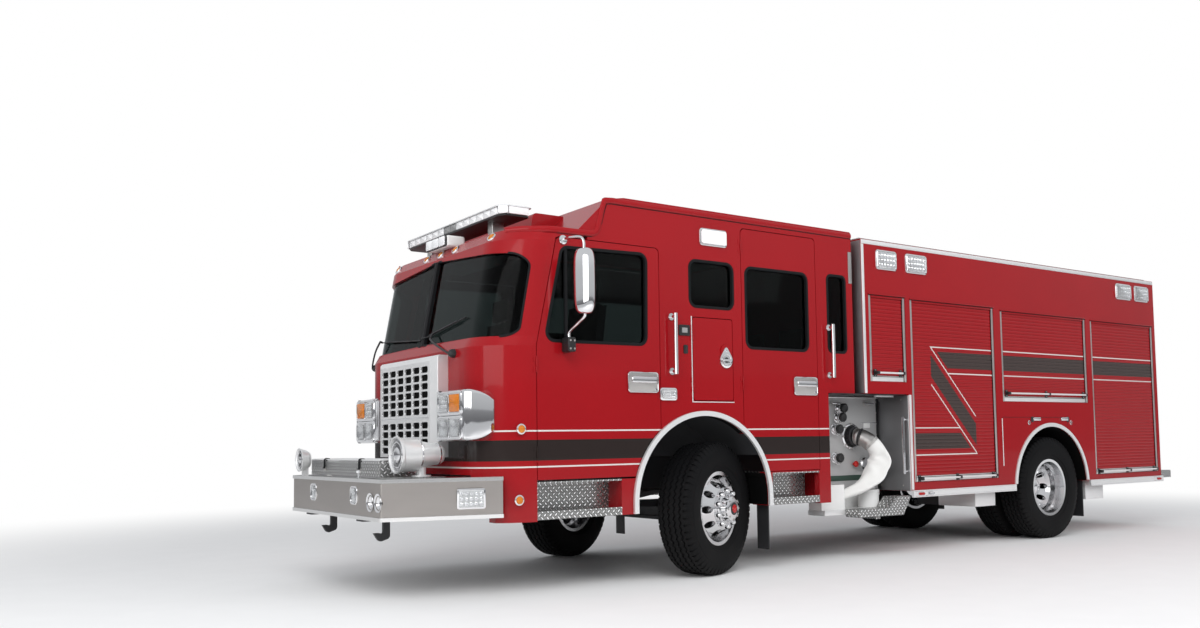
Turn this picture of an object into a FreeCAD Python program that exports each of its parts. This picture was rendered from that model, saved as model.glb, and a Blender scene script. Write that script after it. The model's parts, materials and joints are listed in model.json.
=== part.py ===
import FreeCAD, Part
import math
import os

# Fire engine with a tilt cab, a side pump bay and a body with roll-up doors.
# Millimetres. +X is forward, +Y is left, +Z is up. The origin is on the ground, under the
# middle of the vehicle's length and width.

V = FreeCAD.Vector

# Overall sizes
WHEELBASE = 4654.0
FRONT_OVERHANG = 2715.0
REAR_OVERHANG = 2446.0
CAB_WIDTH = 2388.0
BODY_WIDTH = 2480.0
CAB_BOTTOM = 530.0
LOW_ROOF = 2665.0
HIGH_ROOF = 2975.0
BODY_TOP = 2920.0
BODY_BOTTOM = 590.0

NOSE_X = (FRONT_OVERHANG + WHEELBASE + REAR_OVERHANG) / 2
TAIL_X = -NOSE_X
AXLE_F = NOSE_X - FRONT_OVERHANG
AXLE_R = AXLE_F - WHEELBASE
CAB_HALF = CAB_WIDTH / 2
BODY_HALF = BODY_WIDTH / 2

# Wheels and steering
TYRE_DIA = 1076.0
FRONT_TYRE_WIDTH = 315.0
REAR_TYRE_WIDTH = 295.0
RIM_FLANGE_R = 300.0
RIM_WIDTH = 229.0
RIM_OFFSET = 174.5
HUB_BORE_R = 45.0
WHEEL_BORE_R = 110.0
KINGPIN_Y = 900.0
KINGPIN_R = 22.0
FRONT_TYRE_OUT = 135.0
OUTER_TWIN_Y = 1072.0
STEER_REST = 20.5
RUN_GAP = 0.3
HAND_HOLES = 10
HAND_HOLE_R = 30.0
HAND_HOLE_PITCH_R = 205.0

# Chassis
RAIL_OUT_Y = 430.0
RAIL_TOP = 960.0
RAIL_DEPTH = 260.0
RAIL_FLANGE = 85.0
RAIL_THICK = 12.0
SPRING_Y = 420.0
SPRING_WIDTH = 90.0
REAR_SPRING_Y = RAIL_OUT_Y + 7 + SPRING_WIDTH / 2
SPRING_THICK = 60.0
FRONT_SPRING_LENGTH = 1500.0
REAR_SPRING_LENGTH = 1560.0
AXLE_BEAM_DROP = 60.0
SHAFT_R = 55.0
FLAP_BACK = 690.0
FLAP_THICK = 12.0
SHAFT_Z = 850.0

# Cab
CAB_WALL = 60.0
CAB_CORNER_R = 380.0
CAB_NOSE = AXLE_F + 2030.0
CAB_REAR_TOP = AXLE_F - 1680.0
CAB_REAR_LOW = AXLE_F - 1340.0
CAB_OVERHANG_Z = 1497.0
SCREEN_BASE_Z = 1865.0
SCREEN_TOP_Z = 2580.0
SCREEN_BASE_BACK = 38.0
SCREEN_TOP_BACK = 174.0
BROW_BACK = 240.0
RAISE_FRONT = AXLE_F + 1290.0
RAISE_REAR = AXLE_F + 1000.0
POD_HALF = 600.0
POD_FRONT = AXLE_F + 1315.0
POD_TOP = HIGH_ROOF - 57.0
GLASS_INSET = 22.0
GLASS_THICK = 8.0
FLOOR_Z = 1000.0
FLOOR_THICK = 40.0
TUNNEL_HALF = 440.0
TUNNEL_TOP = 1720.0

# Wheel arches
ARCH_F_X = AXLE_F + 85.0
ARCH_F_Z = 615.0
ARCH_F_R = 675.0
WELL_R = 730.0
WELL_BACK = 15.0
ARCH_R_Z = 545.0
ARCH_R_R = 640.0
ARCH_TRIM = 40.0
ARCH_PROUD = 22.0

# Doors of the cab
DOOR_GAP = 6.0
DOOR_BOTTOM = 820.0
FRONT_DOOR_X = AXLE_F + 1642.0
FRONT_DOOR_TOP_X = AXLE_F + 1464.0
FRONT_DOOR_REAR = AXLE_F + 520.0
FRONT_DOOR_TOP = LOW_ROOF - 50.0
REAR_DOOR_X = AXLE_F - 335.0
REAR_DOOR_REAR = AXLE_F - 1215.0
REAR_DOOR_TOP = HIGH_ROOF - 105.0
DOOR_KNEE_Z = 1800.0
HINGE_R = 6.0
HINGE_PIN_R = 3.0
HINGE_LEAF = 3.0
LOCKER_FRONT = AXLE_F + 196.0
LOCKER_REAR = AXLE_F - 233.0
LOCKER_BOTTOM = 1410.0
LOCKER_TOP = 2090.0
LOCKER_DEPTH = 300.0
WINDOW_R = 60.0

# Bumper and front end
BUMPER_TOP = 861.0
BUMPER_BOTTOM = 574.0
BUMPER_HALF = 935.0
BUMPER_BACK = AXLE_F + 1914.0
BUMPER_WALL = 25.0
BUMPER_LIP = 8.0
BUMPER_DECK = 14.0
GRILLE_X = AXLE_F + 2143.0
GRILLE_HALF = 475.0
GRILLE_FLANGE_HALF = 555.0
GRILLE_BOTTOM = 998.0
GRILLE_TOP = 1762.0
GRILLE_SKIN = 12.0
CELL_COLUMNS = 6
CELL_PITCH_Y = 151.6
CELL_WIDTH = 124.0
CELL_HEIGHT = 53.0
CELL_R = 18.0
CELL_PITCH_Z = 63.0
CELLS_BELOW = 4
CELLS_ABOVE = 6
CELLS_BELOW_Z = 1050.0
CELLS_ABOVE_Z = 1345.0

# Body
CAB_BODY_GAP = 80.0
BODY_FRONT = CAB_REAR_TOP - CAB_BODY_GAP
BODY_OVERHANG = 605.0
BODY_LOW_FRONT = BODY_FRONT - BODY_OVERHANG
BODY_OVERHANG_Z = 1497.0
TAILBOARD_DEPTH = 220.0
BODY_REAR = TAIL_X + TAILBOARD_DEPTH
BODY_WALL = 50.0
BODY_DECK = 30.0
HOSE_BED_HALF = 600.0
HOSE_BED_FLOOR = 1950.0
HOSE_BED_WALL = 20.0
TANK_WELL_Y = 500.0
SHUTTER_INSET = 16.0
SHUTTER_THICK = 22.0
SHUTTER_BAR = 45.0
SHUTTER_BAR_PROUD = 10.0
LID_THICK = 25.0
LID_HINGE_Y = 1176.0
LID_GAP = 6.0
LID_HINGE_RISE = 13.0
PUMP_PANEL_Y = 850.0
PUMP_PANEL_THICK = 30.0
PUMP_GAP = 22.0
PUMP_BOTTOM = 560.0
PUMP_TOP = 1485.0


def box(x0, x1, y0, y1, z0, z1):
    """A block between two corners, given in any order."""
    low = V(min(x0, x1), min(y0, y1), min(z0, z1))
    return Part.makeBox(abs(x1 - x0), abs(y1 - y0), abs(z1 - z0), low)


def rounded_wire(corners):
    """A closed wire through (point, radius) corners, with a tangent arc at each radius."""
    edges = []
    ends = []
    count = len(corners)
    for i in range(count):
        point, radius = corners[i]
        if radius <= 0:
            ends.append((point, point, None))
            continue
        to_last = corners[i - 1][0] - point
        to_next = corners[(i + 1) % count][0] - point
        reach = min(to_last.Length, to_next.Length) * 0.49
        to_last.normalize()
        to_next.normalize()
        half = to_last.getAngle(to_next) / 2
        tangent = min(radius / math.tan(half), reach)
        radius = tangent * math.tan(half)
        middle = to_last + to_next
        middle.normalize()
        centre = point + middle * (radius / math.sin(half))
        ends.append((point + to_last * tangent, point + to_next * tangent, centre - middle * radius))
    for i in range(count):
        start, end, middle = ends[i]
        if middle is not None:
            edges.append(Part.Arc(start, middle, end).toShape())
        following = ends[(i + 1) % count][0]
        if (following - end).Length > 1e-6:
            edges.append(Part.makeLine(end, following))
    return Part.Wire(edges)


def side_wire(points, y):
    """A closed outline in the XZ plane from (x, z) or (x, z, radius)."""
    return rounded_wire([(V(p[0], y, p[1]), p[2] if len(p) > 2 else 0) for p in points])


def plan_wire(points, z):
    """A closed outline in the XY plane from (x, y) or (x, y, radius)."""
    return rounded_wire([(V(p[0], p[1], z), p[2] if len(p) > 2 else 0) for p in points])


def front_wire(points, x):
    """A closed outline in the YZ plane from (y, z) or (y, z, radius)."""
    return rounded_wire([(V(x, p[0], p[1]), p[2] if len(p) > 2 else 0) for p in points])


def side_prism(points, y0, y1):
    return Part.Face(side_wire(points, y0)).extrude(V(0, y1 - y0, 0))


def plan_prism(points, z0, z1):
    return Part.Face(plan_wire(points, z0)).extrude(V(0, 0, z1 - z0))


def front_prism(points, x0, x1):
    return Part.Face(front_wire(points, x0)).extrude(V(x1 - x0, 0, 0))


def rod(start, end, radius):
    """A round bar between two points."""
    along = end - start
    return Part.makeCylinder(radius, along.Length, start, along)


def cyl_y(x, y0, y1, z, radius):
    return rod(V(x, min(y0, y1), z), V(x, max(y0, y1), z), radius)


def cyl_z(x, y, z0, z1, radius):
    return rod(V(x, y, min(z0, z1)), V(x, y, max(z0, z1)), radius)


def pipe(points, radius, bend):
    """A round tube along straight runs joined by tangent arcs."""
    edges = []
    last = points[0]
    for i in range(1, len(points) - 1):
        to_last = points[i - 1] - points[i]
        to_next = points[i + 1] - points[i]
        to_last.normalize()
        to_next.normalize()
        half = to_last.getAngle(to_next) / 2
        tangent = bend / math.tan(half)
        middle = to_last + to_next
        middle.normalize()
        centre = points[i] + middle * (bend / math.sin(half))
        start = points[i] + to_last * tangent
        end = points[i] + to_next * tangent
        edges.append(Part.makeLine(last, start))
        edges.append(Part.Arc(start, centre - middle * bend, end).toShape())
        last = end
    edges.append(Part.makeLine(last, points[-1]))
    ring = Part.Wire(Part.makeCircle(radius, points[0], points[1] - points[0]))
    return Part.Wire(edges).makePipeShell([ring], True, True)


def turned_y(profile, x, y, z):
    """A body turned about a line along Y, from (distance out along Y, radius) points."""
    points = [V(x, y + out, z + radius) for out, radius in profile]
    points.append(points[0])
    return Part.Face(Part.makePolygon(points)).revolve(V(x, y, z), V(0, 1, 0), 360)


def turned_x(profile, x, y, z):
    """A body turned about a line along X, from (distance forward along X, radius) points."""
    points = [V(x + ahead, y, z + radius) for ahead, radius in profile]
    points.append(points[0])
    return Part.Face(Part.makePolygon(points)).revolve(V(x, y, z), V(1, 0, 0), 360)


def fuse(shapes):
    return shapes[0].multiFuse(shapes[1:]) if len(shapes) > 1 else shapes[0]


def other_side(shape):
    """The same piece on the right of the vehicle."""
    return shape.mirror(V(0, 0, 0), V(0, 1, 0))


def both_sides(shape):
    return Part.makeCompound([shape, other_side(shape)])


def save(name, shape):
    """Write one node as its solids."""
    solids = shape.Solids
    good = all(s.isValid() and s.Volume > 0 for s in solids)
    print("%-24s %3d solids %12.0f cm3 %s" % (name, len(solids), shape.Volume / 1000, "" if good else "BAD"))
    whole = solids[0] if len(solids) == 1 else Part.makeCompound(solids)
    whole.exportStep("parts/%s.step" % name)


# Outlines that more than one piece uses

def cab_outline(nose, half, rear, corner, z):
    return plan_wire([(rear, -half), (nose, -half, corner), (nose, half, corner), (rear, half)], z)


def cab_solid(inset, bottom=CAB_BOTTOM):
    """The whole cab as one block, drawn in by inset on every side but the bottom."""
    half = CAB_HALF - inset
    corner = CAB_CORNER_R - inset
    middle = FRONT_DOOR_REAR
    levels = [
        (bottom, 0.0),
        (SCREEN_BASE_Z - 70, 0.0),
        (SCREEN_BASE_Z, SCREEN_BASE_BACK),
        (SCREEN_TOP_Z, SCREEN_TOP_BACK),
        (LOW_ROOF, BROW_BACK),
    ]
    blocks = []
    for low, high in zip(levels, levels[1:]):
        nose = CAB_NOSE - low[1] - inset
        outline = cab_outline(nose, half, middle, corner, low[0])
        blocks.append(Part.Face(outline).extrude(V(low[1] - high[1], 0, high[0] - low[0])))
    rear_top = CAB_REAR_TOP + inset
    rear_low = CAB_REAR_LOW + inset
    back = side_prism([
        (middle + 300, bottom),
        (middle + 300, LOW_ROOF),
        (rear_top, LOW_ROOF),
        (rear_top, CAB_OVERHANG_Z + inset),
        (rear_low, CAB_OVERHANG_Z + inset),
        (rear_low, bottom),
    ], -half, half)
    block = fuse(blocks + [back]).removeSplitter()
    if inset > 0:
        block = block.common(box(0, NOSE_X, -half, half, bottom, LOW_ROOF - inset))
    top = HIGH_ROOF - inset
    lean = inset * 0.6
    raised = side_prism([
        (RAISE_FRONT - lean, LOW_ROOF - inset - 60),
        (RAISE_FRONT - lean, LOW_ROOF - inset),
        (RAISE_REAR - lean, top - 25),
        (RAISE_REAR - 150, top, 40),
        (rear_top, top, 20),
        (rear_top, LOW_ROOF - inset - 60),
    ], -half, half)
    return block.fuse(raised).removeSplitter()


def under_ceiling():
    """The space in side view below the underside of the roof."""
    low = LOW_ROOF - CAB_WALL
    high = HIGH_ROOF - CAB_WALL
    lean = CAB_WALL * 0.6
    outline = [
        (CAB_REAR_TOP - 100, 300),
        (NOSE_X, 300),
        (NOSE_X, low),
        (RAISE_FRONT - lean, low),
        (RAISE_REAR - lean, high - 25),
        (CAB_REAR_TOP - 100, high - 25),
    ]
    return side_prism(outline, -BODY_HALF, BODY_HALF)


def front_arch(radius, y0, y1, back=0.0):
    """The front wheel opening, round above and straight below."""
    x = ARCH_F_X - back
    hole = cyl_y(x, y0, y1, ARCH_F_Z, radius)
    return hole.fuse(box(x - radius, x + radius, y0, y1, 200, ARCH_F_Z))


def rear_arch(radius, y0, y1):
    hole = cyl_y(AXLE_R, y0, y1, ARCH_R_Z, radius)
    return hole.fuse(box(AXLE_R - radius, AXLE_R + radius, y0, y1, 200, ARCH_R_Z))


def front_door_outline(gap):
    return [
        (FRONT_DOOR_X - gap, DOOR_BOTTOM + gap),
        (FRONT_DOOR_X - gap, DOOR_KNEE_Z),
        (FRONT_DOOR_TOP_X - gap, FRONT_DOOR_TOP - gap, 40),
        (FRONT_DOOR_REAR + gap, FRONT_DOOR_TOP - gap, 40),
        (FRONT_DOOR_REAR + gap, DOOR_BOTTOM + gap),
    ]


def rear_door_outline(gap):
    return [
        (REAR_DOOR_X - gap, DOOR_BOTTOM + gap),
        (REAR_DOOR_X - gap, REAR_DOOR_TOP - gap, 40),
        (REAR_DOOR_REAR + gap, REAR_DOOR_TOP - gap, 40),
        (REAR_DOOR_REAR + gap, DOOR_BOTTOM + gap),
    ]


def locker_outline(gap):
    return [
        (LOCKER_FRONT - gap, LOCKER_BOTTOM + gap, 20),
        (LOCKER_FRONT - gap, LOCKER_TOP - gap, 20),
        (LOCKER_REAR + gap, LOCKER_TOP - gap, 20),
        (LOCKER_REAR + gap, LOCKER_BOTTOM + gap, 20),
    ]


FRONT_DOOR_WINDOW = [
    (AXLE_F + 1413, FRONT_DOOR_TOP - 83, WINDOW_R),
    (AXLE_F + 650, FRONT_DOOR_TOP - 67, WINDOW_R),
    (AXLE_F + 660, 1848, WINDOW_R),
    (AXLE_F + 1560, 1842, WINDOW_R),
]
REAR_DOOR_WINDOW = [
    (AXLE_F - 391, REAR_DOOR_TOP - 335, WINDOW_R),
    (AXLE_F - 1100, REAR_DOOR_TOP - 335, WINDOW_R),
    (AXLE_F - 1100, 1867, WINDOW_R),
    (AXLE_F - 391, 1867, WINDOW_R),
]
MIDDLE_WINDOW = [
    (AXLE_F + 209, 2544, WINDOW_R),
    (AXLE_F - 239, 2544, WINDOW_R),
    (AXLE_F - 239, 2180, WINDOW_R),
    (AXLE_F + 209, 2180, WINDOW_R),
]
CORNER_WINDOW = [
    (AXLE_F - 1364, 2550, 40),
    (AXLE_F - 1582, 2550, 40),
    (AXLE_F - 1582, 1870, 40),
    (AXLE_F - 1364, 1870, 40),
]
SCREEN_PANE = [
    (25, SCREEN_BASE_Z + 12, 20),
    (1160, SCREEN_BASE_Z - 4, 70),
    (1160, 2470, 110),
    (25, 2555, 20),
]


def glass_layer():
    """The thin layer inside the cab wall that all its glass is cut from."""
    return cab_solid(GLASS_INSET, 700).cut(cab_solid(GLASS_INSET + GLASS_THICK, 690))


# Chassis

def make_frame_rails():
    """Two channel rails with cross-members, and the lower rails that carry the bumper."""
    rear = BODY_REAR + BODY_WALL + 5
    front = CAB_NOSE - CAB_WALL - 10
    out = RAIL_OUT_Y
    low = RAIL_TOP - RAIL_DEPTH
    web = box(rear, front, out - RAIL_THICK, out, low, RAIL_TOP)
    top = box(rear, front, out - RAIL_FLANGE, out, RAIL_TOP - RAIL_THICK, RAIL_TOP)
    bottom = box(rear, front, out - RAIL_FLANGE, out, low, low + RAIL_THICK)
    horn = box(front - 60, NOSE_X - BUMPER_WALL - 10, out - RAIL_FLANGE, out, BUMPER_BOTTOM + 15,
               BUMPER_TOP - BUMPER_DECK)
    rail = fuse([web, top, bottom, horn])
    shapes = [rail, other_side(rail)]
    inner = out - RAIL_THICK
    for x in (rear + 60, AXLE_R - 780, AXLE_R + 860, BODY_LOW_FRONT - 60, CAB_REAR_LOW + 200, CAB_NOSE - 130):
        shapes.append(box(x - 30, x + 30, -inner, inner, low + 30, RAIL_TOP - 30))
    shapes.append(box(NOSE_X - 150, NOSE_X - 90, -out, out, BUMPER_BOTTOM + 60, BUMPER_TOP - 60))
    return fuse(shapes).cut(fuse(drive_line(SHAFT_R + 20)))


def leaf_spring(x, y, length, z_middle, camber, hanger_top, hanger_y):
    """A pack of leaves, bowed down in the middle, with an eye and hanger at each end."""
    half = length / 2
    y0 = y - SPRING_WIDTH / 2
    y1 = y + SPRING_WIDTH / 2
    lift = z_middle + camber
    top = Part.Arc(V(x - half, 0, lift), V(x, 0, z_middle), V(x + half, 0, lift)).toShape()
    low = Part.Arc(
        V(x + half, 0, lift - SPRING_THICK * 0.35),
        V(x, 0, z_middle - SPRING_THICK),
        V(x - half, 0, lift - SPRING_THICK * 0.35),
    ).toShape()
    ends = [
        Part.makeLine(top.Vertexes[-1].Point, low.Vertexes[0].Point),
        Part.makeLine(low.Vertexes[-1].Point, top.Vertexes[0].Point),
    ]
    pack = Part.Face(Part.Wire([top, ends[0], low, ends[1]])).extrude(V(0, SPRING_WIDTH, 0))
    pack.translate(V(0, y0, 0))
    pieces = [pack]
    for end in (x - half, x + half):
        pieces.append(cyl_y(end, y0, y1, lift - 10, 32))
        pieces.append(side_prism([
            (end - 45, hanger_top), (end + 45, hanger_top), (end + 22, lift - 45), (end - 22, lift - 45),
        ], *hanger_y))
    return fuse(pieces)


def make_leaf_springs():
    low = RAIL_TOP - RAIL_DEPTH
    half = SPRING_WIDTH / 2
    front = leaf_spring(AXLE_F, SPRING_Y, FRONT_SPRING_LENGTH, FRONT_SPRING_Z, 60.0, low,
                        (SPRING_Y - half + 10, RAIL_OUT_Y))
    rear = leaf_spring(AXLE_R, REAR_SPRING_Y, REAR_SPRING_LENGTH, REAR_SPRING_Z, 40.0, low + 80,
                       (RAIL_OUT_Y, REAR_SPRING_Y + half))
    return Part.makeCompound([front, other_side(front), rear, other_side(rear)])


WHEEL_Z = TYRE_DIA / 2
BEAM_Z = WHEEL_Z - AXLE_BEAM_DROP
BEAM_HALF = 55.0
FRONT_SPRING_Z = BEAM_Z + BEAM_HALF + SPRING_THICK
SPINDLE_R = 90.0
REAR_SPRING_Z = WHEEL_Z + SPINDLE_R + SPRING_THICK
KNUCKLE_EYE_H = 60.0
KNUCKLE_GAP = 2.0


def make_front_axle():
    """A dropped beam with an eye and a kingpin at each end."""
    seat = SPRING_Y + 90
    beam = front_prism([
        (-seat, BEAM_Z - BEAM_HALF), (seat, BEAM_Z - BEAM_HALF), (KINGPIN_Y - 70, WHEEL_Z - KNUCKLE_EYE_H),
        (KINGPIN_Y, WHEEL_Z - KNUCKLE_EYE_H), (KINGPIN_Y, WHEEL_Z + KNUCKLE_EYE_H),
        (KINGPIN_Y - 40, WHEEL_Z + KNUCKLE_EYE_H), (seat, BEAM_Z + BEAM_HALF), (-seat, BEAM_Z + BEAM_HALF),
        (-KINGPIN_Y + 40, WHEEL_Z + KNUCKLE_EYE_H), (-KINGPIN_Y, WHEEL_Z + KNUCKLE_EYE_H),
        (-KINGPIN_Y, WHEEL_Z - KNUCKLE_EYE_H), (-KINGPIN_Y + 70, WHEEL_Z - KNUCKLE_EYE_H),
    ], AXLE_F - 45, AXLE_F + 45)
    flute = 28
    for side in (-1, 1):
        groove = box(AXLE_F + side * 18, AXLE_F + side * 60, -seat, seat, BEAM_Z - flute, BEAM_Z + flute)
        beam = beam.cut(groove)
    reach = KNUCKLE_EYE_H + 58
    shapes = [beam]
    for y in (-KINGPIN_Y, KINGPIN_Y):
        shapes.append(cyl_z(AXLE_F, y, WHEEL_Z - KNUCKLE_EYE_H, WHEEL_Z + KNUCKLE_EYE_H, 48))
        shapes.append(cyl_z(AXLE_F, y, WHEEL_Z - reach, WHEEL_Z + reach, KINGPIN_R))
    return fuse(shapes)


def steer(shape, side):
    """Turn a wheel-end piece about its kingpin to the angle it rests at."""
    turned = shape.copy()
    turned.rotate(V(AXLE_F, side * KINGPIN_Y, 0), V(0, 0, 1), STEER_REST)
    return turned


HUB_FACE = FRONT_TYRE_OUT + RIM_OFFSET


def make_knuckle():
    """The left knuckle with its fork, spindle, brake drum and steering arm, wheels straight."""
    y = KINGPIN_Y
    ear = KNUCKLE_EYE_H + KNUCKLE_GAP
    top = cyl_z(AXLE_F, y, WHEEL_Z + ear, WHEEL_Z + ear + 45, 50)
    low = cyl_z(AXLE_F, y, WHEEL_Z - ear - 45, WHEEL_Z - ear, 50)
    back = box(AXLE_F - 50, AXLE_F + 50, y + 58, y + 92, WHEEL_Z - ear - 45, WHEEL_Z + ear + 45)
    bridge_top = box(AXLE_F - 50, AXLE_F + 50, y, y + 92, WHEEL_Z + ear, WHEEL_Z + ear + 45)
    bridge_low = box(AXLE_F - 50, AXLE_F + 50, y, y + 92, WHEEL_Z - ear - 45, WHEEL_Z - ear)
    spindle = cyl_y(AXLE_F, y + 70, y + HUB_FACE + 40, WHEEL_Z, HUB_BORE_R - RUN_GAP)
    arm = box(AXLE_F - 210, AXLE_F, y - 30, y + 20, WHEEL_Z - ear - 40, WHEEL_Z - ear - 8)
    ball = cyl_z(AXLE_F - 190, y - 5, WHEEL_Z - ear - 70, WHEEL_Z - ear - 8, 24)
    drum = turned_y([(92, 50), (92, 200), (104, 205), (104, 50)], AXLE_F, y, WHEEL_Z)
    knuckle = fuse([top, low, back, bridge_top, bridge_low, spindle, arm, ball, drum])
    return knuckle.cut(cyl_z(AXLE_F, y, 0, TYRE_DIA, KINGPIN_R + RUN_GAP))


def rim_profile(disc_sign):
    """Half section of a wheel: rim barrel and disc, as (out along Y, radius)."""
    half = RIM_WIDTH / 2
    face = RIM_OFFSET * disc_sign
    edge = half * disc_sign
    return [
        (-half - 10, RIM_FLANGE_R), (-half, RIM_FLANGE_R), (-half + 4, 282), (-30, 262), (30, 262),
        (half - 4, 282), (half, RIM_FLANGE_R), (half + 10, RIM_FLANGE_R), (half + 8, 272),
        (30, 250), (-30, 250), (-half - 8, 272),
    ], [
        (edge * 0.35, 254), (edge * 0.8, 236), (face, 170), (face, WHEEL_BORE_R), (face - disc_sign * 22, WHEEL_BORE_R),
        (face - disc_sign * 22, 165), (edge * 0.62, 226), (edge * 0.2, 254),
    ]


def wheel(x, y, disc_sign):
    """One disc wheel: its rim centre at y, its disc out to the side of disc_sign."""
    barrel, disc = rim_profile(disc_sign)
    shape = turned_y(barrel, x, y, WHEEL_Z).fuse(turned_y(disc, x, y, WHEEL_Z))
    for i in range(HAND_HOLES):
        angle = 2 * math.pi * i / HAND_HOLES
        cx = x + HAND_HOLE_PITCH_R * math.cos(angle)
        cz = WHEEL_Z + HAND_HOLE_PITCH_R * math.sin(angle)
        inner = y + disc_sign * RIM_WIDTH * 0.15
        shape = shape.cut(cyl_y(cx, inner, y + disc_sign * (RIM_OFFSET + 30), cz, HAND_HOLE_R))
    return shape


def tyre(x, y, width):
    """A tyre turned from its section, open to the rim it sits on."""
    half = width / 2
    outer = TYRE_DIA / 2
    bead = RIM_FLANGE_R + 0.5
    section = [
        (-RIM_WIDTH / 2 - 8, bead), (-half * 0.96, 360), (-half, 420), (-half * 0.93, 490),
        (-half * 0.80, outer - 8), (-half * 0.45, outer), (half * 0.45, outer), (half * 0.80, outer - 8),
        (half * 0.93, 490), (half, 420), (half * 0.96, 360), (RIM_WIDTH / 2 + 8, bead),
        (RIM_WIDTH / 2 - 0.5, bead), (RIM_WIDTH / 2 - 4.5, 282.5), (30, 262.5), (-30, 262.5),
        (-RIM_WIDTH / 2 + 4.5, 282.5), (-RIM_WIDTH / 2 + 0.5, bead),
    ]
    return turned_y(section, x, y, WHEEL_Z)


def make_front_wheel():
    """The left front wheel with its hub, straight ahead."""
    y = KINGPIN_Y
    hub = turned_y([
        (112, HUB_BORE_R), (112, 130), (HUB_FACE - 40, 130), (HUB_FACE - 40, 160), (HUB_FACE - 22, 160),
        (HUB_FACE - 22, WHEEL_BORE_R - RUN_GAP), (HUB_FACE + 25, 95), (HUB_FACE + 25, 88),
        (HUB_FACE + 75, 80), (HUB_FACE + 82, 60), (HUB_FACE + 82, 0), (HUB_FACE + 60, 0), (HUB_FACE + 60, HUB_BORE_R),
    ], AXLE_F, y, WHEEL_Z)
    rim = wheel(AXLE_F, y + FRONT_TYRE_OUT, 1)
    lugs = []
    for i in range(HAND_HOLES):
        angle = 2 * math.pi * (i + 0.5) / HAND_HOLES
        cx = AXLE_F + 143 * math.cos(angle)
        cz = WHEEL_Z + 143 * math.sin(angle)
        lugs.append(rod(V(cx, y + HUB_FACE - 10, cz), V(cx, y + HUB_FACE + 42, cz), 18))
    return fuse([rim, hub] + lugs)


def make_front_tyre():
    return tyre(AXLE_F, KINGPIN_Y + FRONT_TYRE_OUT, FRONT_TYRE_WIDTH)


INNER_TWIN_Y = OUTER_TWIN_Y - 2 * RIM_OFFSET


def make_rear_wheels():
    """The left twin wheels, disc to disc, with the hub and its domed cover."""
    face = OUTER_TWIN_Y - RIM_OFFSET
    outer = wheel(AXLE_R, OUTER_TWIN_Y, -1)
    inner = wheel(AXLE_R, INNER_TWIN_Y, 1)
    hub = turned_y([
        (-260, SPINDLE_R), (-260, 150), (-30, 150), (-22, WHEEL_BORE_R - RUN_GAP), (60, 100), (110, 92), (135, 60),
        (140, 0), (80, 0), (80, SPINDLE_R),
    ], AXLE_R, face, WHEEL_Z)
    lugs = []
    for i in range(HAND_HOLES):
        angle = 2 * math.pi * (i + 0.5) / HAND_HOLES
        cx = AXLE_R + 143 * math.cos(angle)
        cz = WHEEL_Z + 143 * math.sin(angle)
        lugs.append(rod(V(cx, face - 30, cz), V(cx, face + 58, cz), 18))
    return fuse([outer, inner, hub] + lugs)


def make_rear_tyres():
    return Part.makeCompound([
        tyre(AXLE_R, OUTER_TWIN_Y, REAR_TYRE_WIDTH),
        tyre(AXLE_R, INNER_TWIN_Y, REAR_TYRE_WIDTH),
    ])


def make_rear_axle():
    """The drive axle housing: tubes, round centre and spindles."""
    face = OUTER_TWIN_Y - RIM_OFFSET
    tube = cyl_y(AXLE_R, -(face + 60), face + 60, WHEEL_Z, SPINDLE_R - RUN_GAP)
    bowl = turned_x([(-210, 0), (-190, 110), (-90, 215), (110, 215), (230, 130), (330, 80), (330, 0)],
                    AXLE_R, 0, WHEEL_Z)
    return fuse([tube, bowl])


def drive_line(radius):
    """The two propeller shafts, as round bars of one radius."""
    middle = BODY_LOW_FRONT + 150
    front = rod(V(AXLE_F - 420, 0, SHAFT_Z), V(CAB_REAR_LOW - 250, 0, SHAFT_Z), radius)
    rear = rod(V(middle, 0, SHAFT_Z - 50), V(AXLE_R + 330, 0, WHEEL_Z), radius)
    return [front, rear]


def make_powertrain():
    """Engine, radiator, gearbox, pump and drive shafts, as plain blocks and shafts."""
    engine = box(AXLE_F + 180, AXLE_F + 1500, -325, 325, 640, 1580)
    radiator = box(CAB_NOSE - 150, CAB_NOSE - CAB_WALL - 10, -400, 400, RAIL_TOP + 5, TUNNEL_TOP - 25)
    carrier = box(AXLE_F + 1500, CAB_NOSE - 150, -300, 300, RAIL_TOP + 5, RAIL_TOP + 45)
    gearbox = box(AXLE_F - 420, AXLE_F + 180, -240, 240, 660, 1150)
    pump = box(BODY_LOW_FRONT + 150, CAB_REAR_LOW - 250, -300, 300, 720, 1180)
    shafts = [shaft.cut(make_rear_axle()) for shaft in drive_line(SHAFT_R)]
    return fuse([engine, radiator, carrier, gearbox, pump] + shafts)


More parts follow.
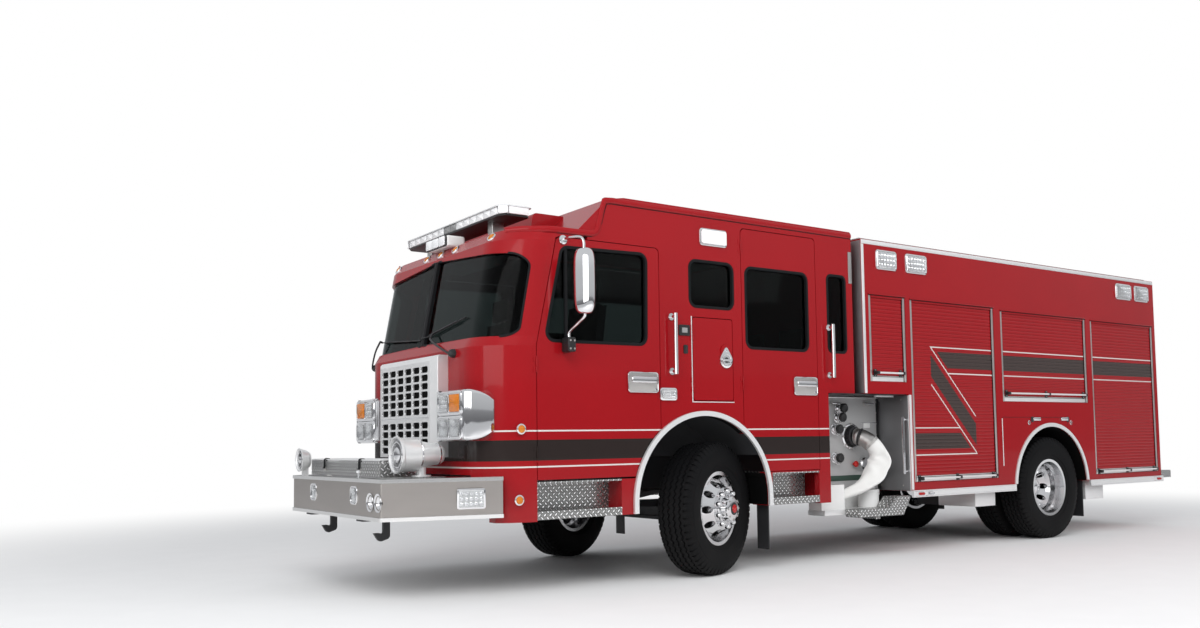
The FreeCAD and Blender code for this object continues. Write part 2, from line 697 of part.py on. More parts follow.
def make_underbody():
    """Fuel tank, boxes hung from the rails, silencer and tailpipe, and mud flaps."""
    low = RAIL_TOP - RAIL_DEPTH
    out = RAIL_OUT_Y
    pieces = []
    tank = box(AXLE_R - 1750, AXLE_R - 950, -out + 30, out - 30, 430, low)
    pieces.append(tank)
    for front, rear, bottom in ((AXLE_R + 1220, AXLE_R + 900, 390), (AXLE_R - 750, AXLE_R - 1100, 377)):
        case = box(rear, front, out - 10, 1150, bottom, BODY_BOTTOM)
        hanger = box(rear + 90, front - 90, out - 10, out + 2, BODY_BOTTOM, low)
        pieces.append(case.fuse(hanger))
        pieces.append(other_side(case.fuse(hanger)))
    y = -out - 170
    z = 540
    silencer = rod(V(CAB_REAR_LOW - 90, y, z), V(CAB_REAR_LOW - 700, y, z), 110)
    end = BODY_LOW_FRONT - 110
    tail = pipe([V(CAB_REAR_LOW - 690, y, z), V(end, y, z - 20), V(end, -1200, z - 40)], 50, 110)
    strap = box(CAB_REAR_LOW - 430, CAB_REAR_LOW - 370, y - 40, -out, z + 60, low + 60)
    pieces.append(fuse([silencer, tail, strap]))
    flaps = [
        box(STEP_REAR[1] + RUN_GAP, STEP_REAR[1] + FLAP_THICK, STEP_INNER_Y, 1140, 165, CAB_BOTTOM + 10 - RUN_GAP),
        box(AXLE_R - FLAP_BACK - FLAP_THICK, AXLE_R - FLAP_BACK, 740, 1150, 190, BODY_BOTTOM - RUN_GAP),
    ]
    for flap in flaps:
        pieces += [flap, other_side(flap)]
    return Part.makeCompound(pieces)


# Cab

def split_cab():
    """The cab's walls as front, sides, roof and rear, with their openings cut."""
    walls = cab_solid(0).cut(cab_solid(CAB_WALL, CAB_BOTTOM - 50))
    ceiling = under_ceiling()
    inner = CAB_HALF - CAB_WALL
    door_f = side_prism(front_door_outline(0), inner - 1, CAB_HALF + 1)
    roof = walls.cut(ceiling)
    rest = walls.common(ceiling)
    seam = side_prism([
        (FRONT_DOOR_X, 300), (FRONT_DOOR_X, DOOR_KNEE_Z), (FRONT_DOOR_TOP_X, FRONT_DOOR_TOP + 5),
        (FRONT_DOOR_TOP_X, 3000), (NOSE_X, 3000), (NOSE_X, 300),
    ], -BODY_HALF, BODY_HALF)
    front = rest.common(seam)
    back = rest.cut(seam)
    side = back.common(box(0, FRONT_DOOR_REAR, inner, CAB_HALF, 0, HIGH_ROOF))
    over_door = back.common(box(FRONT_DOOR_REAR, RAISE_FRONT - 100, inner, CAB_HALF, FRONT_DOOR_TOP - 60, HIGH_ROOF))
    side = side.fuse(over_door.cut(door_f))
    rear = back.common(box(0, CAB_REAR_LOW + CAB_WALL, -inner, inner, 0, HIGH_ROOF))
    roof = roof.cut(door_f).cut(other_side(door_f))
    pod = side_prism([
        (RAISE_REAR - 60, LOW_ROOF - 20), (POD_FRONT + 40, LOW_ROOF - 20), (POD_FRONT, POD_TOP, 40),
        (RAISE_REAR - 60, POD_TOP),
    ], -POD_HALF, POD_HALF)
    pod = pod.cut(cab_solid(0))
    roof = roof.fuse(pod)
    screen = front_prism(SCREEN_PANE, CAB_NOSE - 600, NOSE_X)
    front = front.cut(screen).cut(other_side(screen))
    front = front.cut(box(CAB_NOSE - 300, NOSE_X, -900, 900, 300, BUMPER_TOP + 8))
    front = front.cut(box(BUMPER_BACK + 5, NOSE_X, -BODY_HALF, BODY_HALF, 300, BUMPER_BOTTOM + 30))
    front = front.cut(box(CAB_NOSE - 100, NOSE_X, -GRILLE_HALF + 30, GRILLE_HALF - 30, GRILLE_BOTTOM + 30,
                          GRILLE_TOP - 62))
    for outline in (rear_door_outline(0), MIDDLE_WINDOW, CORNER_WINDOW, locker_outline(0)):
        side = side.cut(side_prism(outline, inner - 20, CAB_HALF + 20))
    side = side.cut(front_arch(ARCH_F_R, inner - 20, CAB_HALF + 20))
    side = side.cut(box(STEP_REAR[0], STEP_REAR[1] + REAR_SILL, inner - 20, CAB_HALF + 20, 300, DOOR_BOTTOM))
    rear = rear.cut(box(0, CAB_REAR_LOW + 100, -450, 450, 0, RAIL_TOP + 5))
    return front, side, roof, rear


STEP_FRONT = (AXLE_F + 905.0, FRONT_DOOR_X)
STEP_REAR = (AXLE_F - 1200.0, AXLE_F - 645.0)
STEP_INNER_Y = 1000.0
PUMP_STEP_Y = 1065.0
STEP_TOP = 812.0
REAR_SILL = 95.0
FRONT_SILL = 180.0


def sill(x0, x1):
    """The painted block between a step and the wheel arch."""
    block = box(x0, x1, STEP_INNER_Y, CAB_HALF, CAB_BOTTOM + 10, STEP_TOP)
    return block.cut(front_arch(ARCH_F_R, STEP_INNER_Y - 1, CAB_HALF + 1))


def hinge(x, y, z, length, side=1):
    """A butt hinge standing on an outer face at y: the fixed part and the moving part."""
    third = length / 3
    axis_y = y + side * HINGE_R
    pin = cyl_z(x, axis_y, z, z + length, HINGE_PIN_R)
    fixed = [pin]
    for start in (z, z + 2 * third):
        fixed.append(cyl_z(x, axis_y, start, start + third, HINGE_R))
        fixed.append(box(x, x + 28, y, y + side * HINGE_LEAF, start, start + third))
    low = z + third + RUN_GAP
    high = z + 2 * third - RUN_GAP
    leaf = box(x - 30, x, y, y + side * HINGE_LEAF, low, high)
    moving = cyl_z(x, axis_y, low, high, HINGE_R).fuse(leaf)
    moving = moving.cut(cyl_z(x, axis_y, z, z + length, HINGE_PIN_R + RUN_GAP))
    return fuse(fixed), moving


HINGE_LENGTH = 120.0
FRONT_HINGE_Z = (950.0, 1600.0)
REAR_HINGE_Z = (1500.0, 2650.0)
LOCKER_HINGE_Z = (1480.0, 1900.0)


def door_stops():
    """The lips behind the doors' closing edges, fixed to the panel beside each."""
    inner = CAB_HALF - CAB_WALL
    edges = (
        (FRONT_DOOR_REAR, ARCH_F_Z + WELL_R + 30, FRONT_DOOR_TOP - 35),
        (REAR_DOOR_REAR, DOOR_BOTTOM + 20, REAR_DOOR_TOP - 30),
        (LOCKER_REAR, LOCKER_BOTTOM + 20, LOCKER_TOP - 20),
    )
    return [box(x - 22, x + 14, inner - 14, inner, z0, z1) for x, z0, z1 in edges]


def make_cab_front(front):
    parts = [front]
    for z in FRONT_HINGE_Z:
        part = hinge(FRONT_DOOR_X - DOOR_GAP / 2, CAB_HALF, z, HINGE_LENGTH)[0]
        parts += [part, other_side(part)]
    return fuse(parts)


def make_cab_sides(side):
    parts = [side]
    parts += [hinge(REAR_DOOR_X - DOOR_GAP / 2, CAB_HALF, z, HINGE_LENGTH)[0] for z in REAR_HINGE_Z]
    parts += [hinge(LOCKER_FRONT - DOOR_GAP / 2, CAB_HALF, z, HINGE_LENGTH)[0] for z in LOCKER_HINGE_Z]
    parts += door_stops()
    inner = CAB_HALF - CAB_WALL
    flange = front_arch(ARCH_F_R + ARCH_TRIM, inner, CAB_HALF).cut(front_arch(ARCH_F_R, inner - 1, CAB_HALF + 1))
    parts.append(flange.common(box(FRONT_DOOR_REAR, NOSE_X, 0, CAB_HALF, STEP_TOP - 5, 3000)))
    parts.append(sill(STEP_FRONT[0] - FRONT_SILL, STEP_FRONT[0]))
    rear_sill = sill(STEP_REAR[1], STEP_REAR[1] + REAR_SILL)
    lintel = box(STEP_REAR[0], STEP_REAR[1] + REAR_SILL, inner, CAB_HALF, STEP_TOP - 1, DOOR_BOTTOM)
    parts.append(rear_sill.fuse(lintel.cut(front_arch(ARCH_F_R, inner - 1, CAB_HALF + 1))))
    return both_sides(fuse(parts).cut(step_box(*STEP_REAR)))


def make_cab_interior():
    """Floor, wheel housings, engine cover, dash, seats, lockers and steering wheel."""
    inner = CAB_HALF - CAB_WALL
    rear = CAB_REAR_LOW + CAB_WALL
    front = CAB_NOSE - CAB_WALL - 25
    under = box(rear, FRONT_DOOR_X, -inner, inner, FLOOR_Z, FLOOR_Z + FLOOR_THICK)
    nose = box(FRONT_DOOR_X, front, -850, 850, FLOOR_Z, FLOOR_Z + FLOOR_THICK)
    floor = fuse([under, nose])
    pieces = []
    for side in (1, -1):
        y0 = side * (TUNNEL_HALF + 12)
        y1 = side * inner
        housing = cyl_y(ARCH_F_X - WELL_BACK, y0, y1, ARCH_F_Z, WELL_R + 18)
        housing = housing.common(box(0, NOSE_X, y0, y1, RAIL_TOP + 4, 2000))
        pieces.append(housing)
    tunnel = box(AXLE_F - 440, front, -TUNNEL_HALF, TUNNEL_HALF, FLOOR_Z, TUNNEL_TOP)
    pieces += [tunnel, dash()]
    for side in (1, -1):
        for x, y, z in seat_places():
            pieces.append(box(x + 40, x + 420, side * y - 200, side * y + 200, z - 5, z + 160))
        pieces.append(box(AXLE_F + 905, AXLE_F + 1420, side * 480, side * 960, FLOOR_Z, 1360))
        pieces.append(box(LOCKER_REAR - 20, LOCKER_FRONT + 20, side * (inner - LOCKER_DEPTH), side * inner,
                          LOCKER_BOTTOM - 75, LOCKER_TOP + 20))
    whole = fuse([floor] + pieces)
    whole = whole.cut(box(AXLE_F - 425, front + 1, -TUNNEL_HALF + 15, TUNNEL_HALF - 15, 0, TUNNEL_TOP - 15))
    for side in (1, -1):
        y0 = side * (TUNNEL_HALF + 30)
        y1 = side * (inner + 1)
        whole = whole.cut(cyl_y(ARCH_F_X - WELL_BACK, y0, y1, ARCH_F_Z, WELL_R))
        whole = whole.cut(box(LOCKER_REAR - 5, LOCKER_FRONT + 5, side * (inner - LOCKER_DEPTH + 15),
                              side * (inner + 1), LOCKER_BOTTOM - 5, LOCKER_TOP + 5))
    for stop in door_stops():
        whole = whole.cut(stop).cut(other_side(stop))
    return Part.makeCompound([whole, steering_wheel()])


def dash():
    return side_prism([
        (CAB_NOSE - 560, 1560), (CAB_NOSE - 620, 1780, 40), (CAB_NOSE - 420, 1850, 40), (CAB_NOSE - 240, 1800),
        (CAB_NOSE - 240, 1560),
    ], -900, 900)


def seat_places():
    """Where the left seats stand: the back of the cushion, the middle and the height of the base."""
    return [
        (AXLE_F + 920, 720, 1345), (AXLE_F - 1190, 870, FLOOR_Z + FLOOR_THICK), (AXLE_F - 1190, 320, FLOOR_Z + FLOOR_THICK),
    ]


def seat(x, y, z):
    """A seat's cushion, back and headrest; x is the back of the cushion."""
    cushion = side_prism([
        (x, z + 160, 20), (x + 480, z + 160, 20), (x + 490, z + 290, 50), (x, z + 260, 20),
    ], y - 240, y + 240)
    back = side_prism([
        (x - 10, z + 200, 20), (x + 110, z + 220, 20), (x + 30, z + 850, 40), (x - 90, z + 850, 40),
    ], y - 230, y + 230)
    head = side_prism([
        (x - 80, z + 855, 20), (x + 20, z + 855, 20), (x, z + 1060, 30), (x - 80, z + 1060, 30),
    ], y - 150, y + 150)
    return fuse([cushion, back, head.fuse(box(x - 60, x, y - 60, y + 60, z + 800, z + 900))])


def make_seats():
    """The soft parts of all six seats."""
    return Part.makeCompound([both_sides(seat(x, y, z)) for x, y, z in seat_places()])


def steering_wheel():
    """A rim on spokes and a column that ends in the dash, on the left."""
    centre = V(CAB_NOSE - 700, 720, 1850)
    lean = V(-0.62, 0, 0.78)
    rim = Part.makeTorus(225, 16, centre, lean)
    column = rod(centre - lean * 20, centre - lean * 250, 28)
    hub = rod(centre - lean * 25, centre + lean * 10, 60)
    spokes = [rod(centre, centre + V(0, side * 222, 0), 12) for side in (1, -1)]
    foot = rod(centre, centre - V(0.78, 0, 0.62) * 222, 12)
    return fuse([rim, column, hub, foot] + spokes).cut(dash())


def make_cab_glass():
    """Both windscreen panes and the fixed side windows."""
    layer = glass_layer()
    panes = [layer.common(front_prism(SCREEN_PANE, CAB_NOSE - 600, NOSE_X))]
    for outline in (MIDDLE_WINDOW, CORNER_WINDOW):
        panes.append(layer.common(side_prism(outline, CAB_HALF - CAB_WALL, CAB_HALF)))
    return Part.makeCompound([both_sides(pane) for pane in panes])


def handle_plate(x0, x1, z0, z1):
    """A door handle: a plate with a paddle, standing on the door's skin."""
    plate = side_prism([(x0, z0, 25), (x1, z0, 25), (x1, z1, 25), (x0, z1, 25)], CAB_HALF - 5, CAB_HALF + 8)
    grip_z = z0 + (z1 - z0) * 0.62
    grip = box(x0 + 35, x1 - 35, CAB_HALF, CAB_HALF + 30, grip_z - 22, grip_z + 22)
    return plate.fuse(grip)


def cab_door(outline, window, hinge_x, hinge_heights, handle):
    """A left door: the whole wall's thickness, its window cut, with hinges and handle."""
    inner = CAB_HALF - CAB_WALL + RUN_GAP
    slab = side_prism(outline, inner, CAB_HALF)
    slab = slab.cut(front_arch(ARCH_F_R + ARCH_TRIM + DOOR_GAP, inner - 1, CAB_HALF + 1))
    if window:
        slab = slab.cut(side_prism(window, inner - 1, CAB_HALF + 1))
    slab = fuse([slab, handle] + [hinge(hinge_x, CAB_HALF, z, HINGE_LENGTH)[1] for z in hinge_heights])
    for z in hinge_heights:
        fixed_leaf = box(hinge_x - HINGE_R - 1, hinge_x + 30, CAB_HALF, CAB_HALF + 2 * HINGE_R + 1, z - 1, z)
        slab = slab.cut(fixed_leaf)
    return slab


def door_pane(window):
    return side_prism(window, CAB_HALF - GLASS_INSET - GLASS_THICK, CAB_HALF - GLASS_INSET)


def make_front_door():
    handle = handle_plate(AXLE_F + 548, AXLE_F + 842, 1468, 1629)
    return cab_door(front_door_outline(DOOR_GAP), FRONT_DOOR_WINDOW, FRONT_DOOR_X - DOOR_GAP / 2,
                    FRONT_HINGE_Z, handle)


def make_rear_door():
    handle = handle_plate(AXLE_F - 1200, AXLE_F - 912, 1471, 1632)
    return cab_door(rear_door_outline(DOOR_GAP), REAR_DOOR_WINDOW, REAR_DOOR_X - DOOR_GAP / 2,
                    REAR_HINGE_Z, handle)


def make_locker_door():
    latch_x = LOCKER_REAR + 80
    latch = cyl_y(latch_x, CAB_HALF - 5, CAB_HALF + 9, 1825, 55)
    return cab_door(locker_outline(DOOR_GAP), None, LOCKER_FRONT - DOOR_GAP / 2, LOCKER_HINGE_Z, latch)


# Front end

def bumper_outline(inset):
    front = NOSE_X - inset
    half = BUMPER_HALF - inset * 0.8
    back = CAB_HALF - inset
    return [(BUMPER_BACK, -back), (front, -half, 12), (front, half, 12), (BUMPER_BACK, back)]


TRAY_RIGHT = -975.0
TRAY_LEFT = 500.0


def make_front_bumper():
    """The formed bumper with its rolled lips, deck, lamp holes and hose tray."""
    shell = plan_prism(bumper_outline(BUMPER_LIP), BUMPER_BOTTOM, BUMPER_TOP)
    shell = shell.cut(plan_prism(bumper_outline(BUMPER_LIP + BUMPER_WALL), 0, 1000))
    shapes = [shell]
    for z0, z1 in ((BUMPER_BOTTOM, BUMPER_BOTTOM + 26), (BUMPER_TOP - 26, BUMPER_TOP)):
        lip = plan_prism(bumper_outline(0), z0, z1).cut(plan_prism(bumper_outline(BUMPER_LIP + 5), 0, 1000))
        shapes.append(lip)
    deck = plan_prism(bumper_outline(BUMPER_LIP + 5), BUMPER_TOP - BUMPER_DECK, BUMPER_TOP)
    deck = deck.cut(cab_solid(-1.0, 400))
    deck = deck.fuse(box(CAB_NOSE - CAB_WALL - 10, CAB_NOSE + 5, -890, 890, BUMPER_TOP - BUMPER_DECK, BUMPER_TOP))
    shapes.append(deck)
    tray_x0 = NOSE_X - 452
    tray_x1 = NOSE_X - 172
    tray = box(tray_x0, tray_x1, TRAY_RIGHT, TRAY_LEFT, BUMPER_TOP - 5, 985)
    tray = tray.cut(box(tray_x0 + 12, tray_x1 - 12, TRAY_RIGHT + 12, TRAY_LEFT - 12, BUMPER_TOP + 5, 973))
    shapes.append(tray)
    whole = fuse(shapes)
    face = NOSE_X - BUMPER_LIP
    for y in (-432, 432):
        whole = whole.cut(box(face - 18, face + 20, y - 62, y + 62, 680, 800))
    for y in (743, 887):
        whole = whole.cut(rod(V(face - 20, y, 700), V(face + 20, y, 700), 46))
    return whole


def make_tow_hooks():
    """Two tow hooks under the bumper, each bolted through its plate."""
    shapes = []
    for y in (-540, 540):
        hook = side_prism([
            (NOSE_X - 230, BUMPER_BOTTOM - 12), (NOSE_X - 230, 430, 30), (NOSE_X - 150, 405, 30), (NOSE_X - 110, 470),
            (NOSE_X - 150, 470), (NOSE_X - 180, 460, 12), (NOSE_X - 180, BUMPER_BOTTOM - 12),
        ], y - 14, y + 14)
        plate = box(NOSE_X - 280, NOSE_X - 8, y - 60, y + 60, BUMPER_BOTTOM - 14, BUMPER_BOTTOM)
        shapes.append(hook.fuse(plate))
    return Part.makeCompound(shapes)


def make_sirens():
    """The big siren on its post and the small round horn, both facing forward."""
    x = AXLE_F + 2488
    y = 670
    z = 1022
    body = turned_x([
        (-350, 0), (-350, 58), (-332, 70), (-300, 76), (-165, 100), (-150, 118), (-22, 124), (-10, 133), (6, 133),
        (6, 122), (-14, 112), (-24, 60), (-12, 40), (-6, 0),
    ], x, y, z)
    post = cyl_z(x - 190, y, BUMPER_TOP, z - 60, 34)
    foot = cyl_z(x - 190, y, BUMPER_TOP, BUMPER_TOP + 14, 70)
    siren = fuse([body, post, foot])
    hx = NOSE_X - 30
    hy = -850
    hz = 985
    horn = turned_x([(-78, 0), (-78, 60), (-50, 78), (-8, 90), (0, 95), (5, 95), (5, 84), (-30, 58), (-30, 0)],
                    hx, hy, hz)
    stand = box(hx - 66, hx - 26, hy - 25, hy + 25, BUMPER_TOP, hz - 60)
    return Part.makeCompound([siren, horn.fuse(stand)])


def make_grille():
    """The bright grille shell, its cells open to the radiator."""
    back = CAB_NOSE
    plan = [
        (back, -GRILLE_FLANGE_HALF), (GRILLE_X - 28, -GRILLE_FLANGE_HALF, 6), (GRILLE_X, -GRILLE_HALF, 10),
        (GRILLE_X, GRILLE_HALF, 10), (GRILLE_X - 28, GRILLE_FLANGE_HALF, 6), (back, GRILLE_FLANGE_HALF),
    ]
    shell = plan_prism(plan, GRILLE_BOTTOM, GRILLE_TOP)
    shell = shell.cut(side_prism([
        (GRILLE_X - 45, GRILLE_TOP + 1), (GRILLE_X + 1, GRILLE_TOP - 45), (GRILLE_X + 1, GRILLE_TOP + 1),
    ], -BODY_HALF, BODY_HALF))
    hollow = box(back - 1, GRILLE_X - GRILLE_SKIN, -GRILLE_HALF + 12, GRILLE_HALF - 12, GRILLE_BOTTOM + 20,
                 GRILLE_TOP - 62)
    shell = shell.cut(hollow)
    rows = [CELLS_BELOW_Z + CELL_PITCH_Z * i for i in range(CELLS_BELOW)]
    rows += [CELLS_ABOVE_Z + CELL_PITCH_Z * i for i in range(CELLS_ABOVE)]
    cells = []
    for column in range(CELL_COLUMNS):
        y = (column - (CELL_COLUMNS - 1) / 2) * CELL_PITCH_Y
        for z in rows:
            half = CELL_WIDTH / 2
            rise = CELL_HEIGHT / 2
            cells.append(front_prism([
                (y - half, z - rise, CELL_R), (y + half, z - rise, CELL_R), (y + half, z + rise, CELL_R),
                (y - half, z + rise, CELL_R),
            ], GRILLE_X - GRILLE_SKIN - 5, GRILLE_X + 5))
    return shell.cut(Part.makeCompound(cells))


LAMP_X = AXLE_F + 2150.0
LAMP_INNER_Y = 595.0
LAMP_BOTTOM = 1114.0
LAMP_TOP = 1483.0


def make_headlights():
    """The bright lamp housings that wrap the cab's corners, each with two stacked modules."""
    plan = [
        (CAB_NOSE - 130, LAMP_INNER_Y), (LAMP_X, LAMP_INNER_Y, 15), (LAMP_X, 1030, 30),
        (CAB_NOSE + 20, 1096, 60), (CAB_NOSE - 100, 1085), (CAB_NOSE - 130, 1000),
    ]
    housing = plan_prism(plan, LAMP_BOTTOM, LAMP_TOP).cut(cab_solid(0))
    housing = housing.common(side_prism([
        (CAB_NOSE - 104, LAMP_BOTTOM, 60), (LAMP_X + 5, LAMP_BOTTOM), (LAMP_X + 5, LAMP_TOP), (CAB_NOSE - 104, LAMP_TOP, 60),
    ], 0, BODY_HALF))
    for z in (1132, 1310):
        pocket = box(LAMP_X - 16, LAMP_X + 5, 625, 1000, z, z + 155)
        housing = housing.cut(pocket)
        for y in (710, 905):
            housing = housing.fuse(rod(V(LAMP_X - 20, y, z + 78), V(LAMP_X - 6, y, z + 78), 68))
    return both_sides(housing)


def make_lamps():
    """Light bar on its feet, brow light, side lamps and rear lamps."""
    bar_x = AXLE_F + 1765
    bar = plan_prism([
        (bar_x - 285, -895, 30), (bar_x - 60, -895, 40), (bar_x, -830, 40), (bar_x, 830, 40), (bar_x - 60, 895, 40),
        (bar_x - 285, 895, 30),
    ], 2803, 2883)
    feet = [box(bar_x - 190, bar_x - 90, y - 40, y + 40, LOW_ROOF, 2810) for y in (-560, 560)]
    shapes = [fuse([bar] + feet)]
    brow = box(CAB_NOSE - 330, CAB_NOSE - 150, -190, 190, LOW_ROOF, 2760)
    shapes.append(brow)
    low = BODY_TOP - 270
    high = BODY_TOP - 80
    side = [
        (AXLE_F + 204, AXLE_F - 92, 2686, 2821, CAB_HALF),
        (AXLE_F + 539, AXLE_F + 366, 1408, 1513, CAB_HALF),
        (BODY_FRONT - 190, BODY_FRONT - 475, low, high, BODY_HALF),
        (BODY_FRONT - 603, BODY_FRONT - 910, low, high, BODY_HALF),
        (BODY_REAR + 840, BODY_REAR + 520, low, high, BODY_HALF),
        (BODY_REAR + 440, BODY_REAR + 140, low, high, BODY_HALF),
    ]
    for x0, x1, z0, z1, out in side:
        lamp = side_prism([(x0, z0, 25), (x1, z0, 25), (x1, z1, 25), (x0, z1, 25)], out, out + 32)
        shapes += [lamp, other_side(lamp)]
    for z in (1250, 1420, 1590):
        lamp = box(BODY_REAR - 28, BODY_REAR, 960, 1130, z, z + 150)
        shapes += [lamp, other_side(lamp)]
    return Part.makeCompound(shapes)


MIRROR_X = AXLE_F + 1370.0
MIRROR_Y = (1335.0, 1510.0)
MIRROR_Z = (2015.0, 2496.0)


def make_mirror():
    """The left mirror on its two arms, carried by the front door."""
    y0, y1 = MIRROR_Y
    z0, z1 = MIRROR_Z
    shell = front_prism([(y0, z0, 55), (y1, z0, 55), (y1, z1, 55), (y0, z1, 55)], MIRROR_X - 50, MIRROR_X + 50)
    rims = [edge for edge in shell.Edges if edge.CenterOfMass.x > MIRROR_X + 49]
    shell = shell.makeFillet(34, rims)
    middle = (y0 + y1) / 2
    upper = pipe([V(MIRROR_X + 40, CAB_HALF + RUN_GAP, 2590), V(MIRROR_X + 40, CAB_HALF + 90, 2590),
                  V(MIRROR_X, middle, 2560), V(MIRROR_X, middle, z1 - 20)], 11, 30)
    lower = pipe([V(MIRROR_X + 25, CAB_HALF + 60, 1800), V(MIRROR_X + 20, middle, 1800),
                  V(MIRROR_X, middle, z0 + 20)], 11, 30)
    bracket = box(MIRROR_X - 5, MIRROR_X + 60, CAB_HALF + RUN_GAP, CAB_HALF + 110, 1750, 1830)
    bracket = bracket.fuse(box(MIRROR_X - 5, MIRROR_X + 60, CAB_HALF + RUN_GAP, CAB_HALF + 14, 1750, 1862))
    return fuse([shell, upper, lower, bracket])


def grab_rail(x, z0, z1, y):
    """An upright rail on two stand-offs."""
    out = y + 62
    rail = cyl_z(x, out, z0, z1, 16)
    ends = [cyl_y(x, y, out, z, 13) for z in (z0 + 25, z1 - 25)]
    feet = [cyl_y(x, y, y + 8, z, 28) for z in (z0 + 25, z1 - 25)]
    return fuse([rail] + ends + feet)


def make_grab_rails():
    rails = [
        grab_rail(AXLE_F + 410, 1616, 2100, CAB_HALF),
        grab_rail(AXLE_F - 1356, 1630, 2105, CAB_HALF),
    ]
    tail = rod(V(BODY_REAR - 62, 820, 1000), V(BODY_REAR - 62, 820, 2300), 16)
    knobs = [rod(V(BODY_REAR - 62, 820, z), V(BODY_REAR, 820, z), 13) for z in (1040, 1650, 2260)]
    rails.append(fuse([tail] + knobs))
    return Part.makeCompound([both_sides(rail) for rail in rails])


def step_box(x0, x1):
    """A step below a door: a riser plate and a tread with a turned-up lip."""
    y0 = STEP_INNER_Y
    y1 = CAB_HALF
    riser = box(x0, x1, y0, y0 + 12, CAB_BOTTOM + 10, STEP_TOP)
    tread = box(x0, x1, y0, y1, CAB_BOTTOM + 10, CAB_BOTTOM + 28)
    lip = box(x0, x1, y1 - 14, y1, CAB_BOTTOM + 10, CAB_BOTTOM + 70)
    arm = box((x0 + x1) / 2 - 30, (x0 + x1) / 2 + 30, RAIL_OUT_Y, y0, RAIL_TOP - 190, RAIL_TOP - 150)
    top = box(x0, x1, y0, y1, STEP_TOP - 12, STEP_TOP)
    return fuse([riser, tread, lip, arm, top])


def make_steps():
    """Cab steps, the fold-down step under the pump panel and the tailboard."""
    shapes = [both_sides(step_box(*STEP_FRONT)), both_sides(step_box(*STEP_REAR))]
    mid = CAB_REAR_LOW - 335
    low = side_prism([
        (mid + 20, 380), (mid + 20, 451), (mid - 390, 451), (mid - 495, 548), (BODY_LOW_FRONT + 10, 548),
        (BODY_LOW_FRONT + 10, 528), (mid - 580, 375),
    ], PUMP_STEP_Y, BODY_HALF - 10)
    x0 = BODY_LOW_FRONT + 260
    arm = box(x0, x0 + 60, RAIL_OUT_Y, RAIL_OUT_Y + 370, 700, 760)
    drop = box(x0, x0 + 60, RAIL_OUT_Y + 330, RAIL_OUT_Y + 370, 340, 760)
    reach = box(x0, x0 + 60, RAIL_OUT_Y + 330, PUMP_STEP_Y + 10, 340, 385)
    pump_step = fuse([low, arm, drop, reach])
    shapes += [pump_step, other_side(pump_step)]
    tail = box(TAIL_X, BODY_REAR, -BODY_HALF, BODY_HALF, 570, 655)
    tail = tail.cut(box(TAIL_X + 8, BODY_REAR + 1, -BODY_HALF + 8, BODY_HALF - 8, 560, 647))
    low = RAIL_TOP - RAIL_DEPTH
    ties = [box(TAIL_X + 4, BODY_REAR + 140, y - 30, y + 30, 600, 650) for y in (-387, 387)]
    ties += [box(BODY_REAR + 90, BODY_REAR + 140, y - 30, y + 30, 600, low) for y in (-387, 387)]
    shapes.append(fuse([tail] + ties))
    return Part.makeCompound(shapes)


def make_side_trims():
    """Bright arch rings and the rub rails along the body's lower edge."""
    shapes = []
    ring = front_arch(ARCH_F_R + ARCH_TRIM, CAB_HALF - 40, CAB_HALF + ARCH_PROUD)
    ring = ring.cut(front_arch(ARCH_F_R, CAB_HALF - 60, CAB_HALF + 60))
    ring = ring.cut(box(0, NOSE_X, 0, BODY_HALF + 60, -500, CAB_BOTTOM + 12))
    ring = ring.cut(box(0, NOSE_X, 0, CAB_HALF, -500, 3000))
    shapes.append(ring)
    back = rear_arch(ARCH_R_R + ARCH_TRIM, BODY_HALF, BODY_HALF + 12)
    back = back.cut(rear_arch(ARCH_R_R, BODY_HALF - 60, BODY_HALF + 60))
    back = back.cut(box(AXLE_R - 900, AXLE_R + 900, 0, BODY_HALF + 60, -500, BODY_BOTTOM + 8))
    shapes.append(back)
    edge = AXLE_R + ARCH_R_R + ARCH_TRIM + 4
    shapes.append(box(edge, BODY_LOW_FRONT, BODY_HALF, BODY_HALF + 25, 530, 595))
    edge = AXLE_R - ARCH_R_R - ARCH_TRIM - 4
    shapes.append(box(BODY_REAR, edge, BODY_HALF, BODY_HALF + 25, 530, 595))
    return Part.makeCompound([both_sides(s) for s in shapes])


# Pump bay

def make_pump_panels():
    """The pump enclosure: a panel each side and plates front and rear that sit on the rails."""
    x0 = BODY_LOW_FRONT
    x1 = CAB_REAR_LOW - PUMP_GAP
    y = PUMP_PANEL_Y
    thick = PUMP_PANEL_THICK
    shapes = []
    for side in (1, -1):
        shapes.append(box(x0, x1, side * (y - thick), side * y, PUMP_BOTTOM, PUMP_TOP))
    for x in (x0, x1 - thick):
        plate = box(x, x + thick, -y, y, RAIL_TOP, PUMP_TOP)
        shapes.append(plate)
    shapes.append(box(x0, x1, -y, y, PUMP_TOP - 20, PUMP_TOP))
    whole = fuse(shapes)
    return whole.cut(rod(V(x0 - 10, 0, 850), V(x1 + 10, 0, 850), 70))


INLET_X = BODY_LOW_FRONT + 390
INLET_Z = 1112.0
ELBOW_KNEE = V(INLET_X - 25, PUMP_PANEL_Y + 140, INLET_Z - 7)
ELBOW_END = V(BODY_LOW_FRONT + 285, PUMP_PANEL_Y + 190, 1045)


def make_suction_elbow():
    """The left suction inlet's flange and the elbow that the hose is clamped on."""
    y = PUMP_PANEL_Y
    neck = turned_y([(0, 0), (0, 105), (18, 105), (18, 78), (70, 78), (70, 0)], INLET_X, y, INLET_Z)
    elbow = pipe([V(INLET_X, y + 60, INLET_Z), ELBOW_KNEE, ELBOW_END], 72, 80)
    return neck.fuse(elbow)


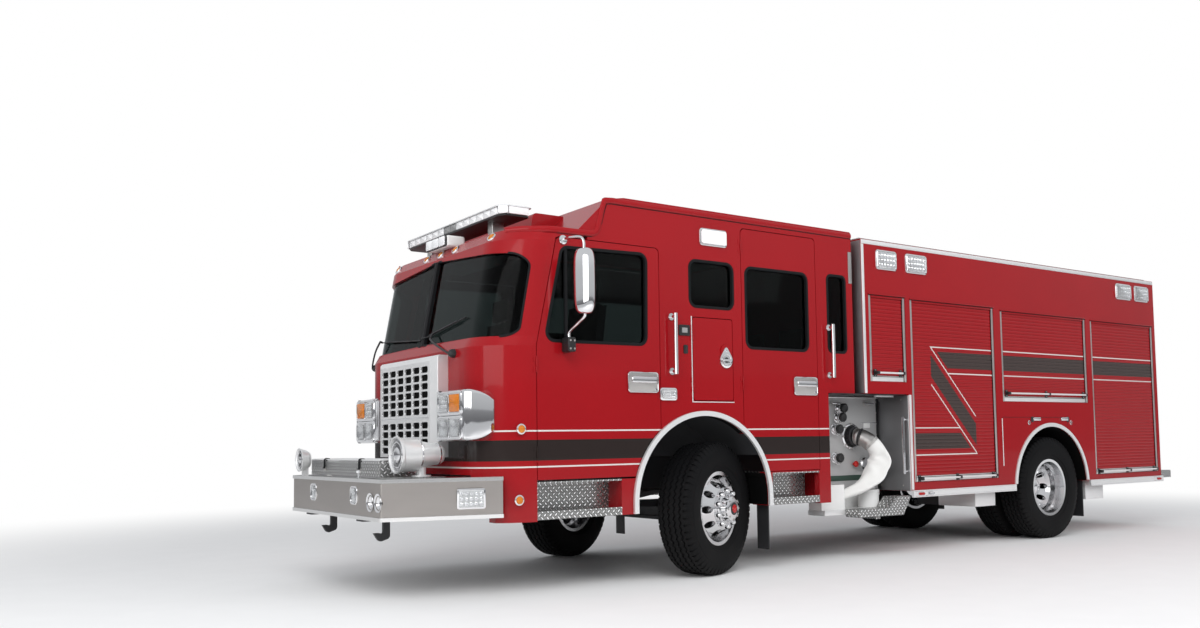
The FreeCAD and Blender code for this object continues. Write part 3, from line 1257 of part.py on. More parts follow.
def make_pump_tray():
    """The pan hung below the left pump panel, with an open box and a round drain pot on it."""
    y = PUMP_PANEL_Y
    x0 = BODY_LOW_FRONT + 40
    x1 = CAB_REAR_LOW - 52
    pan = box(x0, x1, y, y + 205, 400, 445).fuse(box(x0 + 40, x1 - 40, y, y + 12, 400, PUMP_BOTTOM + 60))
    open_box = box(x1 - 300, x1, y + 12, y + 172, 445, 670)
    open_box = open_box.cut(box(x1 - 290, x1 - 10, y + 22, y + 162, 455, 700))
    pot = cyl_z(BODY_LOW_FRONT + 290, y + 112, 445, 610, 98)
    pot = pot.cut(cyl_z(BODY_LOW_FRONT + 290, y + 112, 460, 620, 88))
    return fuse([pan, open_box, pot])


def make_pump_fittings():
    """The right suction inlet's cap, discharge valves and the grab rail beside the left panel."""
    y = PUMP_PANEL_Y
    shapes = []
    x = INLET_X
    for dx, z in ((150, 1377), (170, 1290), (215, 1180), (220, 912)):
        valve = turned_y([(0, 0), (0, 42), (14, 42), (14, 24), (60, 24), (60, 38), (85, 38), (85, 0)],
                         x + dx, y, z)
        shapes.append(valve)
    cap = turned_y([(0, 0), (0, 60), (40, 60), (55, 48), (55, 0)], x - 150, y, 850)
    shapes.append(cap)
    far = turned_y([(0, 0), (0, 105), (18, 105), (18, 88), (90, 88), (100, 70), (100, 0)], x, y, 1000)
    shapes.append(other_side(far))
    for dx, z in ((-200, 800), (170, 1290), (-190, 1300)):
        valve = turned_y([(0, 0), (0, 42), (14, 42), (14, 30), (80, 30), (80, 0)], x + dx, y, z)
        shapes.append(other_side(valve))
    wall = BODY_LOW_FRONT
    rail_y = BODY_HALF - 34
    rail = cyl_z(wall + 55, rail_y, 750, 1285, 14)
    shapes.append(fuse([rail] + [rod(V(wall, rail_y, z), V(wall + 55, rail_y, z), 11) for z in (775, 1260)]))
    return Part.makeCompound(shapes)


HOSE_R = 62.0
HOSE_ACROSS = V(-0.66, 0.75, 0)


def hose_ring(centre, along, wide, thin):
    """A closed oval across the hose, its long way as near HOSE_ACROSS as the hose's run lets it be."""
    along = V(along).normalize()
    thin_way = along.cross(HOSE_ACROSS).normalize()
    wide_way = thin_way.cross(along).normalize()
    points = []
    for i in range(HOSE_POINTS):
        angle = 2 * math.pi * i / HOSE_POINTS
        points.append(centre + wide_way * (wide * math.cos(angle)) + thin_way * (thin * math.sin(angle)))
    return Part.Wire(Part.makePolygon(points + [points[0]]))


HOSE_POINTS = 20


def make_hose():
    """The soft hose from the elbow, fallen flat and creased, down to the open box."""
    out = (ELBOW_END - ELBOW_KNEE).normalize()
    x = ELBOW_END.x
    y = ELBOW_END.y
    stations = [
        (ELBOW_END + out * RUN_GAP, out, HOSE_R, HOSE_R), (ELBOW_END + out * 45, out, HOSE_R, HOSE_R * 0.9),
        (V(x - 45, y + 45, 930), V(-0.25, 0.15, -1), 80, 40), (V(x - 38, y + 50, 865), V(0.2, 0, -1), 98, 24),
        (V(x + 2, y + 45, 790), V(0.6, -0.05, -0.9), 96, 28), (V(x + 90, y + 30, 700), V(0.85, -0.1, -0.7), 82, 36),
        (V(x + 215, y - 10, 625), V(0.9, -0.25, -0.35), 60, 44), (V(x + 345, y - 75, 560), V(0.9, -0.3, -0.5), 50, 42),
    ]
    return Part.makeLoft([hose_ring(*station) for station in stations], True, False)


# Body

def shutter_openings():
    """The four roll-up door openings on a side: front, rear, bottom, top."""
    return [
        (BODY_FRONT - 85, BODY_FRONT - 590, 1610, 2410),
        (BODY_LOW_FRONT - 55, AXLE_R + 939, 670, 2400),
        (AXLE_R + 824, AXLE_R - 736, 1445, 2380),
        (AXLE_R - 836, BODY_REAR + 60, 650, 2370),
    ]


def make_body_sides():
    """Each side as a channel: side wall, top deck and floor pan, with door and wheel openings."""
    inner = BODY_HALF - BODY_WALL
    wall = side_prism([
        (BODY_FRONT, BODY_OVERHANG_Z), (BODY_FRONT, BODY_TOP), (BODY_REAR, BODY_TOP), (BODY_REAR, BODY_BOTTOM),
        (BODY_LOW_FRONT, BODY_BOTTOM), (BODY_LOW_FRONT, BODY_OVERHANG_Z),
    ], inner, BODY_HALF)
    deck = box(BODY_REAR, BODY_FRONT, HOSE_BED_HALF + HOSE_BED_WALL, BODY_HALF, BODY_TOP - BODY_DECK, BODY_TOP)
    pan = box(BODY_REAR, BODY_LOW_FRONT, HOSE_BED_HALF + HOSE_BED_WALL, BODY_HALF, BODY_BOTTOM,
              BODY_BOTTOM + BODY_DECK)
    whole = fuse([wall, deck, pan])
    for x0, x1, z0, z1 in shutter_openings():
        whole = whole.cut(box(x0, x1, inner - 1, BODY_HALF + 1, z0, z1))
    whole = whole.cut(rear_arch(ARCH_R_R, 0, BODY_HALF + 1))
    housing = cyl_y(AXLE_R, HOSE_BED_HALF + HOSE_BED_WALL, inner, ARCH_R_Z, ARCH_R_R + 15)
    housing = housing.cut(rear_arch(ARCH_R_R, 0, BODY_HALF + 1)).common(
        box(AXLE_R - 800, AXLE_R + 800, 0, BODY_HALF, BODY_BOTTOM, 2000))
    return both_sides(fuse([whole, housing] + [lid_hinge(x)[0] for x in lid_hinge_places()]))


def make_body_ends():
    """The wall under and in front of the overhang, and the rear wall with its openings."""
    inner = BODY_HALF - BODY_WALL
    top = BODY_TOP - BODY_DECK
    upper = box(BODY_FRONT - BODY_WALL, BODY_FRONT, -inner, inner, BODY_OVERHANG_Z, top)
    under = box(BODY_LOW_FRONT - BODY_WALL, BODY_FRONT, -inner, inner, BODY_OVERHANG_Z, BODY_OVERHANG_Z + BODY_WALL)
    lower = box(BODY_LOW_FRONT - BODY_WALL, BODY_LOW_FRONT, -inner, inner, BODY_BOTTOM + BODY_DECK, BODY_OVERHANG_Z)
    lower = lower.cut(box(BODY_LOW_FRONT - 100, BODY_LOW_FRONT + 1, -450, 450, 0, RAIL_TOP + 5))
    rear = box(BODY_REAR, BODY_REAR + BODY_WALL, -inner, inner, BODY_BOTTOM + BODY_DECK, top)
    rear = rear.cut(box(BODY_REAR - 1, BODY_REAR + 100, -450, 450, 760, 1750))
    rear = rear.cut(box(BODY_REAR - 1, BODY_REAR + 100, -HOSE_BED_HALF, HOSE_BED_HALF, HOSE_BED_FLOOR, top + 1))
    rear = rear.cut(box(BODY_REAR - 1, BODY_REAR + 100, -450, 450, 0, 700))
    return Part.makeCompound([fuse([upper, under, lower]), rear])


def make_hose_bed():
    """The water tank with the hose bed above it."""
    x0 = BODY_REAR + BODY_WALL
    x1 = BODY_LOW_FRONT - BODY_WALL
    tank = box(x0, x1, -HOSE_BED_HALF, HOSE_BED_HALF, RAIL_TOP, HOSE_BED_FLOOR)
    for side in (1, -1):
        tank = tank.cut(rear_arch(ARCH_R_R, side * TANK_WELL_Y, side * HOSE_BED_HALF))
    shapes = [tank]
    front = BODY_FRONT - BODY_WALL
    shapes.append(box(x1, front, -HOSE_BED_HALF, HOSE_BED_HALF, HOSE_BED_FLOOR - 30, HOSE_BED_FLOOR))
    for side in (1, -1):
        shapes.append(box(x0, front, side * HOSE_BED_HALF, side * (HOSE_BED_HALF + HOSE_BED_WALL),
                          HOSE_BED_FLOOR - 30, BODY_TOP))
    return fuse(shapes)


def shutter(x0, x1, z0, z1, face):
    """A rolled curtain of slats with its bottom bar, filling one opening."""
    back = face - SHUTTER_INSET
    slats = box(x0, x1, back - SHUTTER_THICK, back, z0, z1)
    bar = box(x0 - 12, x1 + 12, back, back + SHUTTER_BAR_PROUD, z0, z0 + SHUTTER_BAR)
    return slats.fuse(bar)


def make_roll_up_doors():
    shapes = []
    for x0, x1, z0, z1 in shutter_openings():
        curtain = shutter(x0, x1, z0, z1, BODY_HALF)
        shapes += [curtain, other_side(curtain)]
    slats = box(BODY_REAR + SHUTTER_INSET, BODY_REAR + SHUTTER_INSET + SHUTTER_THICK, -450, 450, 760, 1750)
    bar = box(BODY_REAR + SHUTTER_INSET - SHUTTER_BAR_PROUD, BODY_REAR + SHUTTER_INSET, -440, 440, 760, 805)
    shapes.append(slats.fuse(bar))
    return Part.makeCompound(shapes)


def make_hose_lid():
    """The left lid of the hose bed, hinged along its outer edge, with its hinge eyes."""
    z0 = BODY_TOP + RUN_GAP
    lid = box(BODY_REAR + 60, BODY_FRONT - 60, LID_GAP, LID_HINGE_Y - HINGE_R - 1, z0, z0 + LID_THICK)
    return fuse([lid] + [lid_hinge(x)[1] for x in lid_hinge_places()])


def lid_hinge_places():
    step = (BODY_FRONT - BODY_REAR) / 4
    return [BODY_REAR + step * i for i in (1, 2, 3)]


def lid_hinge(x):
    """One hinge of the left lid, centred at x: the fixed part on the deck and the moving part."""
    z = BODY_TOP + LID_HINGE_RISE
    y = LID_HINGE_Y
    half = HINGE_LENGTH / 2
    sixth = HINGE_LENGTH / 6
    fixed = [rod(V(x - half, y, z), V(x + half, y, z), HINGE_PIN_R)]
    for start in (x - half, x + sixth):
        end = start + 2 * sixth
        fixed.append(rod(V(start, y, z), V(end, y, z), HINGE_R))
        fixed.append(box(start, end, y - 3, y + 3, BODY_TOP, z))
        fixed.append(box(start, end, y - 3, y + 30, BODY_TOP, BODY_TOP + HINGE_LEAF))
    low = x - sixth + RUN_GAP
    high = x + sixth - RUN_GAP
    moving = rod(V(low, y, z), V(high, y, z), HINGE_R)
    moving = moving.fuse(box(low, high, y - 30, y, z - 3, z + 3))
    return fuse(fixed), moving.cut(rod(V(x - half, y, z), V(x + half, y, z), HINGE_PIN_R + RUN_GAP))


def main():
    os.makedirs("parts", exist_ok=True)
    save("frame_rails", make_frame_rails())
    save("leaf_springs", make_leaf_springs())
    save("front_axle", make_front_axle())
    save("rear_axle", make_rear_axle())
    knuckle = make_knuckle()
    wheel_f = make_front_wheel()
    tyre_f = make_front_tyre()
    for name, side in (("left", 1), ("right", -1)):
        for node, shape in (("knuckle", knuckle), ("front_wheel", wheel_f), ("front_tyre", tyre_f)):
            placed = shape if side == 1 else other_side(shape)
            save("%s_%s" % (node, name), steer(placed, side))
    wheels_r = make_rear_wheels()
    tyres_r = make_rear_tyres()
    save("rear_wheels_left", wheels_r)
    save("rear_wheels_right", other_side(wheels_r))
    save("rear_tyres_left", tyres_r)
    save("rear_tyres_right", other_side(tyres_r))
    save("powertrain", make_powertrain())
    save("underbody", make_underbody())
    front, side, roof, rear = split_cab()
    save("cab_front", make_cab_front(front))
    save("cab_sides", make_cab_sides(side))
    save("cab_roof", roof)
    save("cab_rear", rear)
    save("cab_interior", make_cab_interior())
    save("seats", make_seats())
    save("cab_glass", make_cab_glass())
    pairs = (
        ("door_front", make_front_door()),
        ("door_rear", make_rear_door()),
        ("door_glass_front", door_pane(FRONT_DOOR_WINDOW)),
        ("door_glass_rear", door_pane(REAR_DOOR_WINDOW)),
        ("locker_door", make_locker_door()),
        ("mirror", make_mirror()),
        ("hose_lid", make_hose_lid()),
    )
    for name, shape in pairs:
        save(name + "_left", shape)
        save(name + "_right", other_side(shape))
    save("front_bumper", make_front_bumper())
    save("tow_hooks", make_tow_hooks())
    save("sirens", make_sirens())
    save("grille", make_grille())
    save("headlights", make_headlights())
    save("lamps", make_lamps())
    save("grab_rails", make_grab_rails())
    save("steps", make_steps())
    save("side_trims", make_side_trims())
    save("pump_panels", make_pump_panels())
    save("pump_fittings", make_pump_fittings())
    save("suction_elbow", make_suction_elbow())
    save("pump_tray", make_pump_tray())
    save("hose", make_hose())
    save("body_sides", make_body_sides())
    save("body_ends", make_body_ends())
    save("hose_bed", make_hose_bed())
    save("roll_up_doors", make_roll_up_doors())


main()
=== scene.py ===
import json
from math import copysign, cos, exp, pi, radians, sin, tan

import bmesh
import bpy
from mathutils import Matrix, Vector
from mathutils.bvhtree import BVHTree


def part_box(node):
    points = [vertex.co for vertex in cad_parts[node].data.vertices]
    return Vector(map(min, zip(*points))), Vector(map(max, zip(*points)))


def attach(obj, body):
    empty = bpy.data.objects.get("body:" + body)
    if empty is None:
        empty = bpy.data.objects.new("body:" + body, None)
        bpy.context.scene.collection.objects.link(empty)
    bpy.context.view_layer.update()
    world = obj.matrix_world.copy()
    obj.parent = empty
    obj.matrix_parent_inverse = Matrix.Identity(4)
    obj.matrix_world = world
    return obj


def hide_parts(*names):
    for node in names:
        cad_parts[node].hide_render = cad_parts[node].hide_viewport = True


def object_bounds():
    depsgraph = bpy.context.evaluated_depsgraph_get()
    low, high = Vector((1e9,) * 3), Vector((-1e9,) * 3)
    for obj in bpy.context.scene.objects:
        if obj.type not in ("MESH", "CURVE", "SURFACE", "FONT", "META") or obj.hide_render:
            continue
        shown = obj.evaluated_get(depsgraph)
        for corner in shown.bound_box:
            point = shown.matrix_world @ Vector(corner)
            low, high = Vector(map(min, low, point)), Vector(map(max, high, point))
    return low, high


bl_info = {"name": "Fire engine dressing", "version": (1, 0, 0), "blender": (4, 5, 0),
    "location": "3D View > Sidebar > Fire engine",
    "description": "Paint, brightwork, lamps, tyres and fittings for the packed fire engine",
    "category": "Object"}

# The frame, and the places that come from it. Metres, +X forward, +Y left, +Z up.
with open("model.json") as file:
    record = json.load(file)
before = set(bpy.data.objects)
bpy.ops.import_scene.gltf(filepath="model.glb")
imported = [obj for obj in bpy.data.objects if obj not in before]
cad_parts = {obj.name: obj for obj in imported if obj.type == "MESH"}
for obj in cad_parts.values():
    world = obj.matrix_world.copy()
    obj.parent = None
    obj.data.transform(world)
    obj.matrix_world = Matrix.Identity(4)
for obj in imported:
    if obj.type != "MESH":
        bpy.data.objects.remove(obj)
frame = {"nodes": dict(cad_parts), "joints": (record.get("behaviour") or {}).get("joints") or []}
NODES = frame["nodes"]
JOINTS = {joint["name"]: joint for joint in frame["joints"]}
CAD_BOX = [list(corner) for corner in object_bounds()]

FRONT_PIN = Vector(JOINTS["steer_left"]["pos_m"])
REAR_HUB = Vector(JOINTS["spin_rear_left"]["pos_m"])
AXLE_F = FRONT_PIN.x
AXLE_R = REAR_HUB.x
NOSE_X = CAD_BOX[1][0]

CAB_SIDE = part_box("door_glass_front_left")[1].y + 0.022
CAB_NOSE = AXLE_F + 2.03
CAB_REAR_TOP = AXLE_F - 1.68
CAB_REAR_LOW = AXLE_F - 1.34
BODY_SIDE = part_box("side_trims")[1].y - 0.025
BODY_TOP = 2.92
BODY_FRONT = CAB_REAR_TOP - 0.08
BODY_LOW_FRONT = BODY_FRONT - 0.605
BODY_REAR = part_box("body_sides")[0].x
PUMP_SIDE = 0.85
LOW_ROOF = 2.665

# Roll-up doors on a side: front, rear, bottom and top edges
SHUTTERS = (
    (BODY_FRONT - 0.085, BODY_FRONT - 0.59, 1.61, 2.41),
    (BODY_LOW_FRONT - 0.055, AXLE_R + 0.939, 0.67, 2.4),
    (AXLE_R + 0.824, AXLE_R - 0.736, 1.445, 2.38),
    (AXLE_R - 0.836, BODY_REAR + 0.06, 0.65, 2.37))
REAR_SHUTTER = (0.45, 0.76, 1.75)
SHUTTER_INSET = 0.016
TRACK_WIDTH = 0.03
# A curtain wider than this has a third bracket on its lift bar
WIDE_SHUTTER = 0.8

# Side windows as (x, z), clockwise from the top front corner
FRONT_DOOR_WINDOW = ((AXLE_F + 1.413, 2.532), (AXLE_F + 0.65, 2.548), (AXLE_F + 0.66, 1.848),
    (AXLE_F + 1.56, 1.842))
REAR_DOOR_WINDOW = ((AXLE_F - 0.391, 2.535), (AXLE_F - 1.1, 2.535), (AXLE_F - 1.1, 1.867),
    (AXLE_F - 0.391, 1.867))
MIDDLE_WINDOW = ((AXLE_F + 0.209, 2.544), (AXLE_F - 0.239, 2.544), (AXLE_F - 0.239, 2.18),
    (AXLE_F + 0.209, 2.18))
CORNER_WINDOW = ((AXLE_F - 1.364, 2.55), (AXLE_F - 1.582, 2.55), (AXLE_F - 1.582, 1.87),
    (AXLE_F - 1.364, 1.87))
WINDSCREEN_PANE = ((0.025, 1.877), (1.16, 1.861), (1.16, 2.47), (0.025, 2.555))
WINDSCREEN_RADII = (0.02, 0.07, 0.11, 0.02)

SIDES = ((1, "left"), (-1, "right"))


# Settings

class FireEnginePaint(bpy.types.PropertyGroup):
    """Colours of the paint, stripes, glass and lenses."""

    body: bpy.props.FloatVectorProperty(name="Body paint", description="Colour of the cab and body",
        subtype="COLOR", size=3, min=0.0, max=1.0, default=(0.285, 0.0045, 0.008))
    band: bpy.props.FloatVectorProperty(name="Stripe band",
        description="Colour of the dark band between the pin lines", subtype="COLOR", size=3, min=0.0,
        max=1.0, default=(0.052, 0.036, 0.033))
    line: bpy.props.FloatVectorProperty(name="Pin line", description="Colour of the pale pin lines",
        subtype="COLOR", size=3, min=0.0, max=1.0, default=(0.62, 0.6, 0.58))
    amber: bpy.props.FloatVectorProperty(name="Amber lens",
        description="Colour of the turn and marker lenses", subtype="COLOR", size=3, min=0.0, max=1.0,
        default=(0.95, 0.33, 0.02))
    red_lens: bpy.props.FloatVectorProperty(name="Red lens", description="Colour of the rear lenses",
        subtype="COLOR", size=3, min=0.0, max=1.0, default=(0.65, 0.01, 0.01))


class FireEngineSizes(bpy.types.PropertyGroup):
    """Sizes of the repeated details."""

    slat_pitch: bpy.props.FloatProperty(name="Slat pitch",
        description="Height of one slat of the roll-up doors", subtype="DISTANCE", unit="LENGTH", min=0.02,
        max=0.08, default=0.0345)
    tread_depth: bpy.props.FloatProperty(name="Tread depth",
        description="Depth of the grooves in the tyres", subtype="DISTANCE", unit="LENGTH", min=0.0,
        max=0.02, default=0.013)
    seal_width: bpy.props.FloatProperty(name="Window seal",
        description="Width of the rubber round each window", subtype="DISTANCE", unit="LENGTH", min=0.005,
        max=0.05, default=0.018)
    line_width: bpy.props.FloatProperty(name="Pin line width", description="Height of one pale pin line",
        subtype="DISTANCE", unit="LENGTH", min=0.002, max=0.04, default=0.011)
    lug_nuts: bpy.props.IntProperty(name="Lug nuts", description="Number of nuts on each wheel", min=5,
        max=12, default=10)


def paint():
    return bpy.context.scene.fire_engine_paint


def sizes():
    return bpy.context.scene.fire_engine_sizes


# Mesh parts. Each is a small bmesh that a Piece takes in.

def aim(origin, direction):
    """The matrix that stands local +Z along direction at origin, with local +Y as near upright as can be."""
    along = Vector(direction).normalized()
    side = Vector((0, 0, 1)).cross(along)
    if side.length < 1e-6:
        side = Vector((1, 0, 0))
    side.normalize()
    up = along.cross(side)
    turn = Matrix((side, up, along)).transposed().to_4x4()
    return Matrix.Translation(Vector(origin)) @ turn


def on_side(x, y, z):
    """A place on the left side, with local +Z outwards."""
    return aim((x, y, z), (0, 1, 0))


def on_front(x, y, z):
    """A place on the front, with local +Z forwards."""
    return aim((x, y, z), (1, 0, 0))


def move(x, y, z):
    """The matrix of a shift."""
    return Matrix.Translation(Vector((x, y, z)))


def skin_rings(part, rings, closed=False, ended=False):
    """Faces between rings of corners; closed joins the last to the first, ended caps both ends."""
    pairs = list(zip(rings, rings[1:]))
    if closed:
        pairs.append((rings[-1], rings[0]))
    for ring, following in pairs:
        for k in range(len(ring)):
            j = (k + 1) % len(ring)
            part.faces.new((ring[k], ring[j], following[j], following[k]))
    if ended:
        part.faces.new(rings[0][::-1])
        part.faces.new(rings[-1])
    return normals_out(part)


def normals_out(part):
    """The part with its normals turned outwards."""
    bmesh.ops.recalc_face_normals(part, faces=part.faces[:])
    return part


def block(low, high, bevel=0.003, segments=2):
    """A bevelled block between two corners."""
    part = bmesh.new()
    bmesh.ops.create_cube(part, size=1.0)
    low = Vector(low)
    high = Vector(high)
    for vert in part.verts:
        for i in range(3):
            vert.co[i] = max(low[i], high[i]) if vert.co[i] > 0 else min(low[i], high[i])
    if bevel > 0:
        bmesh.ops.bevel(part, geom=part.edges[:], offset=bevel, segments=segments, profile=0.5,
            affect="EDGES")
    return part


def circle(radius, along, steps=48):
    """Points round local Z."""
    angles = [2 * pi * i / steps for i in range(steps)]
    return [Vector((radius * cos(angle), radius * sin(angle), along)) for angle in angles]


def turned(profile, steps=48, base=0.0):
    """A body turned about local Z from (height over base, radius) points; a radius of 0 closes an end."""
    part = bmesh.new()
    rings = []
    for height, radius in profile:
        along = base + height
        if radius <= 0:
            rings.append([part.verts.new((0, 0, along))])
            continue
        rings.append([part.verts.new(point) for point in circle(radius, along, steps)])
    for ring, following in zip(rings, rings[1:]):
        for i in range(steps):
            j = (i + 1) % steps
            corners = [ring[i % len(ring)], ring[j % len(ring)], following[j % len(following)],
                following[i % len(following)]]
            corners = list(dict.fromkeys(corners))
            if len(corners) > 2:
                part.faces.new(corners)
    return normals_out(part)


def tube(points, width, height=None, sides=12, closed=False, across=None):
    """A tube of oval section along points; across is the direction its width lies in."""
    height = width if height is None else height
    part = bmesh.new()
    points = [Vector(p) for p in points]
    count = len(points)
    rings = []
    side = None
    for i, point in enumerate(points):
        before = points[i - 1] if closed or i > 0 else point
        after = points[(i + 1) % count] if closed or i < count - 1 else point
        along = (after - before).normalized()
        if across is not None:
            flat = Vector(across).cross(along).normalized()
            side = along.cross(flat).normalized()
        else:
            if side is None:
                side = along.orthogonal()
            side = (side - along * side.dot(along)).normalized()
            flat = along.cross(side).normalized()
        rings.append([part.verts.new(point + side * cos(2 * pi * k / sides) * width / 2 + flat
            * sin(2 * pi * k / sides) * height / 2) for k in range(sides)])
    return skin_rings(part, rings, closed, not closed)


def smooth_path(points, steps=6):
    """A curve through the points, with steps pieces on each run."""
    points = [Vector(p) for p in points]
    padded = [points[0] * 2 - points[1]] + points + [points[-1] * 2 - points[-2]]
    path = []
    for i in range(1, len(padded) - 2):
        a, b, c, d = padded[i - 1:i + 3]
        for step in range(steps):
            t = step / steps
            path.append(0.5 * ((2 * b) + (c - a) * t + (2 * a - 5 * b + 4 * c - d) * t * t
                + (3 * b - a - 3 * c + d) * t ** 3))
    path.append(points[-1])
    return path


def rounded(corners, radii, steps=6):
    """A closed outline with each 2D corner turned by an arc."""
    outline = []
    count = len(corners)
    if not hasattr(radii, "__len__"):
        radii = [radii] * count
    for i in range(count):
        corner = Vector(corners[i])
        to_last = (Vector(corners[i - 1]) - corner).normalized()
        to_next = (Vector(corners[(i + 1) % count]) - corner).normalized()
        half = to_last.angle(to_next) / 2
        radius = radii[i]
        centre = corner + (to_last + to_next).normalized() * (radius / sin(half))
        start = (corner + to_last * (radius / tan(half)) - centre).normalized()
        end = (corner + to_next * (radius / tan(half)) - centre).normalized()
        for step in range(steps + 1):
            outline.append(centre + start.slerp(end, step / steps) * radius)
    return outline


def slab(outline, depth, bevel=0.002):
    """A flat plate from a 2D outline, from local Z 0 up to depth, with its upper edge eased."""
    part = bmesh.new()
    base = part.faces.new([part.verts.new((p[0], p[1], 0.0)) for p in outline])
    raised = bmesh.ops.extrude_face_region(part, geom=[base])["geom"]
    top_verts = [v for v in raised if isinstance(v, bmesh.types.BMVert)]
    for vert in top_verts:
        vert.co.z += depth
    if bevel > 0:
        top = set(top_verts)
        rim = [e for e in part.edges if e.verts[0] in top and e.verts[1] in top]
        bmesh.ops.bevel(part, geom=rim, offset=bevel, segments=2, profile=0.5, affect="EDGES")
    return normals_out(part)


def oblong(width, height, radius):
    """A rounded rectangle's outline about the origin."""
    w = width / 2
    h = height / 2
    return rounded([(-w, -h), (w, -h), (w, h), (-w, h)], radius)


def bead(outline, lift, width, height, sides=8):
    """A closed bead along a 2D outline, at a height over its plate."""
    return tube([Vector((p.x, p.y, lift)) for p in outline], width, height, sides, closed=True)


class Piece:
    """One mesh object put together from parts, each with a finish named in RECIPES."""

    def __init__(self, name):
        self.name = name
        self.whole = bmesh.new()
        self.materials = []

    def add(self, part, material, place=None, smooth=True):
        if material not in self.materials:
            self.materials.append(material)
        index = self.materials.index(material)
        for face in part.faces:
            face.material_index = index
            face.smooth = smooth
        if place is not None:
            part.transform(place)
            if place.determinant() < 0:
                bmesh.ops.reverse_faces(part, faces=part.faces[:])
        mesh = bpy.data.meshes.new("part")
        part.to_mesh(mesh)
        part.free()
        self.whole.from_mesh(mesh)
        bpy.data.meshes.remove(mesh)

    def mirror(self):
        """Add the same parts on the vehicle's other side."""
        geometry = self.whole.verts[:] + self.whole.edges[:] + self.whole.faces[:]
        copied = bmesh.ops.duplicate(self.whole, geom=geometry)["geom"]
        faces = [item for item in copied if isinstance(item, bmesh.types.BMFace)]
        for vert in (item for item in copied if isinstance(item, bmesh.types.BMVert)):
            vert.co.y = -vert.co.y
        bmesh.ops.reverse_faces(self.whole, faces=faces)

    def flip(self, sign):
        """Move the parts to the vehicle's right side when sign is -1."""
        if sign > 0:
            return
        for vert in self.whole.verts:
            vert.co.y = -vert.co.y
        bmesh.ops.reverse_faces(self.whole, faces=self.whole.faces[:])

    def finish(self, body, slot, sharp=35):
        mesh = bpy.data.meshes.new(self.name)
        self.whole.to_mesh(mesh)
        self.whole.free()
        for material in self.materials:
            mesh.materials.append(finish(material))
        mesh.set_sharp_from_angle(angle=radians(sharp))
        made = bpy.data.objects.new(self.name, mesh)
        bpy.context.scene.collection.objects.link(made)
        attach(made, body)
        return made


# Materials

class Nodes:
    """Short calls that add and link the nodes of one tree."""

    def __init__(self, tree):
        self.tree = tree

    def add(self, kind, **settings):
        node = self.tree.nodes.new(kind)
        for key, value in settings.items():
            setattr(node, key, value)
        return node

    def feed(self, socket, value):
        if isinstance(value, bpy.types.NodeSocket):
            self.tree.links.new(value, socket)
        elif hasattr(value, "__len__") and len(value) == 3 and len(socket.default_value) == 4:
            socket.default_value = (*value, 1.0)
        else:
            socket.default_value = value

    def math(self, operation, *values):
        node = self.add("ShaderNodeMath", operation=operation)
        for socket, value in zip(node.inputs, values):
            self.feed(socket, value)
        return node.outputs[0]

    def mix(self, factor, first, second):
        node = self.add("ShaderNodeMix", data_type="RGBA")
        for index, value in ((0, factor), (6, first), (7, second)):
            self.feed(node.inputs[index], value)
        return node.outputs[2]

    def blend(self, factor, first, second):
        node = self.add("ShaderNodeMix", data_type="FLOAT")
        for index, value in ((0, factor), (2, first), (3, second)):
            self.feed(node.inputs[index], value)
        return node.outputs[0]

    def step(self, value, edge, soft):
        """0 below the edge and 1 above it, over a distance of soft."""
        node = self.add("ShaderNodeMapRange", interpolation_type="SMOOTHSTEP")
        for index, item in ((0, value), (1, edge - soft / 2), (2, edge + soft / 2)):
            self.feed(node.inputs[index], item)
        return node.outputs[0]

    def band(self, value, low, high, soft):
        """1 between low and high."""
        return self.math("SUBTRACT", self.step(value, low, soft), self.step(value, high, soft))

    def noise(self, vector, scale, detail):
        node = self.add("ShaderNodeTexNoise")
        for name, value in (("Vector", vector), ("Scale", scale), ("Detail", detail), ("Roughness", 0.5)):
            self.feed(node.inputs[name], value)
        return node.outputs["Fac"]

    def place(self):
        """Object coordinates, whole and split."""
        whole = self.add("ShaderNodeTexCoord").outputs["Object"]
        split = self.add("ShaderNodeSeparateXYZ")
        self.feed(split.inputs[0], whole)
        return whole, split.outputs[0], split.outputs[1], split.outputs[2]

    def stretch(self, vector, scale):
        node = self.add("ShaderNodeMapping")
        self.feed(node.inputs["Vector"], vector)
        node.inputs["Scale"].default_value = scale
        return node.outputs[0]


def effect(name, inputs, outputs, build):
    """A shader node group with number sockets, made once."""
    made = bpy.data.node_groups.get(name)
    if made is not None:
        return made
    made = bpy.data.node_groups.new(name, "ShaderNodeTree")
    for label, default in inputs.items():
        socket = made.interface.new_socket(name=label, in_out="INPUT", socket_type="NodeSocketFloat")
        socket.default_value = default
    for label in outputs:
        made.interface.new_socket(name=label, in_out="OUTPUT", socket_type="NodeSocketFloat")
    nodes = Nodes(made)
    source = nodes.add("NodeGroupInput")
    sink = nodes.add("NodeGroupOutput")
    for label, value in zip(outputs, build(nodes, source.outputs)):
        nodes.feed(sink.inputs[label], value)
    return made


def orange_peel():
    """The faint ripple and cloud of sprayed paint or moulded plastic."""
    def build(nodes, given):
        whole = nodes.place()[0]
        ripple = nodes.noise(whole, given["Scale"], 2.0)
        cloud = nodes.noise(whole, 1.7, 3.0)
        return nodes.math("MULTIPLY", ripple, given["Depth"]), cloud
    return effect("Orange peel", {"Scale": 90.0, "Depth": 1.0}, ("Height", "Cloud"), build)


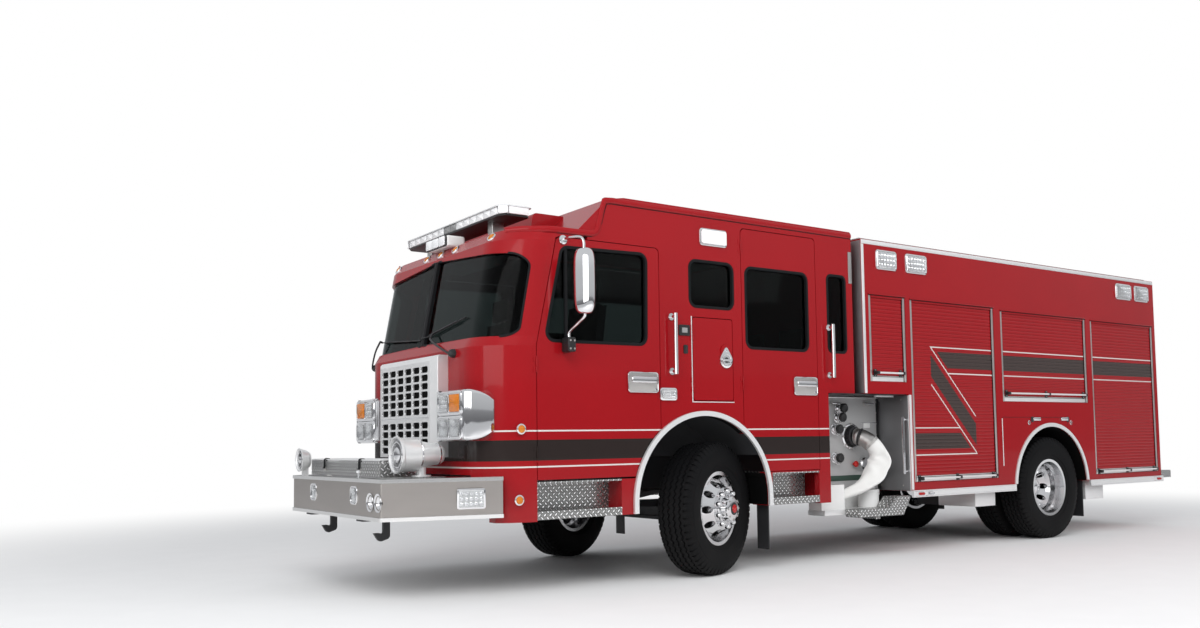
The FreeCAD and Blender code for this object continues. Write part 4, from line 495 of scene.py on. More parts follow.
def brushed_grain():
    """Fine lines along X, as a brush leaves on metal, with slow variation."""
    def build(nodes, given):
        whole = nodes.place()[0]
        lines = nodes.noise(nodes.stretch(whole, (3.0, 40.0, 900.0)), 1.0, 3.0)
        slow = nodes.noise(nodes.stretch(whole, (1.0, 1.0, 5.0)), 2.0, 2.0)
        rough = nodes.math("ADD", given["Roughness"], nodes.math("MULTIPLY", lines, given["Spread"]))
        return rough, lines, slow
    inputs = {"Roughness": 0.25, "Spread": 0.15}
    return effect("Brushed grain", inputs, ("Roughness", "Height", "Cloud"), build)


def diamond_plate():
    """Raised bars that lie crosswise in turn, on whichever way a surface faces."""
    def build(nodes, given):
        _, x, y, z = nodes.place()
        normal = nodes.add("ShaderNodeSeparateXYZ")
        nodes.feed(normal.inputs[0], nodes.add("ShaderNodeTexCoord").outputs["Normal"])
        faces_x = nodes.step(nodes.math("ABSOLUTE", normal.outputs[0]), 0.8, 0.05)
        faces_z = nodes.step(nodes.math("ABSOLUTE", normal.outputs[2]), 0.6, 0.05)
        u = nodes.blend(faces_x, x, y)
        v = nodes.blend(faces_z, z, y)
        along = nodes.math("DIVIDE", nodes.math("ADD", u, v), given["Pitch"])
        over = nodes.math("DIVIDE", nodes.math("SUBTRACT", u, v), given["Pitch"])
        parity = nodes.math("MODULO", nodes.math("ABSOLUTE", nodes.math("ADD", nodes.math("FLOOR", along),
            nodes.math("FLOOR", over))), 2.0)
        a = nodes.math("SUBTRACT", nodes.math("FRACT", along), 0.5)
        b = nodes.math("SUBTRACT", nodes.math("FRACT", over), 0.5)
        long = nodes.blend(parity, a, b)
        short = nodes.blend(parity, b, a)
        reach = nodes.math("ADD", nodes.math("POWER", nodes.math("DIVIDE", long, 0.46), 2.0),
            nodes.math("POWER", nodes.math("DIVIDE", short, 0.19), 2.0))
        height = nodes.math("SUBTRACT", 1.0, nodes.step(reach, 0.8, 0.6))
        # A ring round each bar, used as a painted shadow at its foot.
        rim = nodes.band(reach, 1.1, 2.6, 0.5)
        return height, rim
    return effect("Diamond plate", {"Pitch": 0.032}, ("Height", "Rim"), build)


def road_film():
    """Road dust, thicker low down."""
    def build(nodes, given):
        whole, _, _, z = nodes.place()
        low = nodes.math("SUBTRACT", 1.0, nodes.step(z, 0.55, 0.9))
        patch = nodes.noise(whole, 6.0, 4.0)
        return (nodes.math("MULTIPLY", nodes.math("MULTIPLY", low, patch), given["Amount"]),)
    return effect("Road film", {"Amount": 0.3}, ("Mask",), build)


class Surface:
    """A material with one Principled shader and calls for what feeds it."""

    def __init__(self, name, colour, rough=0.5, metal=0.0, **sockets):
        self.material = bpy.data.materials.new(name)
        self.material.use_nodes = True
        self.nodes = Nodes(self.material.node_tree)
        self.shader = self.material.node_tree.nodes["Principled BSDF"]
        self.set("Base Color", colour)
        self.set("Roughness", rough)
        self.set("Metallic", metal)
        for key, value in sockets.items():
            self.set(key.replace("_", " "), value)

    def set(self, name, value):
        self.nodes.feed(self.shader.inputs[name], value)

    def group(self, tree, **values):
        node = self.nodes.add("ShaderNodeGroup", node_tree=tree)
        for key, value in values.items():
            self.nodes.feed(node.inputs[key.replace("_", " ")], value)
        return node.outputs

    def bump(self, height, strength, distance):
        node = self.nodes.add("ShaderNodeBump")
        self.nodes.feed(node.inputs["Height"], height)
        node.inputs["Strength"].default_value = strength
        node.inputs["Distance"].default_value = distance
        self.set("Normal", node.outputs[0])

    def shade(self, factor, first, second):
        """The base colour moves from first to second with a factor."""
        self.set("Base Color", self.nodes.mix(factor, first, second))


def darker(colour, share):
    """A share of a colour."""
    return tuple(channel * share for channel in colour)


LINE_SOFT = 0.0015

# Level bands of the stripe: low and high edges of the dark parts, middles of the pale lines
CAB_BAND = (0.966, 1.115)
CAB_LINES = (1.18, 0.921)


def sprayed(name, striped=None, lined_and_shaded=False, deep=0.4):
    """Gloss body paint, with the stripes that striped draws; on the cab's sides the inner faces are near
    black, a dark lining with painted shade of the cab's interior.
    """
    red = tuple(paint().body)
    surface = Surface(name, red, 0.22, Coat_Weight=0.3, Coat_Roughness=0.03, Specular_IOR_Level=0.15)
    nodes = surface.nodes
    peel = surface.group(orange_peel(), Scale=60.0, Depth=1.0)
    base = nodes.mix(peel["Cloud"], darker(red, 0.92), darker(red, 1.06))
    if striped:
        dark, pale = striped(nodes)
        base = nodes.mix(dark, base, darker(paint().band, deep))
        base = nodes.mix(pale, base, tuple(paint().line))
    if lined_and_shaded:
        # Painted shade: faces more than 32 mm in from the cab's side and above 1.5 m go near black, for the
        # dark lining and the shaded inside of the cab.
        _, _, y, z = nodes.place()
        depth = nodes.math("SUBTRACT", CAB_SIDE, nodes.math("ABSOLUTE", y))
        inside = nodes.math("MULTIPLY", nodes.step(depth, 0.032, 0.004), nodes.step(z, 1.5, 0.02))
        base = nodes.mix(inside, base, (0.03, 0.03, 0.032))
    film = surface.group(road_film(), Amount=0.1)
    surface.set("Base Color", nodes.mix(film["Mask"], base, (0.1, 0.07, 0.06)))
    surface.set("Roughness", nodes.blend(film["Mask"], 0.2, 0.6))
    surface.bump(peel["Height"], 0.02, 0.002)
    return surface.material


def cab_stripes(nodes):
    """The level dark band of the cab between its two pin lines."""
    z = nodes.place()[3]
    half = sizes().line_width / 2
    dark = nodes.band(z, *CAB_BAND, LINE_SOFT)
    pale = nodes.math("ADD", *(nodes.band(z, at - half, at + half, LINE_SOFT) for at in CAB_LINES))
    return dark, pale


def curtain_stripes(nodes):
    """The stepped stripe of the roll-up doors: low in front, a diagonal, and high behind."""
    _, x, y, z = nodes.place()
    side = nodes.step(nodes.math("ABSOLUTE", y), BODY_SIDE - 0.1, 0.01)
    slope = nodes.math("SUBTRACT", z, x)
    half = sizes().line_width / 2
    ahead = nodes.step(x, -0.53, LINE_SOFT)
    behind = nodes.math("SUBTRACT", 1.0, ahead)
    tail = nodes.step(x, -1.2, LINE_SOFT)
    middle = nodes.math("MULTIPLY", behind, tail)

    def over(mask, *limits):
        for limit in limits:
            mask = nodes.math("MULTIPLY", mask, limit)
        return mask

    past_high = nodes.step(slope, 2.494, LINE_SOFT)
    before_low = nodes.math("SUBTRACT", 1.0, nodes.step(slope, 2.128, LINE_SOFT))
    upper = over(nodes.band(z, 1.762, 1.92, LINE_SOFT), nodes.step(slope, 2.545, LINE_SOFT), behind)
    lower = over(nodes.band(z, 0.978, 1.13, LINE_SOFT), nodes.math("SUBTRACT", 1.0,
        nodes.step(slope, 2.085, LINE_SOFT)))
    across = over(nodes.band(slope, 2.205, 2.42, LINE_SOFT), middle)
    dark = nodes.math("MAXIMUM", nodes.math("MAXIMUM", upper, lower), across)
    lines = (
        (z, 1.962, half, past_high),
        (z, 1.71, half, past_high),
        (z, 1.18, half, before_low),
        (z, 0.923, half, before_low),
        (slope, 2.494, 1.4 * half, middle),
        (slope, 2.128, 1.4 * half, middle))
    pale = None
    for way, at, wide, limit in lines:
        line = over(nodes.band(way, at - wide, at + wide, LINE_SOFT), limit)
        pale = line if pale is None else nodes.math("MAXIMUM", pale, line)
    return over(dark, side), over(pale, side)


def brushed(name, colour, rough, spread, bump=0.03, metal=1.0):
    """Brushed metal with fine level lines."""
    surface = Surface(name, colour, rough, metal)
    grain = surface.group(brushed_grain(), Roughness=rough, Spread=spread)
    surface.shade(grain["Cloud"], darker(colour, 0.9), colour)
    surface.set("Roughness", grain["Roughness"])
    surface.bump(grain["Height"], bump, 0.001)
    return surface.material


def bumper_metal(name, colour, low, high):
    """Brushed metal whose rolled lips, outside of two heights, are polished and painted near white, a
    painted highlight along them.
    """
    surface = Surface(name, colour, 0.3, 1.0)
    nodes = surface.nodes
    grain = surface.group(brushed_grain(), Roughness=0.3, Spread=0.14)
    face = nodes.band(nodes.place()[3], low, high, 0.003)
    dull = nodes.mix(grain["Cloud"], darker(colour, 0.88), colour)
    # The lips' near-white colour is a painted highlight; their low roughness is their polish.
    surface.shade(face, (0.86, 0.85, 0.84), dull)
    surface.set("Roughness", nodes.blend(face, 0.1, grain["Roughness"]))
    surface.bump(grain["Height"], 0.02, 0.001)
    return surface.material


def polished(name, colour, rough, dust=0.15):
    """Polished metal under a little road dust."""
    surface = Surface(name, colour, rough, 1.0)
    film = surface.group(road_film(), Amount=dust)
    peel = surface.group(orange_peel(), Scale=14.0, Depth=1.0)
    surface.shade(film["Mask"], colour, (0.3, 0.28, 0.26))
    surface.set("Roughness", surface.nodes.blend(film["Mask"], rough, 0.5))
    surface.bump(peel["Height"], 0.03, 0.002)
    return surface.material


def tread_plate(name):
    """Bright metal with raised bars; the bars are painted near white as a painted glint, the ground between
    them darker as painted shade, with a near-black painted shadow ring round each bar.
    """
    surface = Surface(name, (0.72, 0.73, 0.74), 0.22, 0.85)
    plate = surface.group(diamond_plate(), Pitch=0.046)
    # Painted light: dark ground as painted shade, a near-black painted shadow ring round each bar, and
    # near-white bars as a painted glint.
    ground = surface.nodes.mix(plate["Rim"], (0.4, 0.4, 0.39), (0.03, 0.03, 0.03))
    surface.shade(plate["Height"], ground, (0.98, 0.98, 0.98))
    surface.set("Roughness", surface.nodes.blend(plate["Height"], 0.42, 0.14))
    surface.bump(plate["Height"], 0.8, 0.004)
    return surface.material


def rubber(name, colour, rough, dust):
    """Dull rubber that holds dust low down."""
    surface = Surface(name, colour, rough, Specular_IOR_Level=0.12)
    film = surface.group(road_film(), Amount=dust)
    peel = surface.group(orange_peel(), Scale=420.0, Depth=1.0)
    surface.shade(film["Mask"], colour, (0.085, 0.08, 0.074))
    surface.set("Roughness", surface.nodes.blend(peel["Cloud"], rough - 0.06, rough + 0.08))
    surface.bump(peel["Height"], 0.15, 0.0008)
    return surface.material


def plastic(name, colour, rough, scale=260.0, bump=0.1):
    """Moulded or powder-coated plastic with a fine grain."""
    surface = Surface(name, colour, rough)
    peel = surface.group(orange_peel(), Scale=scale, Depth=1.0)
    surface.shade(peel["Cloud"], darker(colour, 0.88), darker(colour, 1.08))
    surface.set("Roughness", surface.nodes.blend(peel["Cloud"], rough - 0.05, rough + 0.06))
    surface.bump(peel["Height"], bump, 0.0008)
    return surface.material


def tinted_glass(name, colour, alpha_clear):
    """Dark glass with a little see-through and a clean reflection."""
    surface = Surface(name, colour, 0.03, IOR=1.15, Transmission_Weight=alpha_clear)
    cloud = surface.group(orange_peel(), Scale=3.0, Depth=1.0)
    surface.set("Roughness", surface.nodes.blend(cloud["Cloud"], 0.015, 0.05))
    return surface.material


def lens(name, colour, weight, rough=0.08):
    """A moulded lens with fine ribs."""
    surface = Surface(name, colour, rough, IOR=1.49, Transmission_Weight=weight)
    peel = surface.group(orange_peel(), Scale=130.0, Depth=1.0)
    surface.bump(peel["Height"], 0.25, 0.002)
    return surface.material


def woven(name, colour):
    """A woven hose jacket: ribs across two ways, a little soil."""
    surface = Surface(name, colour, 0.8, Sheen_Weight=0.25, Specular_IOR_Level=0.25)
    nodes = surface.nodes
    whole = nodes.place()[0]
    warp = nodes.noise(nodes.stretch(whole, (240.0, 240.0, 1100.0)), 1.0, 2.0)
    soil = nodes.noise(whole, 9.0, 4.0)
    surface.shade(soil, darker(colour, 0.86), colour)
    surface.bump(warp, 0.25, 0.002)
    return surface.material


def vinyl(name, colour):
    """Grained seat cover."""
    surface = Surface(name, colour, 0.5)
    nodes = surface.nodes
    whole = nodes.place()[0]
    cells = nodes.add("ShaderNodeTexVoronoi")
    nodes.feed(cells.inputs["Vector"], whole)
    nodes.feed(cells.inputs["Scale"], 420.0)
    cloud = nodes.noise(whole, 5.0, 3.0)
    surface.shade(cloud, darker(colour, 0.8), darker(colour, 1.15))
    surface.set("Roughness", nodes.blend(cloud, 0.42, 0.6))
    surface.bump(cells.outputs["Distance"], 0.2, 0.0008)
    return surface.material


FINISHES = {}


def finish(name):
    """The finished material of that name, made when it is first asked for."""
    if name not in FINISHES:
        FINISHES[name] = RECIPES[name]()
    return FINISHES[name]


RECIPES = {
    "red_paint": lambda: sprayed("Red paint"),
    "striped_paint": lambda: sprayed("Red paint with band", cab_stripes),
    # Cab sides and doors: their inner faces take a dark lining with painted shade.
    "lined_shaded_paint": lambda: sprayed("Red paint with band and shaded lining", cab_stripes, True),
    "curtain_paint": lambda: sprayed("Red curtain with stripe", curtain_stripes, False, 0.9),
    "stainless": lambda: brushed("Brushed stainless", (0.6, 0.58, 0.56), 0.3, 0.14),
    "bumper_metal": lambda: bumper_metal("Bumper metal", (0.5, 0.465, 0.44), 0.601, 0.834),
    "bay_panel": lambda: brushed("Pump panel", (0.44, 0.44, 0.44), 0.42, 0.14, 0.03, 0.15),
    "liner": lambda: brushed("Pump bay liner", (0.4, 0.4, 0.41), 0.42, 0.14),
    "green_label": lambda: plastic("Dark green strip", (0.03, 0.06, 0.045), 0.45),
    "white_paint": lambda: plastic("White enamel", (0.78, 0.78, 0.77), 0.3, 90.0, 0.04),
    "satin": lambda: brushed("Satin aluminium", (0.86, 0.86, 0.86), 0.26, 0.12, 0.03, 0.55),
    "chrome": lambda: polished("Chrome", (0.86, 0.86, 0.87), 0.05),
    "wheel_metal": lambda: polished("Polished wheel", (0.84, 0.84, 0.85), 0.1, 0.35),
    "tread_plate": lambda: tread_plate("Bright tread plate"),
    "tyre": lambda: rubber("Tyre rubber", (0.0045, 0.0045, 0.005), 0.62, 0.07),
    "seal": lambda: rubber("Window rubber", (0.01, 0.01, 0.011), 0.5, 0.1),
    # Near black, darker than any real surface: the dark of arch linings and radiator core with painted shade
    # in it.
    "dark_painted_shade": lambda: rubber("Dark with painted shade", (0.002, 0.002, 0.002), 0.9, 0.0),
    "black_plastic": lambda: plastic("Black plastic", (0.014, 0.014, 0.015), 0.4),
    "black_metal": lambda: plastic("Black powder coat", (0.022, 0.022, 0.024), 0.5, 140.0),
    "chassis": lambda: plastic("Chassis black", (0.018, 0.018, 0.02), 0.48, 60.0),
    "engine": lambda: plastic("Engine paint", (0.05, 0.05, 0.052), 0.55, 40.0, 0.3),
    "dark_trim": lambda: plastic("Dark trim", (0.03, 0.03, 0.032), 0.55),
    "interior": lambda: plastic("Cab lining", (0.045, 0.046, 0.05), 0.7, 300.0, 0.2),
    "glass": lambda: tinted_glass("Tinted glass", (0.13, 0.16, 0.155), 1.0),
    "clear_lens": lambda: lens("Clear lens", (0.93, 0.94, 0.95), 0.88),
    "frosted_lens": lambda: lens("Frosted lens", (0.95, 0.95, 0.96), 0.12, 0.16),
    "lamp_grey": lambda: plastic("Grey lamp body", (0.28, 0.28, 0.28), 0.4),
    "pale_cover": lambda: plastic("Pale lamp cover", (0.62, 0.63, 0.64), 0.25),
    "pale_reflector": lambda: plastic("Pale lamp reflector", (0.74, 0.74, 0.74), 0.3, 30.0, 0.3),
    "amber_lens": lambda: lens("Amber lens", tuple(paint().amber), 0.5),
    "red_lens": lambda: lens("Red lens", tuple(paint().red_lens), 0.5),
    "reflector": lambda: polished("Lamp reflector", (0.92, 0.92, 0.92), 0.12, 0.0),
    "hose": lambda: woven("Hose jacket", (0.8, 0.8, 0.78)),
    "seat": lambda: vinyl("Seat vinyl", (0.035, 0.035, 0.038)),
    "white_label": lambda: plastic("Blank label", (0.75, 0.75, 0.74), 0.4),
    "red_knob": lambda: plastic("Red knob", (0.45, 0.015, 0.012), 0.35)}


# The finish of each CAD node; "both" in a name stands for left and right
NODE_FINISHES = {
    "chassis": ("frame_rails", "leaf_springs", "front_axle", "rear_axle", "knuckle_both"),
    "black_metal": ("underbody", "tow_hooks", "suction_elbow"),
    "engine": ("powertrain",),
    "wheel_metal": ("front_wheel_both", "rear_wheels_both"),
    "striped_paint": ("cab_front",),
    "lined_shaded_paint": ("cab_sides", "door_front_both", "door_rear_both", "locker_door_both"),
    "red_paint": ("cab_roof", "cab_rear", "body_sides", "body_ends"),
    "interior": ("cab_interior",),
    "glass": ("cab_glass", "door_glass_front_both", "door_glass_rear_both"),
    "chrome": ("mirror_both", "headlights", "grab_rails", "pump_fittings"),
    "tread_plate": ("hose_lid_both", "steps"),
    "bumper_metal": ("front_bumper",),
    "seat": ("seats",),
    "white_paint": ("pump_tray",),
    "satin": ("sirens", "grille", "side_trims", "hose_bed"),
    "bay_panel": ("pump_panels",)}


# Stage and camera

PHOTO_SIZE = (1200, 628)
CAMERA_PLACE = (7.6235, 7.726, 1.086)
CAMERA_YAW = radians(233.89)
CAMERA_PITCH = radians(3.71)
CAMERA_ROLL = radians(-0.9)
FOCAL_PIXELS = 1044.0
PICTURE_CENTRE = (645.65, 374.48)
FLOOR_REACH = 60.0


def make_camera():
    """The camera fitted to the photograph's straight edges."""
    width, height = PHOTO_SIZE
    data = bpy.data.cameras.new("Camera")
    data.sensor_width = 36.0
    data.lens = FOCAL_PIXELS * data.sensor_width / width
    data.shift_x = (width / 2 - PICTURE_CENTRE[0]) / width
    data.shift_y = (PICTURE_CENTRE[1] - height / 2) / width
    data.clip_end = 200.0
    flat = cos(CAMERA_PITCH)
    ahead = Vector((flat * cos(CAMERA_YAW), flat * sin(CAMERA_YAW), sin(CAMERA_PITCH)))
    right = ahead.cross(Vector((0, 0, 1))).normalized()
    up = right.cross(ahead)
    across = right * cos(CAMERA_ROLL) + up * sin(CAMERA_ROLL)
    over = up * cos(CAMERA_ROLL) - right * sin(CAMERA_ROLL)
    turn = Matrix((across, over, -ahead)).transposed().to_4x4()
    camera = bpy.data.objects.new("Camera", data)
    camera.matrix_world = Matrix.Translation(Vector(CAMERA_PLACE)) @ turn
    bpy.context.scene.collection.objects.link(camera)
    bpy.context.scene.camera = camera
    return camera


def area_light(name, place, target, size, power):
    """A rectangular light aimed at a point."""
    data = bpy.data.lights.new(name, "AREA")
    data.shape = "RECTANGLE"
    data.size, data.size_y = size
    data.energy = power
    lamp = bpy.data.objects.new(name, data)
    lamp.matrix_world = aim(place, Vector(place) - Vector(target))
    bpy.context.scene.collection.objects.link(lamp)
    return lamp


def make_floor():
    """A pale floor, shaded near the vehicle and plain white to the camera further out."""
    made = bpy.data.materials.new("Floor")
    made.use_nodes = True
    nodes = Nodes(made.node_tree)
    shader = made.node_tree.nodes["Principled BSDF"]
    whole = nodes.place()[0]
    grain = nodes.noise(whole, 3.0, 4.0)
    nodes.feed(shader.inputs["Base Color"], nodes.mix(grain, (0.8, 0.8, 0.8), (0.84, 0.84, 0.84)))
    nodes.feed(shader.inputs["Roughness"], 0.9)
    nodes.feed(shader.inputs["Specular IOR Level"], 0.1)
    distance = nodes.add("ShaderNodeVectorMath", operation="LENGTH")
    nodes.feed(distance.inputs[0], whole)
    away = nodes.step(distance.outputs["Value"], 9.5, 7.0)
    path = nodes.add("ShaderNodeLightPath")
    seen = nodes.math("MULTIPLY", away, path.outputs["Is Camera Ray"])
    white = nodes.add("ShaderNodeEmission")
    blend = nodes.add("ShaderNodeMixShader")
    nodes.feed(blend.inputs[0], seen)
    made.node_tree.links.new(shader.outputs[0], blend.inputs[1])
    made.node_tree.links.new(white.outputs[0], blend.inputs[2])
    made.node_tree.links.new(blend.outputs[0], made.node_tree.nodes["Material Output"].inputs[0])
    mesh = bpy.data.meshes.new("Floor")
    corners = [(x * FLOOR_REACH, y * FLOOR_REACH, 0) for x, y in ((-1, -1), (1, -1), (1, 1), (-1, 1))]
    mesh.from_pydata(corners, [], [(0, 1, 2, 3)])
    mesh.materials.append(made)
    floor = bpy.data.objects.new("Floor", mesh)
    floor.location.z = -0.001
    bpy.context.scene.collection.objects.link(floor)
    return floor


def make_world():
    """White behind the object, a softer sky with a darker ground line in its reflections."""
    world = bpy.data.worlds.new("World")
    world.use_nodes = True
    bpy.context.scene.world = world
    nodes = Nodes(world.node_tree)
    world.node_tree.nodes.clear()
    sky = nodes.add("ShaderNodeBackground")
    white = nodes.add("ShaderNodeBackground")
    nodes.feed(white.inputs["Color"], (1.0, 1.0, 1.0))
    nodes.feed(white.inputs["Strength"], 1.0)
    split = nodes.add("ShaderNodeSeparateXYZ")
    nodes.feed(split.inputs[0], nodes.add("ShaderNodeTexCoord").outputs["Generated"])
    height = nodes.step(split.outputs[2], 0.12, 0.45)
    horizon = nodes.step(split.outputs[2], 0.062, 0.012)
    low = nodes.mix(horizon, (0.13, 0.13, 0.14), (0.5, 0.51, 0.53))
    nodes.feed(sky.inputs["Color"], nodes.mix(height, low, (0.95, 0.97, 1.0)))
    nodes.feed(sky.inputs["Strength"], 0.66)
    path = nodes.add("ShaderNodeLightPath")
    blend = nodes.add("ShaderNodeMixShader")
    sink = nodes.add("ShaderNodeOutputWorld")
    nodes.feed(blend.inputs[0], path.outputs["Is Camera Ray"])
    world.node_tree.links.new(sky.outputs[0], blend.inputs[1])
    world.node_tree.links.new(white.outputs[0], blend.inputs[2])
    world.node_tree.links.new(blend.outputs[0], sink.inputs[0])


def make_stage():
    """Floor, camera, world and three lights, put apart from the vehicle."""
    floor = make_floor()
    camera = make_camera()
    make_world()
    key = area_light("Key", (9.0, 9.0, 9.5), (0.5, 0.6, 1.2), (9.0, 6.0), 900.0)
    side = area_light("Side", (-4.0, 12.0, 6.0), (-1.5, 1.0, 1.4), (9.0, 4.0), 520.0)
    front = area_light("Front", (13.0, 5.0, 4.5), (3.5, 0.5, 1.4), (9.0, 5.0), 300.0)
    key.visible_glossy = False
    side.visible_glossy = False
    bpy.context.scene.view_settings.view_transform = "Standard"


def apply_finishes():
    """Give every CAD object its finished material."""
    for look, names in NODE_FINISHES.items():
        for name in names:
            pair = [name.replace("both", side) for _, side in SIDES] if "both" in name else [name]
            for node in pair:
                for slot in NODES[node].material_slots:
                    slot.material = finish(look)


# Wheels

TYRE_RADIUS = 0.538
PITCHES = 60
RIM_SEAT = 0.3005
PIN_TO_HUB = (Vector(JOINTS["spin_front_left"]["pos_m"]) - FRONT_PIN).length
FRONT_TYRE_AT = 0.135 - PIN_TO_HUB
FRONT_DISC_AT = FRONT_TYRE_AT + 0.1745
REAR_DISC_AT = 0.022
REAR_TYRES_AT = (1.072 - REAR_HUB.y, 0.723 - REAR_HUB.y)


def tread_columns(half):
    """The section across a tyre: (across, radius, how far it zigzags, how deep a shoulder slot cuts it)."""
    deep = sizes().tread_depth
    crown = half * 0.8
    side = [(0.1225, RIM_SEAT, 0, 0), (0.131, 0.3035, 0, 0), (0.135, 0.311, 0, 0),
        (half * 0.93, 0.338, 0, 0), (half * 0.945, 0.3395, 0, 0), (half * 0.955, 0.3445, 0, 0),
        (half * 0.965, 0.345, 0, 0), (half * 0.99, 0.375, 0, 0), (half * 0.9999, 0.415, 0, 0),
        (half * 0.985, 0.452, 0, 0), (half * 0.975, 0.4525, 0, 0), (half * 0.955, 0.47, 0, 0),
        (half * 0.93, 0.487, 0, 0.2), (half * 0.88, 0.508, 0, 0.7), (crown + 0.004, 0.5275, 0, 1.0),
        (crown - 0.006, 0.5345, 0, 1.0), (crown - 0.022, TYRE_RADIUS - 0.002, 0, 1.0),
        (crown - 0.0235, TYRE_RADIUS - 0.0019, 0, 0)]
    top = []
    for centre in (0.6, 0.2):
        middle = crown * centre
        rib = TYRE_RADIUS - 0.0015 * centre
        top += [(middle + 0.0085, rib, 1, 0), (middle + 0.005, rib - deep, 1, 0),
            (middle - 0.005, rib - deep, 1, 0), (middle - 0.0085, rib, 1, 0)]
    half_section = side + top
    other = [(-across, radius, zigzag, slot) for across, radius, zigzag, slot in reversed(half_section)]
    return half_section + other


def tyre_part(width):
    """A tyre about local Z: zigzag grooves round the tread, slots across its shoulders."""
    deep = sizes().tread_depth
    columns = tread_columns(width / 2)
    pitch = 2 * pi / PITCHES
    part = bmesh.new()
    rings = []
    for i in range(PITCHES):
        for share, slotted, wave in ((0.0, 0, -1), (0.44, 0, 1), (0.7, 0, 0.2), (0.745, 1, 0),
                (0.955, 1, -0.9)):
            angle = (i + share) * pitch
            ring = []
            for across, radius, zigzag, slot in columns:
                reach = radius - deep * slot * slotted
                place = across + zigzag * wave * 0.0075
                ring.append(part.verts.new((reach * cos(angle), reach * sin(angle), place)))
            rings.append(ring)
    for ring, following in zip(rings, rings[1:] + rings[:1]):
        for a, b, c, d in zip(ring, ring[1:], following[1:], following):
            part.faces.new((a, d, c, b))
    return normals_out(part)


def spin_frame(sign, name):
    """The matrix that stands local +Z along a wheel's outward axle at its hub point."""
    joint = JOINTS[name]
    outward = Vector(joint["axis"])
    if outward.y * sign < 0:
        outward = -outward
    return aim(joint["pos_m"], outward)


NUT_RADIUS = 0.023
NUT_LENGTH = 0.054


def cap_nut(place, piece):
    """A tall bright nut cover with six flats and a domed end."""
    radius = NUT_RADIUS
    length = NUT_LENGTH
    part = turned([(0, 0.0), (0, radius * 1.16), (0.006, radius * 1.16), (0.01, radius),
        (length * 0.72, radius * 0.92), (length * 0.9, radius * 0.72), (length, radius * 0.3),
        (length + 0.001, 0)], 18)
    piece.add(part, "chrome", place)


def ring_of(count, radius, height, turn=0.0):
    """Places round local Z, the first a share of a step past +X."""
    for i in range(count):
        angle = 2 * pi * (i + turn) / count
        yield move(radius * cos(angle), radius * sin(angle), height)


FRONT_TYRE_WIDTH = 0.315
REAR_TYRE_WIDTH = 0.295


def make_tyres():
    """One tyre on each front wheel, two on each rear hub."""
    for sign, side in SIDES:
        place = spin_frame(sign, "spin_front_" + side)
        piece = Piece("tyre_front_" + side)
        piece.add(tyre_part(FRONT_TYRE_WIDTH), "tyre", place @ move(0, 0, FRONT_TYRE_AT))
        made = piece.finish("front_wheel_" + side, "tyre", 32)
        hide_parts("front_tyre_" + side)
        place = spin_frame(sign, "spin_rear_" + side)
        piece = Piece("tyres_rear_" + side)
        for across in REAR_TYRES_AT:
            piece.add(tyre_part(REAR_TYRE_WIDTH), "tyre", place @ move(0, 0, across))
        made = piece.finish("rear_wheels_" + side, "tyre", 32)
        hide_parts("rear_tyres_" + side)


NUT_CIRCLE = 0.143

# Turned shapes as (height over the wheel's disc, radius)
FRONT_COVER = ((0.0005, 0.11), (0.006, 0.112), (0.012, 0.104), (0.06, 0.0945), (0.066, 0.1), (0.076, 0.1),
    (0.082, 0.092), (0.088, 0.07), (0.09, 0.03), (0.094, 0.026), (0.096, 0))
FRONT_RING = ((0.088, 0.052), (0.0925, 0.05), (0.093, 0.034))
FRONT_CENTRE = ((0.09, 0.036), (0.098, 0.033), (0.1005, 0.02), (0.101, 0))
REAR_COVER = ((0.0005, 0.113), (0.008, 0.115), (0.02, 0.108), (0.07, 0.103), (0.095, 0.098),
    (0.108, 0.084), (0.118, 0.058), (0.123, 0.03), (0.124, 0))


def hub_piece(sign, name, disc_at, cover):
    """A wheel's nut covers and bright hub cover, with the wheel's place."""
    piece = Piece("hub_" + name)
    place = spin_frame(sign, "spin_" + name)
    for spot in ring_of(sizes().lug_nuts, NUT_CIRCLE, disc_at, 0.5):
        cap_nut(place @ spot, piece)
    piece.add(turned(cover, 60, disc_at), "chrome", place)
    return piece, place


def make_hub_details():
    """Bright nut covers, hub covers and valve stems on each wheel."""
    at = FRONT_DISC_AT
    for sign, side in SIDES:
        piece, place = hub_piece(sign, "front_" + side, at, FRONT_COVER)
        piece.add(turned(FRONT_RING, 40, at), "black_plastic", place)
        piece.add(turned(FRONT_CENTRE, 40, at), "red_lens", place)
        for spot in ring_of(8, 0.084, at + 0.08, 0.0):
            bolt = turned([(0, 0.009), (0.008, 0.009), (0.011, 0.006), (0.012, 0)], 6)
            piece.add(bolt, "stainless", place @ spot)
        path = [(0.225, 0, at - 0.04), (0.205, 0, at - 0.004), (0.18, 0, at + 0.016)]
        piece.add(tube(smooth_path(path, 5), 0.008), "satin", place)
        piece.finish("front_wheel_" + side, "wheel")
        piece, place = hub_piece(sign, "rear_" + side, REAR_DISC_AT, REAR_COVER)
        for turn in (0.1, 0.45):
            out = Vector((cos(2 * pi * turn), sin(2 * pi * turn), 0))
            path = [out * reach + Vector((0, 0, lift)) for reach,
                lift in ((0.232, 0.1), (0.2, 0.06), (0.175, 0.045))]
            piece.add(tube(smooth_path(path, 5), 0.008), "satin", place)
        piece.finish("rear_wheels_" + side, "wheel")


# Roll-up doors

